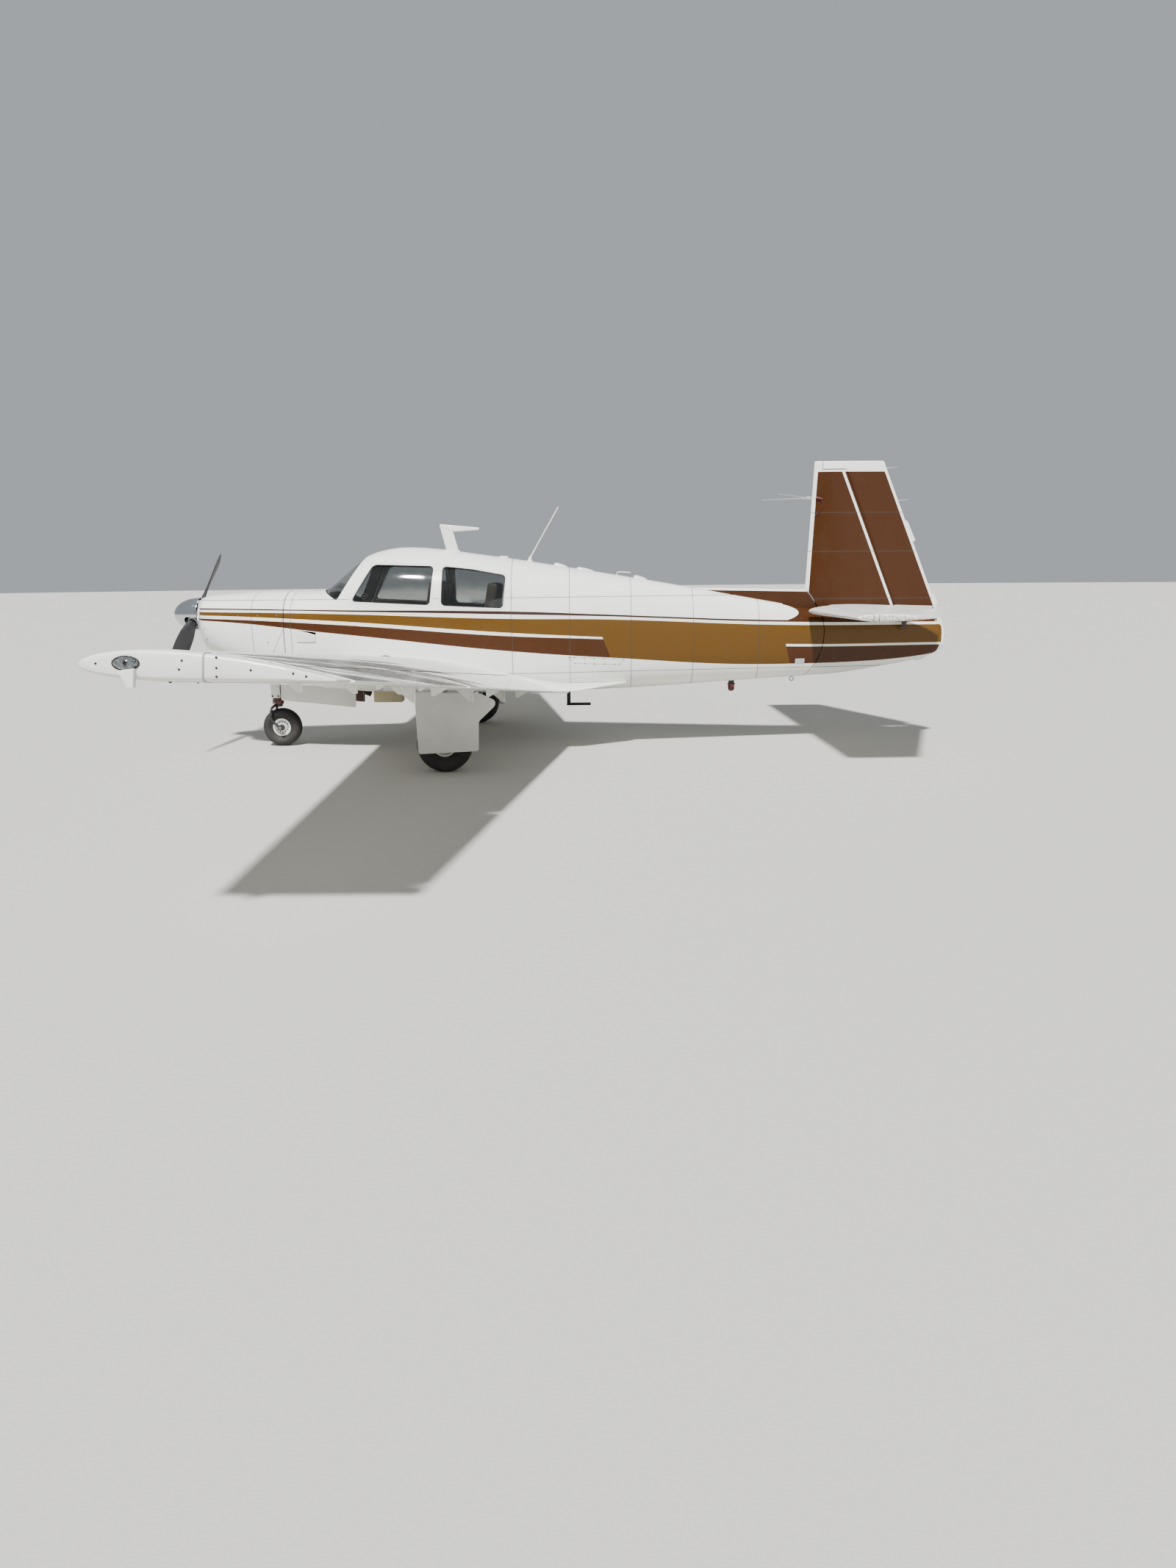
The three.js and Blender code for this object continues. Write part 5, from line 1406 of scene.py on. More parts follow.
def makeTailplanes(look):
    tip = look["halfSpan"]
    spans = evenly(0.06, tip - 0.016, 0.06) + [tip - 0.010, tip - 0.004, tip]

    def rule(span, share, side):
        point = tailPoint(span, share, side)
        soften = {tip - 0.010: 0.12, tip - 0.004: 0.28, tip: 0.5}.get(span, 0)
        point.z = blend(point.z, look["height"], soften)
        point.x = blend(point.x, noseX + look["tipMiddle"], soften * 0.06)
        return point

    def onHinge(span):
        station = look["hingeRoot"] + (look["hingeTip"] - look["hingeRoot"]) * span / tip
        return at(station, span, look["height"])
    panel = loose(panelSheet(rule, spans, 28))
    first, last = onHinge(look["inner"]), onHinge(tip + 0.1)
    run, length = (last - first).normalized(), (last - first).length
    back = Vector((run.y, -run.x, 0))

    def slab(inset):
        middle = first + run * (inset + (length - inset) / 2)
        return slabBehind(middle, back, Vector((0, 0, -1)), run, length - inset)

    def radius(point):
        chord = blend(look["rootEdge"], look["tipEdge"], point.y / tip) - look["leading"]
        return sectionHalf((point.x - noseX - look["leading"]) / chord, chord, look["thickness"]) - 0.002

    slope = (look["hingeRoot"] - look["hingeTip"]) / tip
    rear, outside = 6.5, 1.9

    def tipBlock(offset, front):
        # the room of the elevator's horn, with its inner edge square to the hinge line
        nearFront, nearRear = (tip - look["horn"] + offset - (look["hingeTip"] - x) * slope
                               for x in (front, rear))
        outline = [(front, nearFront), (rear, nearRear), (rear, outside), (front, outside)]
        return planPlate(outline, 1.0, 1.4)
    fixed, horn = twin(panel), twin(panel)
    drum = rod(first - run * 0.005, last, radius(first) + look["gap"], radius(last) + look["gap"], 48)
    rootClear = block(5.60, 5.960, -0.01, 0.168, 0.9, 1.4)
    behindRoot = block(6.600, 7.20, -0.10, 0.30, 0.9, 1.5)
    carve(fixed, [slab(0), drum, tipBlock(-0.008, look["hornFront"] - 0.008), rootClear, behindRoot])
    dress(fixed, "right_tailplane_skin", "tail_group", ["tailEnamel"], ["right_tailplane"])
    otherSide(fixed, "left_tailplane_skin", "tail_group", ["left_tailplane"])

    carve(panel, [slab(look["gap"])], "INTERSECT")
    carve(horn, [tipBlock(0, look["hornFront"])], "INTERSECT")
    nose = rod(first + run * look["gap"], first + run * (length - 0.11), radius(first), radius(last), 48)
    carve(panel, [nose, horn], "UNION")
    inboard = block(6.3, 7.2, -0.1, look["inner"], 0.9, 1.5)
    rudderRoom = planPlate([(6.560, -0.06), (7.20, -0.06), (7.20, 0.25), (6.64, 0.062)], 1.0, 1.5)
    carve(panel, [inboard, rudderRoom])
    dress(panel, "right_elevator_skin", "right_elevator", ["tailEnamel"],
          ["right_elevator"])
    otherSide(panel, "left_elevator_skin", "left_elevator", ["left_elevator"])


# tailplane enamel: chalky white, worn to brown primer in specks along the leading edge
tailEnamel = {"white": "#e3e2dc", "speck": "#6d4a3a", "band": 0.045, "ribs": (0.42, 0.78, 1.14, 1.50),
              "spar": 0.16}


def makeTailEnamel(look):
    add, shader, place = newMaterial("tailEnamel")
    axes = add("SeparateXYZ", {0: place}).outputs
    station = add("Math", {0: axes["X"], 1: noseX}, operation="SUBTRACT")
    span = add("Math", {0: axes["Y"]}, operation="ABSOLUTE")
    behind = add("Math", {0: station, 1: tail["leading"]}, operation="SUBTRACT")
    atTip = add("Math", {0: tail["halfSpan"], 1: span}, operation="SUBTRACT")
    near = add("Math", {0: behind, 1: atTip}, operation="MINIMUM")
    near = add("MapRange", {"Value": near, 1: 0, 2: look["band"], 3: 0.24, 4: 0})
    specks = add("TexNoise", {"Vector": place, "Scale": 110, "Detail": 6, "Roughness": 0.7})
    total = add("Math", {0: near, 1: specks}, operation="ADD")
    mask = add("MapRange", {"Value": total, 1: 0.74, 2: 0.80, 3: 0, 4: 1})
    colour = add("Mix", {0: mask, 6: linear(look["white"]), 7: linear(look["speck"])}, data_type="RGBA")
    rib, spar = nearestOf(add, span, look["ribs"]), nearestOf(add, behind, [look["spar"]])
    finishSkin(add, shader, place, colour, rib, spar, span, station)


makeTailEnamel(tailEnamel)
makeTailplanes(tail)


def makeFin(look):
    top = look["finTop"]
    heights = evenly(1.05, top - 0.014, 0.06) + [top - 0.008, top - 0.003, top]

    def rule(height, share, side):
        soften = {top - 0.008: 0.10, top - 0.003: 0.22, top: 0.40}.get(height, 0)
        point = finPoint(height, share, side)
        point.y *= 1 - soften
        point.x = blend(point.x, noseX + look["finMiddle"], soften * 0.05)
        return point
    panel = loose(panelSheet(rule, heights, 28))
    low, high = (at(x, 0, z) for x, z in (look["hingeLow"], look["hingeHigh"]))
    run = (high - low).normalized()
    back = Vector((run.z, 0, -run.x))
    start = low - run * 0.06
    length = (high - start).length + 0.09

    def slab(inset):
        middle = start + run * (inset + (length - inset) / 2)
        return slabBehind(middle, back, Vector((0, 1, 0)), run, length - inset)
    lowRadius, highRadius = look["hingeRadii"]
    fixed, horn = twin(panel), twin(panel)
    drum = rod(start - run * 0.09, high + run * 0.09, lowRadius + 0.008, highRadius + 0.008, 48)
    hornRoom = block(5.862, 7.2, -0.2, 0.2, look["finHorn"] - 0.010, 2.7)
    behindFin = outlinePlate([(6.60, 1.230), (7.30, 1.204), (7.30, 1.60), (6.60, 1.60)], -0.3, 0.3)
    carve(fixed, [slab(0), drum, hornRoom, trimDrum(hull["tailArc"]), behindFin])
    carve(fixed, [block(6.50, 7.2, -0.3, 0.3, 0.9, 1.10)])
    dress(fixed, "fin_skin", "tail_group", ["finLivery"], ["fin"])

    nose = rod(low + run * 0.002, high + run * 0.02, lowRadius, highRadius, 48)
    carve(panel, [slab(look["gap"])], "INTERSECT")
    carve(horn, [block(5.869, 7.2, -0.2, 0.2, look["finHorn"] + 0.001, 2.7)], "INTERSECT")
    carve(panel, [nose, horn], "UNION")
    under = block(6.0, 7.3, -0.3, 0.3, 0.8, look["hingeLow"][1])
    sectionRoom = outlinePlate([(6.40, 0.8), (7.30, 0.8), (7.30, 1.212), (6.40, 1.246)], -0.3, 0.3)
    carve(panel, [under, sectionRoom])
    dress(panel, "rudder_skin", "rudder", ["finLivery"], ["rudder"])


makeFin(tail)
print("tail surfaces")


# propeller and spinner
propeller = {
    "hub": (0.195, 1.215), "tilt": 34, "slot": 0.062,
    "spinner": [(0.000, 0.0), (0.018, 0.003), (0.042, 0.014), (0.064, 0.028), (0.084, 0.046),
                (0.103, 0.069), (0.118, 0.096), (0.131, 0.128), (0.140, 0.160), (0.147, 0.205),
                (0.150, 0.246)],
    # radius, chord, thickness and pitch in degrees
    "blade": [(0.030, 0.076, 0.060, 38), (0.110, 0.080, 0.054, 40), (0.170, 0.092, 0.044, 40),
              (0.230, 0.116, 0.035, 37.5), (0.300, 0.138, 0.027, 35), (0.390, 0.152, 0.022, 31),
              (0.480, 0.160, 0.018, 28), (0.580, 0.157, 0.0155, 25), (0.680, 0.150, 0.013, 22),
              (0.770, 0.137, 0.011, 20), (0.860, 0.120, 0.009, 18), (0.905, 0.102, 0.0075, 17),
              (0.925, 0.086, 0.0065, 17), (0.936, 0.064, 0.0055, 17), (0.940, 0.040, 0.004, 17)],
}


def makePropeller(look):
    station, height = look["hub"]
    centre = at(0, 0, height)
    outer = look["spinner"]
    inner = [(max(radius - 0.0035, 0), min(offset + 0.004, 0.2485))
             for radius, offset in reversed(outer[1:])]
    rim = [(0.1505, 0.2480), (0.1500, 0.2498), (0.1472, 0.2498)]
    cone = lathe(outer + rim + inner + [(0.0, 0.006)], centre, (1, 0, 0), 72)
    turns = [Matrix.Rotation(math.radians(look["tilt"] + flip), 4, "X") for flip in (0, 180)]
    lift = Matrix.Translation((0, 0, height))
    slot = block(station - look["slot"], station + 0.100, -0.3, 0.3, -look["slot"], look["slot"], 0.03, 5)
    cone = carve(cone, [moved(slot, lift @ turns[0])])
    dress(cone, "spinner_shell", "propeller", ["polishedAluminium"], ["spinner"])
    screws = []
    for angle in aroundCircle(16, 0.5):
        out = Vector((0, math.cos(angle), math.sin(angle)))
        screws.append((centre + Vector((0.222, 0, 0)) + out * 0.1485, out))
    dress(studs(screws, 0.0045, 0.0012, 12), "spinner_screws", "propeller",
          ["machinedSteel"])

    rows = look["blade"]
    around = 28

    def ring(i, j):
        radius, chord, thickness, pitch = rows[i]
        angle, turn = 2 * math.pi * j / around, math.radians(pitch)
        run, rise = math.cos(angle) * chord / 2, math.sin(angle) * thickness / 2
        if radius > 0.2:  # a rounded nose and a thinner trailing edge
            rise *= 1 + 0.25 * math.cos(angle)
        return Vector((noseX + station + run * math.sin(turn) + rise * math.cos(turn), radius,
                       run * math.cos(turn) - rise * math.sin(turn)))
    blades = [moved(closeUp(gridSheet(len(rows) - 1, around, ring)), lift @ turn) for turn in turns]
    hub = rod(at(0.090, 0, height), at(0.236, 0, height), 0.062, sides=48, rounding=0.006)
    dress(joined(blades + [hub]), "propeller_blades", "propeller", ["matteBlack"],
          ["propeller"])
    cuffs = [lathe([(0.040, 0.060), (0.047, 0.064), (0.047, 0.086), (0.043, 0.092), (0.043, 0.100),
                    (0.046, 0.104), (0.046, 0.112), (0.038, 0.116)], at(station, 0, height),
                   turn @ Vector((0, 1, 0)), 32)
             for turn in turns]
    dress(joined(cuffs), "blade_clamps", "propeller", ["machinedSteel"])


makePropeller(propeller)
print("propeller")

# wheels: tread grooves, bead, painted rim with holes and a dark hub
wheels = {
    "main": {"station": 2.600, "track": 1.380, "radius": 0.222, "width": 0.155, "rim": 0.098, "axle": 0.015,
             "half": 0.048, "holes": 8},
    "nose": {"station": 0.913, "track": 0.0, "radius": 0.175, "width": 0.126, "rim": 0.082, "axle": 0.013,
             "half": 0.040, "holes": 6},
    "grooves": (0.30, 0.10, -0.10, -0.30), "grooveDepth": 0.006, "grooveHalf": 0.0035,
}


def makeWheel(size, name, body, nodes, side):
    centre = at(size["station"], size["track"] * side, size["radius"])
    rim, outer, width = size["rim"], size["radius"], size["width"]
    wall = outer - rim
    shares = [(0.0, 0.31), (0.04, 0.335), (0.07, 0.36), (0.10, 0.365), (0.13, 0.375), (0.28, 0.45),
              (0.40, 0.488), (0.52, 0.50), (0.64, 0.490), (0.76, 0.45), (0.86, 0.385), (0.93, 0.31)]
    half = [(rim + rise * wall, across * width) for rise, across in shares]
    tread = []
    for groove in wheels["grooves"]:
        middle, grooveHalf = groove * width * 0.66, wheels["grooveHalf"]
        crown = outer - 0.0004 - 0.020 * groove ** 2
        floor = crown - wheels["grooveDepth"]
        tread += [(crown, middle + grooveHalf + 0.001), (floor, middle + grooveHalf),
                  (floor, middle - grooveHalf), (crown, middle - grooveHalf - 0.001)]
    tread.insert(len(tread) // 2, (outer, 0.0))
    profile = half + tread + [(radius, -across) for radius, across in reversed(half)]
    tyre = lathe(profile + [(rim, 0.31 * width)], centre, (0, 1, 0), 96)
    dress(tyre, f"{name}_tread", body, ["tyreRubber"], [nodes[0]], 28)

    bore, span = size["axle"] + 0.001, size["half"]
    face = [(bore, span), (bore + 0.010, span), (bore + 0.012, span * 0.92), (bore + 0.022, span * 0.9),
            (bore + 0.026, span * 0.44), (rim - 0.024, span * 0.40), (rim - 0.016, span * 0.62),
            (rim - 0.012, span * 0.98), (rim - 0.004, span), (rim - 0.0006, span * 0.96)]
    profile = face + [(radius, -across) for radius, across in reversed(face)] + [face[0]]
    disc = lathe(profile, centre, (0, 1, 0), 64)
    across, middleRadius = Vector((0, 1, 0)), (bore + 0.028 + rim - 0.024) / 2

    def onCircle(shift):
        return [centre + Vector((math.cos(angle), 0, math.sin(angle))) * middleRadius
                for angle in aroundCircle(size["holes"], shift)]
    drills = joined([rod(place - across * 0.1, place + across * 0.1, 0.009,
                         sides=16) for place in onCircle(0.5)])
    dress(carve(disc, [drills]), f"{name}_wheel", body, ["whiteEnamel"], [nodes[1]])
    outSide = Vector((0, side if side else -1, 0))
    cap = lathe([(bore + 0.0005, span - 0.002), (bore + 0.014, span - 0.002), (bore + 0.015, span + 0.004),
                 (bore + 0.010, span + 0.009), (bore + 0.0005, span + 0.010),
                 (bore + 0.0005, span - 0.002)],
                centre, outSide, 32)
    bolts = studs([(place + across * sign * span * 0.40,
                    across * sign) for place in onCircle(0) for sign in (1, -1)],
                  0.0065, 0.005, 6)
    dress(joined([cap, bolts]), f"{name}_hub", body, ["matteBlack"])
    valve = centre + Vector((0, outSide.y * (span * 0.42), rim - 0.028))
    valve = rod(valve, valve + outSide * 0.018, 0.0028, sides=10)
    dress(valve, f"{name}_valve", body, ["machinedSteel"])


makeWheel(wheels["main"], "right", "right_wheel", ("right_main_tyre", "right_main_rim"), 1)
makeWheel(wheels["main"], "left", "left_wheel", ("left_main_tyre", "left_main_rim"), -1)
makeWheel(wheels["nose"], "nose", "nose_wheel", ("nose_tyre", "nose_rim"), 0)

def smoothLine(points, steps):
    # a Catmull-Rom line through the points
    line = []
    for i in range(len(points) - 1):
        a, b = points[max(i - 1, 0)], points[i]
        c, d = points[i + 1], points[min(i + 2, len(points) - 1)]
        for k in range(steps):
            t = k / steps
            line.append(0.5 * (2 * b + (c - a) * t + (2 * a - 5 * b + 4 * c - d) * t ** 2
                               + (3 * b - a - 3 * c + d) * t ** 3))
    return line + [points[-1]]


# main legs: oleo cylinder over a chromed piston, torque arms, axle, brake and the plate over the wheel
leg = {
    "station": 2.600, "side": 1.258, "track": 1.380, "axleHeight": 0.222, "piston": 0.022,
    "door": [(2.392, 0.650), (2.405, 0.162), (2.878, 0.182), (2.885, 0.415), (3.018, 0.540),
             (3.019, 0.580), (2.900, 0.638)],
    "doorInner": 1.4995, "doorOuter": 1.5080, "stiffeners": (0.28, 0.44, 0.57),
}


def makeMainLeg(look):
    x, y, low = look["station"], look["side"], look["axleHeight"]
    enamel = [
        lathe([(0.0, 0.0), (0.026, 0.0), (0.032, 0.006), (0.032, 0.05), (0.029, 0.055), (0.029, 0.20),
               (0.032, 0.205), (0.032, 0.27), (0.0, 0.27)], at(x, y, 0.462), (0, 0, 1), 32),
        rod(at(x - 0.07, y, 0.700), at(x + 0.07, y, 0.700), 0.024, sides=28, rounding=0.004),
        rod(at(x, y, 0.560), at(x, y - 0.330, 0.690), 0.014, sides=20),
        block(x - 0.066, x + 0.066, y - 0.012, y + 0.012, 0.466, 0.494, 0.004),
        rod(at(x - 0.060, y, 0.480), at(x - 0.060, look["track"] + 0.1195, 0.480), 0.010, sides=16),
        rod(at(x + 0.060, y, 0.480), at(x + 0.060, look["track"] + 0.1195, 0.480), 0.010, sides=16),
        rod(at(x, y, 0.150), at(x, y, 0.300), 0.030, sides=28, rounding=0.006),
    ]
    for z0, z1 in ((0.300, 0.392), (0.462, 0.392)):  # torque arms
        for offset in (-0.016, 0.016):
            knee = at(x + 0.112, y + offset * 0.5, z1)
            enamel.append(rod(at(x + 0.030, y + offset, z0), knee, 0.0075, sides=12))
    enamel.append(rod(at(x + 0.112, y - 0.020, 0.392), at(x + 0.112, y + 0.020, 0.392), 0.010, sides=16))
    dress(joined(enamel), "right_leg_casting", "airframe", ["strutGrey"],
          ["right_main_leg"])
    bright = [
        rod(at(x, y, 0.290), at(x, y, 0.470), look["piston"], sides=32),
        rod(at(x, y - 0.020, low), at(x, look["track"] + 0.086, low), 0.015, sides=24, rounding=0.002),
    ]
    dress(joined(bright), "right_leg_piston", "airframe", ["hardChrome"])
    disc = [
        lathe([(0.030, 0.0), (0.088, 0.0), (0.088, 0.006), (0.030, 0.006), (0.030, 0.0)],
              at(x, 1.3175, low), (0, 1, 0), 56),
        block(x - 0.094, x - 0.044, 1.3035, 1.3310, low - 0.040, low + 0.040, 0.006, 3),
    ]
    dress(joined(disc), "right_brake", "airframe", ["discIron"])
    hosePath = [at(x + 0.020, y + 0.034, 0.60), at(x + 0.034, y + 0.036, 0.50),
                at(x + 0.040, y + 0.038, 0.40),
                at(x + 0.020, y + 0.040, 0.32), at(x - 0.020, y + 0.044, 0.268),
                at(x - 0.055, y + 0.050, 0.245)]
    dress(swept(smoothLine(hosePath, 6), 0.004, 10), "right_brake_line", "airframe",
          ["sealRubber"])

    plate = outlinePlate(look["door"], look["doorInner"], look["doorOuter"], 0.018, 4)
    stiff = [rimmed(plate, 0.0015, 2, 50)]
    for z in look["stiffeners"]:
        stiff.append(block(2.425, 2.862, look["doorInner"] - 0.012, look["doorInner"] + 0.001, z - 0.010,
                           z + 0.010, 0.003))
    dress(joined(stiff), "right_gear_plate", "airframe", ["doorEnamel"],
          ["right_gear_door"])
    rivets = []
    for z in look["stiffeners"]:
        rivets += [(at(station, look["doorOuter"], z), Vector((0, 1, 0)))
                   for station in evenly(2.43, 2.86, 0.036)]
    dress(studs(rivets, 0.0028, 0.0008, 8), "right_plate_rivets", "airframe",
          ["strutGrey"])
    for name, nodes, slot in (("leg_casting", ["left_main_leg"], "white_enamel"),
                              ("leg_piston", [], "antenna_steel"),
                              ("brake", [], "antenna_steel"), ("brake_line", [], "step_black"),
                              ("gear_plate", ["left_gear_door"], "white_enamel"),
                              ("plate_rivets", [], "antenna_steel")):
        otherSide(bpy.data.objects[f"right_{name}"], f"left_{name}", "airframe", nodes)


makeMainLeg(leg)

# nose gear: grey leg, dark red collar, dark fork, long doors
noseGear = {
    "pivot": 0.885, "axle": (0.913, 0.175), "armSide": 0.084,
    "doors": [(0.982, 0.618), (0.974, 0.446), (1.646, 0.374), (1.653, 0.538)], "doorSide": (0.196, 0.204),
}


def makeNoseGear(look):
    x = look["pivot"]
    axleStation, axleHeight = look["axle"]
    enamel = [
        lathe([(0.0, 0.0), (0.036, 0.0), (0.042, 0.008), (0.042, 0.05), (0.038, 0.056), (0.038, 0.20),
               (0.042, 0.206), (0.042, 0.454), (0.0, 0.454)], at(x, 0, 0.446), (0, 0, 1), 36),
        rod(at(x, -0.110, 0.820), at(x, 0.110, 0.820), 0.022, sides=24, rounding=0.003),
        rod(at(x, 0, 0.560), at(1.128, 0, 0.747), 0.018, sides=20),
    ]
    dress(joined(enamel), "nose_leg_casting", "airframe", ["strutGrey"], ["nose_leg"])
    collar = lathe([(0.030, 0.0), (0.050, 0.0), (0.052, 0.004), (0.052, 0.030), (0.048, 0.036),
                    (0.048, 0.048), (0.044, 0.052), (0.030, 0.052), (0.030, 0.0)], at(x, 0, 0.391),
                   (0, 0, 1), 40)
    dress(collar, "nose_collar", "nose_steering", ["collarRed"])
    fork = [lathe([(0.0, 0.0), (0.036, 0.0), (0.040, 0.006), (0.040, 0.026), (0.0, 0.026)],
                  at(x, 0, 0.366), (0, 0, 1), 32)]
    for side in (1, -1):
        y = side * look["armSide"]
        arm = [at(x - 0.004, side * 0.020, 0.384), at(x - 0.020, side * 0.055, 0.378),
               at(x - 0.040, y, 0.356),
               at(x - 0.046, y, 0.312), at(x - 0.046, y, 0.268), at(x - 0.030, y, 0.226),
               at(axleStation, y, axleHeight)]
        fork.append(swept(smoothLine(arm, 6), 0.0165, 16, 0.62))
        fork.append(rod(at(axleStation, side * 0.071, axleHeight),
                        at(axleStation, side * 0.099, axleHeight), 0.023, sides=24, rounding=0.003))
    dress(joined(fork), "nose_fork_casting", "nose_steering", ["forkGrey"], ["nose_fork"])
    axle = rod(at(axleStation, -0.104, axleHeight), at(axleStation, 0.104, axleHeight), 0.0128, sides=24,
               rounding=0.002)
    piston = rod(at(x, 0, 0.386), at(x, 0, 0.450), 0.029, sides=32)
    dress(joined([axle, piston]), "nose_axle_pin", "nose_steering", ["machinedSteel"])
    eyes = [rod(at(x - 0.012, side * 0.052, 0.405), at(x - 0.012, side * 0.078, 0.405), 0.009, sides=16,
                rounding=0.002) for side in (1, -1)]
    dress(joined(eyes), "tow_pins", "nose_steering", ["machinedSteel"])

    # flat cheeks on both sides of the leg, each with two dark bolts at its foot
    cheeks = [block(x - 0.049, x + 0.034, side * 0.043 - 0.004, side * 0.043 + 0.004, 0.449, 0.640, 0.002)
              for side in (1, -1)]
    dress(joined(cheeks), "nose_leg_cheeks", "airframe", ["whiteEnamel"])
    bolts = [(at(x + offset, side * 0.047, 0.466), Vector((0, side, 0)))
             for side in (1, -1) for offset in (-0.036, 0.018)]
    dress(studs(bolts, 0.0095, 0.004, 12), "nose_leg_bolts", "airframe", ["matteBlack"])

    # doors run up to the belly, with inner stiffeners
    inner, outer = look["doorSide"]
    belly = loose(closeUp(hullSheet(0.9, 1.75, -0.0005, 64)))
    plate = carve(outlinePlate(look["doors"], inner, outer, 0.012, 4), [belly], keep=True)
    plate = rimmed(plate, 0.0012, 2, 50)
    ribs = [carve(block(1.02 + 0.15 * k, 1.036 + 0.15 * k, inner - 0.010, inner + 0.001, 0.452 - 0.016 * k,
                        0.585 - 0.012 * k, 0.002), [belly], keep=True) for k in range(5)]
    discard([belly])
    door = joined([plate] + ribs)
    paintFaces(door, lambda middle, facing: facing.y < -0.5)  # primer and painted shade on the side that faces the leg
    dress(door, "right_nose_plate", "airframe", ["doorEnamel", "doorPrimerAndShade"],
          ["right_nose_door"])
    otherSide(door, "left_nose_plate", "airframe", ["left_nose_door"])


makeNoseGear(noseGear)
print("landing gear")


# aerials, lights, step and other small fixed fittings
fittings = {
    "tailEdge": [(6.968, 1.188), (6.990, 1.186), (7.056, 0.945), (7.050, 0.889), (6.958, 0.820),
                 (6.862, 0.747), (6.793, 0.727), (6.802, 0.757), (6.900, 0.830), (6.975, 0.905)],
    "roofMast": [(2.500, 1.740), (2.612, 1.735), (2.560, 1.925), (2.446, 1.960)],
    "roofBlade": [(2.440, 1.962), (2.556, 1.924), (2.790, 1.938), (2.797, 1.958), (2.445, 1.991)],
    "whip": [(3.243, 1.652), (3.249, 1.664), (3.256, 1.700), (3.300, 1.780), (3.376, 1.910),
             (3.508, 2.131)],
    "finRods": {"root": (5.762, 2.187), "tip": (5.405, 0.365, 2.200), "radius": 0.0042},
    "wicks": {"rudder": [(6.437, 2.440), (6.560, 2.160)], "tail": [(1.46, 6.50), (1.70, 6.41)]},
    # start, end, half width, rise and steps of the low fairings behind the cabin
    "roofBumps": [(3.455, 3.587, 0.045, 0.024, 10), (3.663, 3.826, 0.036, 0.018, 12),
                  (4.176, 4.310, 0.058, 0.026, 12)],
    "bracketSpans": (0.72, 1.87, 3.36), "aileronBrackets": (3.62, 4.35, 5.02),
    "accessPanel": [(3.591, 0.824), (3.640, 0.770), (4.038, 0.752), (4.076, 0.798)],
    "tipScrewShares": (0.14, 0.22, 0.31, 0.40, 0.50, 0.60, 0.70, 0.80, 0.90),
    "endScrews": [(2.246, 1.223), (2.243, 1.182), (2.241, 1.148), (2.110, 1.213), (2.096, 1.178),
                  (2.377, 1.172), (2.593, 1.145), (2.543, 1.157), (1.772, 1.205)],
}


def roundTube(radius, thickness):
    # the section of a ring made of round bar, for the lathe
    return [(radius + thickness * math.cos(k * math.pi / 5), thickness * math.sin(k * math.pi / 5))
            for k in range(11)]


def roofSpot(station, lift):
    return at(station, 0, hullRow(station)[1] + lift)


def roofBump(start, end, half, rise, steps):
    # a low fairing on the roof's middle line, full in front and fine behind
    around = 16

    def rule(i, j):
        fullness = math.sin(math.pi * min((i / steps) ** 0.6, 1)) ** 0.6
        turn = 2 * math.pi * j / around
        y, z = math.cos(turn) * half * fullness, math.sin(turn) * rise * fullness
        return roofSpot(blend(start, end, i / steps),
                        z if z > 0 else z * 0.4) + Vector((0, y, -2.2 * y * y))
    return closeUp(gridSheet(steps, around, rule))


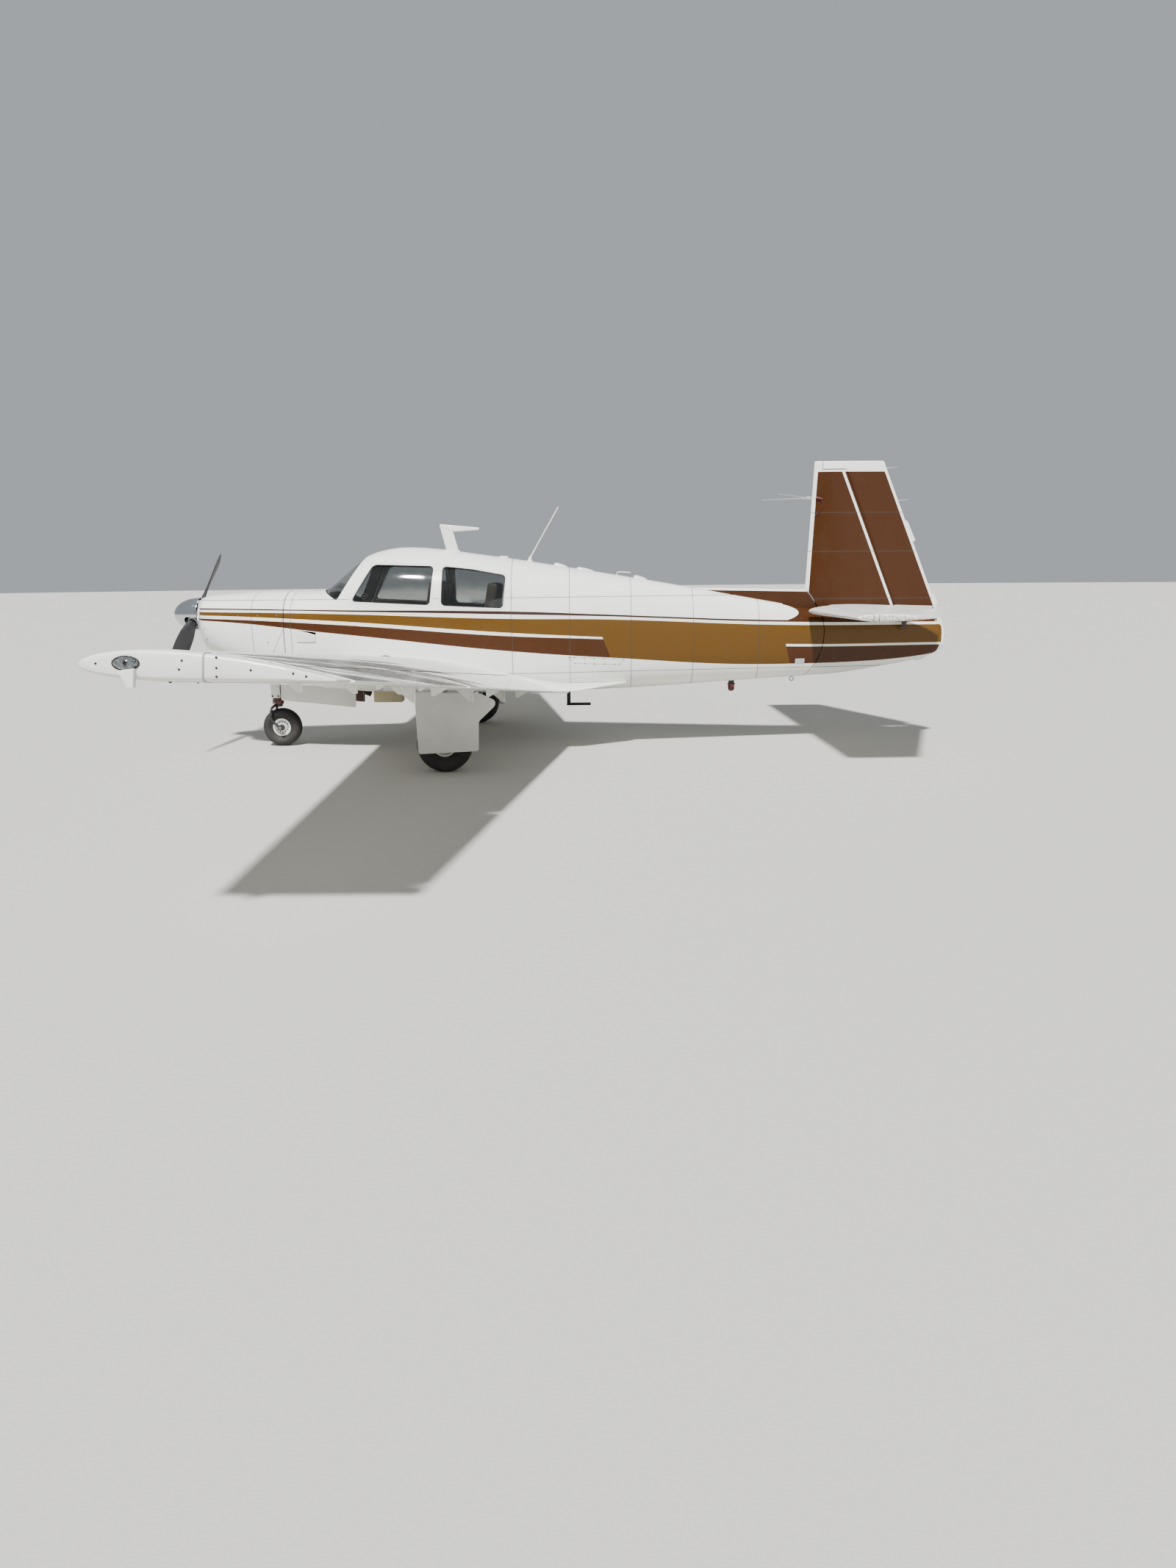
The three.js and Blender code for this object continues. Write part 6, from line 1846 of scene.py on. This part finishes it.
def makeAerials(look):
    mast = rimmed(outlinePlate(look["roofMast"], -0.013, 0.013), 0.0085, 4)
    blade = rimmed(outlinePlate(look["roofBlade"], -0.012, 0.012), 0.0075, 4)
    foot = lathe([(0.0, 0.012), (0.045, 0.010), (0.058, 0.004), (0.060, -0.006), (0.0, -0.006)],
                 roofSpot(2.556, -0.003), (0, 0, 1), 32)
    moved(foot, Matrix.Diagonal((1, 0.45, 1, 1)))
    dress(joined([mast, blade, foot]), "roof_aerial", "airframe", ["whiteEnamel"],
          ["roof_antenna"])

    points = [at(x, 0, z) for x, z in look["whip"]]
    whip = swept(smoothLine(points, 4), [0.0095 - 0.0045 * min(k / 14, 1) for k in range(21)], 12)
    cone = lathe([(0.0, 0.045), (0.008, 0.044), (0.0105, 0.030), (0.017, 0.014), (0.026, 0.006),
                  (0.028, -0.004), (0.0, -0.004)], roofSpot(3.244, -0.001), (0.05, 0, 1), 24)
    ball = lathe([(0.0, 0.004), (0.003, 0.002), (0.0035, -0.001), (0.0, -0.003)],
                 points[-1] - Vector((0.002, 0, 0.006)), (0, 0, 1), 12)
    dress(joined([whip, cone, ball]), "whip_aerial", "airframe", ["whiteEnamel"],
          ["whip_antenna"])

    # small roof pieces behind the cabin: lip, scoop, fairing, round cap, bent aerial
    roof = hullRow(3.01)[1]
    small = [block(2.976, 3.052, -0.11, 0.11, roof - 0.012, roof + 0.010, 0.005, 3)]
    small += [roofBump(*size) for size in look["roofBumps"]]
    bent = [roofSpot(4.030, -0.004), roofSpot(4.034, 0.018), roofSpot(4.050, 0.030), roofSpot(4.100, 0.036),
            roofSpot(4.156, 0.040)]
    small.append(swept(smoothLine(bent, 4), 0.0042, 10))
    dress(joined(small), "roof_fittings", "airframe", ["whiteEnamel"])

    rods = []
    station, height = look["finRods"]["root"]
    tipStation, tipSide, tipHeight = look["finRods"]["tip"]
    for side in (1, -1):
        start = at(station, side * 0.006, height)
        end = at(tipStation, side * tipSide, tipHeight)
        rods.append(rod(start, end, look["finRods"]["radius"], 0.0026, sides=12))
        rods.append(rod(start, start + (end - start) * 0.14, 0.0085, 0.0065, sides=14, rounding=0.001))
    hubBlock = block(station - 0.030, station + 0.012, -0.018, 0.018,
                     height - 0.013, height + 0.013, 0.006, 3)
    dress(joined(rods + [hubBlock]), "fin_aerial_rods", "tail_group", ["aerialGrey"])
    line = [at(5.822, -0.028, 2.186), at(5.850, -0.033, 2.178), at(5.868, -0.034, 2.150),
            at(5.862, -0.033, 2.105), at(5.838, -0.030, 2.062), at(5.806, -0.026, 2.026)]
    lead = swept(smoothLine(line, 5), 0.0034, 10)
    plug = rod(at(5.812, -0.026, 2.190), at(5.872, -0.032, 2.180), 0.011, 0.009, sides=16, rounding=0.002)
    dress(joined([lead, plug]), "fin_aerial_lead", "tail_group", ["collarRed"])


makeAerials(fittings)


def makeLights(look):
    # tip lights: a bulb in a pocket under a clear lens, the pocket painted near black as shade with painted
    # glints, and a white skid fin below
    for side, body in sides:
        centre = at(1.890, side * (wing["halfSpan"] + 0.0006), 1.205)
        colour = {"right": "green", "left": "red"}[body]

        def oval(profile, stretch):
            # a turned piece on the wing's end, drawn out along the flight
            return moved(lathe(profile, Vector((0, 0, 0)), (0, side, 0), 40),
                         Matrix.Translation(centre) @ Matrix.Diagonal((stretch, 1, 1, 1)))
        lens = oval([(0.0, 0.0258), (0.008, 0.0245), (0.016, 0.020), (0.022, 0.012), (0.0255, 0.003),
                     (0.0255, 0.0), (0.0, 0.0)], 1.9)
        dress(lens, f"{body}_tip_lens", "airframe", ["clearLens"], [f"{body}_tip_light"])
        # the pocket disc behind the lens carries painted shade and painted glints
        pocket = oval([(0.0, 0.0012), (0.0222, 0.0012), (0.0225, 0.0), (0.0, 0.0)], 1.85)
        dress(pocket, f"{body}_lens_pocket", "airframe", ["pocketShadeAndGlints"])
        fin = [(1.858, 1.178), (1.927, 1.185), (1.918, 1.109), (1.893, 1.109), (1.881, 1.143)]
        fin = rimmed(outlinePlate(fin, *sorted((side * 5.330, side * 5.357)), 0.004, 3), 0.005, 3)
        dress(fin, f"{body}_tip_fin", "airframe", ["whiteEnamel"])
        heads = [(at(x, side * wing["halfSpan"], z), Vector((0, side, 0))) for x, z in look["endScrews"]]
        dress(studs(heads, 0.0055, 0.0013, 12), f"{body}_end_screws", "airframe",
              ["matteBlack"])
        drain = rod(at(2.052, side * 5.05, 1.150), at(2.060, side * 5.05, 1.094), 0.007, 0.004, sides=14)
        dress(drain, f"{body}_tip_drain", "airframe", ["matteBlack"])
        bulb = lathe([(0.0, 0.013), (0.004, 0.0118), (0.006, 0.008), (0.006, 0.0012), (0.0, 0.0012)],
                     centre, (0, side, 0), 24)
        dress(bulb, f"{body}_tip_bulb", "airframe", [f"{colour}Lens"])
        collar = oval([(0.0262, -0.004), (0.0300, -0.002), (0.0300, 0.002), (0.0270, 0.0035),
                       (0.0262, 0.0030), (0.0262, -0.004)], 1.85)
        dress(collar, f"{body}_lens_collar", "airframe", ["sealRubber"])

    seat = lathe([(0.0, 0.0), (0.032, 0.0), (0.031, 0.008), (0.026, 0.023), (0.0, 0.023)],
                 at(7.0205, 0, 0.948), (1, 0, 0), 40)
    dress(seat, "tail_lamp_seat", "tail_group", ["whiteEnamel"])
    tailLens = lathe([(0.0, 0.0155), (0.006, 0.0145), (0.011, 0.0110), (0.0150, 0.0055), (0.0158, 0.0),
                      (0.0, 0.0)],
                     at(7.0440, 0, 0.948), (1, 0, 0), 32)
    dress(tailLens, "tail_lens", "tail_group", ["clearLens"], ["tail_light"])
    beacon = lathe([(0.0, 0.0), (0.016, 0.002), (0.026, 0.010), (0.030, 0.024), (0.031, 0.068),
                    (0.0, 0.068)],
                   at(5.090, 0, 0.464), (0, 0, 1), 40)
    dress(beacon, "belly_beacon_lens", "airframe", ["redLens"], ["belly_beacon"])
    seat = lathe([(0.0, 0.0), (0.0325, 0.0), (0.0345, 0.004), (0.0345, 0.014), (0.027, 0.018),
                  (0.027, 0.060), (0.0, 0.060)], at(5.090, 0, 0.524), (0, 0, 1), 40)
    dress(seat, "belly_beacon_base", "airframe", ["matteBlack"])
    edge = rimmed(outlinePlate(look["tailEdge"], -0.011, 0.011, 0.010, 4), 0.006, 3)
    dress(edge, "tail_edge", "tail_group", ["whiteEnamel"])


makeLights(fittings)


def makeUnderside(look):
    # exhaust stub with its clamp, boarding step, brackets, jack pads, belly box and outlet flaps
    pipeLine = [at(1.400, 0.250, 0.570), at(1.470, 0.250, 0.538), at(1.560, 0.250, 0.502),
                at(1.699, 0.250, 0.4475)]
    start, end = pipeLine[1], pipeLine[3]
    length = (end - start).length
    pipe = lathe([(0.0265, 0.0), (0.030, 0.0), (0.030, length - 0.004), (0.0312, length - 0.002),
                  (0.0300, length), (0.0265, length - 0.001), (0.0265, 0.0)], start, end - start, 40)
    stub = rod(pipeLine[0], pipeLine[1] + (end - start) * 0.02, 0.0295, sides=32)
    clamp = lathe([(0.0302, 0.060), (0.034, 0.061), (0.034, 0.074), (0.0302, 0.075), (0.0302, 0.060)],
                  start, end - start, 40)
    dress(joined([pipe, stub, clamp]), "exhaust_stub", "airframe", ["exhaustSteel"],
          ["exhaust_pipe"])

    tread = block(3.556, 3.790, 0.340, 0.440, 0.3005, 0.3180, 0.006, 3)
    post = block(3.558, 3.594, 0.381, 0.399, 0.306, 0.542, 0.005, 3)
    ridges = [block(x, x + 0.006, 0.348, 0.432, 0.316, 0.3196, 0.001) for x in evenly(3.610, 3.775, 0.018)]
    dress(joined([tread, post] + ridges), "step_tread", "airframe", ["gritBlack"],
          ["boarding_step"])

    arms, flapArms, aileronArms = [], [], []
    groups = [(span, flapArms, 0.17, 0.088) for span in look["bracketSpans"]]
    groups += [(span, aileronArms, 0.11, 0.040) for span in look["aileronBrackets"]]
    for span, moving, reach, drop in groups:
        centre, half = hingePlace(span, wing["hingeShare"])
        x, z = centre.x - noseX, centre.z - half
        line = wingPoint(span, 0.9, -1) - wingPoint(span, 0.6, -1)
        slope = line.z / line.x
        front = [(x - reach, z - slope * reach + 0.012), (x - 0.050, z - drop), (x - 0.026, z - drop),
                 (x - 0.034, z + 0.012)]
        rear = [(x + 0.060, z + 0.010), (x + 0.066, z - drop * 0.55), (x + 0.080, z - drop * 0.58),
                (x + reach * 1.05, z + slope * reach * 1.05 + 0.006)]
        arms.append(rimmed(outlinePlate(front, span - 0.0035, span + 0.0035, 0.004, 3), 0.001, 1, 50))
        moving.append(rimmed(outlinePlate(rear, span - 0.0035, span + 0.0035, 0.004, 3), 0.001, 1, 50))
        bolt = at(x - 0.038, span - 0.009, z - drop + 0.012)
        arms.append(rod(bolt, bolt + Vector((0, 0.018, 0)), 0.0065, sides=6))
        link = at(x - 0.038, span, z - drop + 0.012)
        arms.append(rod(link + Vector((0, 0.007, 0)), at(x - 0.030, span + 0.007, z + 0.014), 0.005,
                        sides=10))
    for parts, name, body in ((arms, "hinge_arms", "airframe"), (flapArms, "flap_arms", "right_flap"),
                              (aileronArms, "aileron_arms", "right_aileron")):
        obj = dress(joined(parts), f"right_{name}", body, ["whiteEnamel"])
        otherSide(obj, f"left_{name}", body.replace("right", "left"))

    jackPad = lathe([(0.0, -0.012), (0.024, -0.012), (0.0235, 0.012), (0.019, 0.0158), (0.0, 0.0158)],
                    wingPoint(*wing["jackPad"], -1), (0, 0, -1), 32)
    jackPad = dress(jackPad, "right_jack_pad", "airframe", ["machinedSteel"])
    otherSide(jackPad, "left_jack_pad", "airframe")
    hoop = lathe(roundTube(0.018, 0.005), at(5.650, 0, 0.573), (0, 1, 0), 32)
    stem = rod(at(5.650, 0, 0.588), at(5.650, 0, 0.604), 0.006, sides=14)
    dress(joined([hoop, stem]), "tail_tie_down", "airframe", ["machinedSteel"])
    dress(block(1.835, 2.095, -0.330, -0.210, 0.431, 0.540, 0.012, 3), "belly_box", "airframe",
          ["fadedTan"])
    for side, label in sides:
        outline = [(1.243, 1.066), (1.410, 1.042), (1.410, 0.990), (1.243, 0.990)]
        flap = hullPatch(outline, side, -0.009, 0.007, 0.004)
        dress(flap, f"{label}_outlet_flap", "airframe", ["whiteEnamel"])
        arm = [(6.604, 1.166), (6.668, 1.172), (6.645, 1.022), (6.612, 1.046)]
        arm = rimmed(outlinePlate(arm, *sorted((side * 0.122, side * 0.130)), 0.004, 3), 0.001)
        dress(arm, f"{label}_elevator_arm", f"{label}_elevator", ["matteBlack"])


makeUnderside(fittings)


def makeSkinDetails(look):
    # access panel and rows of dark screws behind the wing, on both sides
    for side, label in sides:
        corners = look["accessPanel"]
        edge, screws = [], []
        for (x0, z0), (x1, z1) in zip(corners, corners[1:] + corners[:1]):
            steps = evenly(0, 1, 0.045 / math.hypot(x1 - x0, z1 - z0))
            line = [hullSide(blend(x0, x1, share), blend(z0, z1, share), side) for share in steps]
            edge += [point - normal * 0.0004 for point, normal in line]
            screws += line[:-1:2]
        dress(swept(edge, 0.0012, 6), f"{label}_access_seam", "airframe", ["sealRubber"])
        dress(studs(screws, 0.0055, 0.0012, 10), f"{label}_access_screws", "airframe",
              ["matteBlack"])
        # static port plate low on the tail cone
        outline = [(5.647, 0.719), (5.733, 0.719), (5.733, 0.769), (5.647, 0.769)]
        plate = hullPatch(outline, side, -0.0012, 0.0016, 0.006)
        dress(plate, f"{label}_port_plate", "airframe", ["aerialGrey"])
    # storm-window latch on the left pane and its finger ring
    point, normal = hullSide(1.842, 1.372, -1, 0.010)
    ring = lathe(roundTube(0.024, 0.0032), point + normal * 0.002, normal, 36)
    catch = rod(point - normal * 0.004, point + normal * 0.004, 0.007, sides=18)
    dress(joined([ring, catch]), "storm_window_ring", "airframe", ["sealRubber"])
    # screws round the wing tip cap and along the wing's last rib
    for side, label in sides:
        flip = Vector((1, side, 1))
        heads = [(wingPoint(span, share, face) * flip, wingNormal(span, share, face) * flip)
                 for share in look["tipScrewShares"] for face in (1, -1) for span in (5.226, 5.205)]
        dress(studs(heads, 0.0042, 0.0010, 10), f"{label}_tip_screws", "airframe",
              ["machinedSteel"])
        shares = roundShares(30)
        seam = [wingPoint(wing["halfSpan"] - wing["capWidth"], share, face) * flip
                for share, face in [(s, 1) for s in reversed(shares)] + [(s, -1) for s in shares[1:]]]
        dress(swept(seam, 0.0022, 6), f"{label}_tip_seam", "airframe", ["strutGrey"])
        # fuel filler cap, hinged flush with the wing top, in the inner bay
        point, normal = wingPoint(1.62, 0.30, 1) * flip, wingNormal(1.62, 0.30, 1) * flip
        filler = lathe([(0.0, 0.004), (0.030, 0.004), (0.034, 0.003), (0.036, 0.0), (0.040, 0.0015),
                        (0.044, 0.0005), (0.045, -0.004), (0.0, -0.004)], point, normal, 40)
        tab = moved(block(-0.02, 0.02, -0.006, 0.006, 0.0, 0.006, 0.002),
                    Matrix.Translation(point + normal * 0.003)
                    @ normal.to_track_quat("Z", "Y").to_matrix().to_4x4() @ fromNose)
        dress(joined([filler, tab]), f"{label}_fuel_cap", "airframe", ["machinedSteel"])
    # grounding wicks and bent tabs on the moving tail surfaces
    wicks = [rod(at(x, 0, z), at(x + 0.10, 0, z + 0.010), 0.0024, 0.0012, sides=8)
             for x, z in look["wicks"]["rudder"]]
    dress(joined(wicks), "rudder_wicks", "rudder", ["aerialGrey"])
    tabs = []
    for z0, z1 in ((1.990, 1.800), (1.345, 1.238)):
        x0, x1 = (finLine(*tail["finBack"], z) for z in (z0, z1))
        outline = [(x0 - 0.004, z0), (x0 + 0.024, z0 - 0.01), (x1 + 0.024, z1 + 0.01), (x1 - 0.004, z1)]
        tabs.append(rimmed(outlinePlate(outline, -0.001, 0.001), 0.0005, 1))
    dress(joined(tabs), "rudder_tabs", "rudder", ["whiteEnamel"])
    wicks = [rod(at(x, y, tail["height"]), at(x + 0.13, y + 0.012, tail["height"] + 0.004), 0.0024, 0.0012,
                 sides=8) for y, x in look["wicks"]["tail"]]
    wicks = dress(joined(wicks), "right_elevator_wicks", "right_elevator", ["aerialGrey"])
    otherSide(wicks, "left_elevator_wicks", "left_elevator")


makeSkinDetails(fittings)
print("fittings")

# cabin inside: floor, panel with plain dials, control wheels, two seats and a bench
inside = {
    "panel": (1.560, 1.610, 0.470, 1.010, 1.342), "dialRadius": 0.040, "yokeSide": 0.250,
    "yokeHeight": 1.190,
    "dials": [(-0.345, 1.245), (-0.255, 1.245), (-0.165, 1.245), (-0.345, 1.150), (-0.255, 1.150),
              (-0.165, 1.150), (0.150, 1.245), (0.235, 1.245), (0.320, 1.245), (0.150, 1.160),
              (0.235, 1.160), (0.320, 1.160)],
    "seatSide": 0.285, "seatHalf": 0.215, "benchHalf": 0.455,
    # a control wheel's grip: station, then side and height from its middle
    "grip": [(1.770, -0.118, 0.052), (1.772, -0.122, 0.020), (1.770, -0.108, -0.028),
             (1.770, -0.060, -0.036), (1.768, 0, -0.004), (1.770, 0.060, -0.036),
             (1.770, 0.108, -0.028), (1.772, 0.122, 0.020), (1.770, 0.118, 0.052)],
}


def pad(x0, x1, half, z0, z1, crown, middle=0.0):
    # a stuffed pad: a rounded block whose faces crown and whose sides pull in between the corners

    def place(u, v, w):
        thick = (z1 - z0) / 2 + crown * (1 - abs(v) ** 2.2) * (1 - abs(u) ** 2.4)
        channel = 0.006 * (math.cos(v * math.pi * 4) - 1) / 2 if abs(v) < 0.97 else 0
        x = (x0 + x1) / 2 + u * (x1 - x0) / 2
        z = (z0 + z1) / 2 + w * (thick + channel)
        return at(x, middle + v * half, z)
    bm = bmesh.new()
    bmesh.ops.create_cube(bm, size=2)
    bmesh.ops.subdivide_edges(bm, edges=bm.edges[:], cuts=23, use_grid_fill=True)
    sewn = bm.verts.layers.deform.verify()
    edge = 0.10  # share of the half size that the rounding takes
    for vertex in bm.verts:
        u, v, w = vertex.co
        if w < -0.9 or w > 0.9 and min(abs(abs(v) - 0.25), abs(abs(v) - 0.75)) < 0.02:
            vertex[sewn][0] = 1.0  # the base and the seams of the channels stay where they are
        rounded = []
        for k in (u, v, w):
            turn = min((abs(k) - 1 + edge) / edge, 1) * math.pi / 2
            rounded.append(math.copysign(1 - edge + edge * math.sin(turn), k) if abs(k) > 1 - edge else k)
        pull = 1 - 0.035 * (max(abs(u), abs(w)) ** 4) * (max(abs(v), abs(w)) ** 4)
        vertex.co = place(rounded[0] * pull, rounded[1] * pull, rounded[2])
    bmesh.ops.smooth_vert(bm, verts=bm.verts, factor=0.5, use_axis_x=True, use_axis_y=True, use_axis_z=True)
    bmesh.ops.recalc_face_normals(bm, faces=bm.faces)
    return bm


def leaned(bm, pivot, degrees):
    turn = Matrix.Translation(pivot) @ Matrix.Rotation(math.radians(degrees), 4, "Y")
    return moved(bm, turn @ Matrix.Translation(-pivot))


def stuffed(piece, most):
    # air pressure fills the cover out between its seams, and no point moves further than the stuffing would
    cover = loose(piece)
    cover.vertex_groups.new(name="sewn")
    start = [vertex.co.copy() for vertex in cover.data.vertices]
    cloth = cover.modifiers.new("cloth", "CLOTH")
    cloth.settings.quality = 5
    cloth.settings.mass = 0.25
    cloth.settings.use_pressure = True
    cloth.settings.uniform_pressure_force = 4
    cloth.settings.vertex_group_mass = "sewn"
    cloth.settings.effector_weights.gravity = 0
    cloth.point_cache.frame_end = 16
    for step in range(1, 17):
        bpy.context.scene.frame_set(step)
    applied(cover)
    for vertex, place in zip(cover.data.vertices, start):
        move = vertex.co - place
        vertex.co = place + move * min(1, most / max(move.length, 0.000001))
    cover.vertex_groups.clear()
    finer = cover.modifiers.new("finer", "SUBSURF")
    finer.levels = finer.render_levels = 1
    applied(cover)
    bpy.context.scene.frame_set(1)
    return cover


def dialMark(bar, centre, lift, angle):
    turn = Matrix.Rotation(angle, 4, "X")
    return moved(bar, Matrix.Translation(centre + Vector((lift, 0, 0))) @ turn @ fromNose)


def makeInside(look):
    nodes = frame["nodes"]
    for node, finish in (("engine_block", "castGrey"), ("nose_gear_bay", "bayPrimer"),
                         ("cabin_floor", "carpetPile")):
        nodes[node].data.materials.clear()
        nodes[node].data.materials.append(finishes[finish])
    x0, x1, half, z0, z1 = look["panel"]
    board = outlinePlate([(x0, z0), (x1, z0), (x1, z1), (x0, z1)], -half, half)
    shade = outlinePlate([(1.470, 1.352), (1.640, 1.330), (1.645, 1.338), (1.636, 1.347), (1.470, 1.368)],
                         -0.430, 0.430)
    inner = loose(closeUp(hullSheet(1.3, 2.0, 0.042, 64)))
    board = rimmed(carve(board, [inner], "INTERSECT", keep=True), 0.003)
    shade = carve(rimmed(shade, 0.003), [inner], "INTERSECT")
    dress(joined([board, shade]), "panel_board", "airframe", ["wrinkleBlack"],
          ["instrument_panel"])
    faces, rims, marks = [], [], []
    for y, z in look["dials"]:
        centre = at(x1, y, z)
        faces.append(rod(centre - Vector((0.002, 0, 0)), centre + Vector((0.0015, 0, 0)),
                         look["dialRadius"], sides=32))
        rims.append(lathe([(0.0400, 0.0), (0.0445, 0.0), (0.0445, 0.004), (0.0420, 0.006),
                           (0.0400, 0.004), (0.0400, 0.0)], centre, (1, 0, 0), 32))
        for angle in aroundCircle(12):
            stroke = block(-0.0006, 0.0006, -0.0012, 0.0012, 0.0275, 0.0355)
            marks.append(dialMark(stroke, centre, 0.0018, angle))
        needle = block(-0.0008, 0.0008, -0.0012, 0.0012, -0.006, 0.027)
        # each needle points its own way
        marks.append(dialMark(needle, centre, 0.0022, 0.7 + 5 * y + 3 * z))
    dress(joined(faces), "dial_faces", "airframe", ["dialBlack"])
    dress(joined(rims), "dial_rims", "airframe", ["matteBlack"])
    dress(joined(marks), "dial_marks", "airframe", ["dialWhite"])
    for side, label in sides:
        y, z = side * look["yokeSide"], look["yokeHeight"]
        shaft = rod(at(1.600, y, z), at(1.768, y, z), 0.013, sides=20)
        grip = [at(station, y + across, z + up) for station, across, up in look["grip"]]
        grip = swept(smoothLine(grip, 6), 0.0125, 12)
        boss = lathe([(0.0, -0.014), (0.034, -0.012), (0.038, 0.0), (0.034, 0.012), (0.0, 0.014)],
                     at(1.770, y, z - 0.006), (1, 0, 0), 28)
        dress(joined([shaft, grip, boss]), f"{label}_control_wheel", "airframe",
              ["matteBlack"])
    for side, label in sides:
        y, half = side * look["seatSide"], look["seatHalf"]
        cushion = stuffed(pad(1.985, 2.440, half, 0.878, 0.985, 0.018, middle=y), 0.014)
        dress(cushion, f"{label}_seat_cushion", "airframe", ["seatCloth"],
                        [f"{label}_seat"], 60)
        back = pad(2.330, 2.790, half - 0.010, 1.080, 1.170, 0.014, middle=y)
        back = stuffed(leaned(back, at(2.400, y, 1.100), -80), 0.014)
        dress(back, f"{label}_seat_back", "airframe", ["seatCloth"], (), 60)
        bars = [(2.08, 0.645, 2.08, 0.885, 0.014), (2.40, 0.645, 2.40, 0.885, 0.014),
                (2.00, 0.646, 2.47, 0.646, 0.012)]
        frameBars = [rod(at(x0, bar, z0), at(x1, bar, z1), radius, sides=14)
                     for x0, z0, x1, z1, radius in bars for bar in (y + 0.17, y - 0.17)]
        dress(joined(frameBars), f"{label}_seat_frame", "airframe", ["strutGrey"])
    half = look["benchHalf"]
    dress(block(2.720, 3.035, -half, half, 0.640, 0.850, 0.01), "bench_base", "airframe",
          ["carpetPile"])
    cushion = stuffed(pad(2.685, 3.020, half, 0.858, 0.955, 0.014), 0.012)
    dress(cushion, "bench_cushion", "airframe", ["seatCloth"], ["rear_bench"], 60)
    back = leaned(pad(2.860, 3.260, half - 0.01, 1.080, 1.160, 0.010), at(2.900, 0, 1.110), -83)
    back = stuffed(back, 0.012)
    dress(back, "bench_back", "airframe", ["seatCloth"], (), 60)


makeInside(inside)
print("cabin inside")
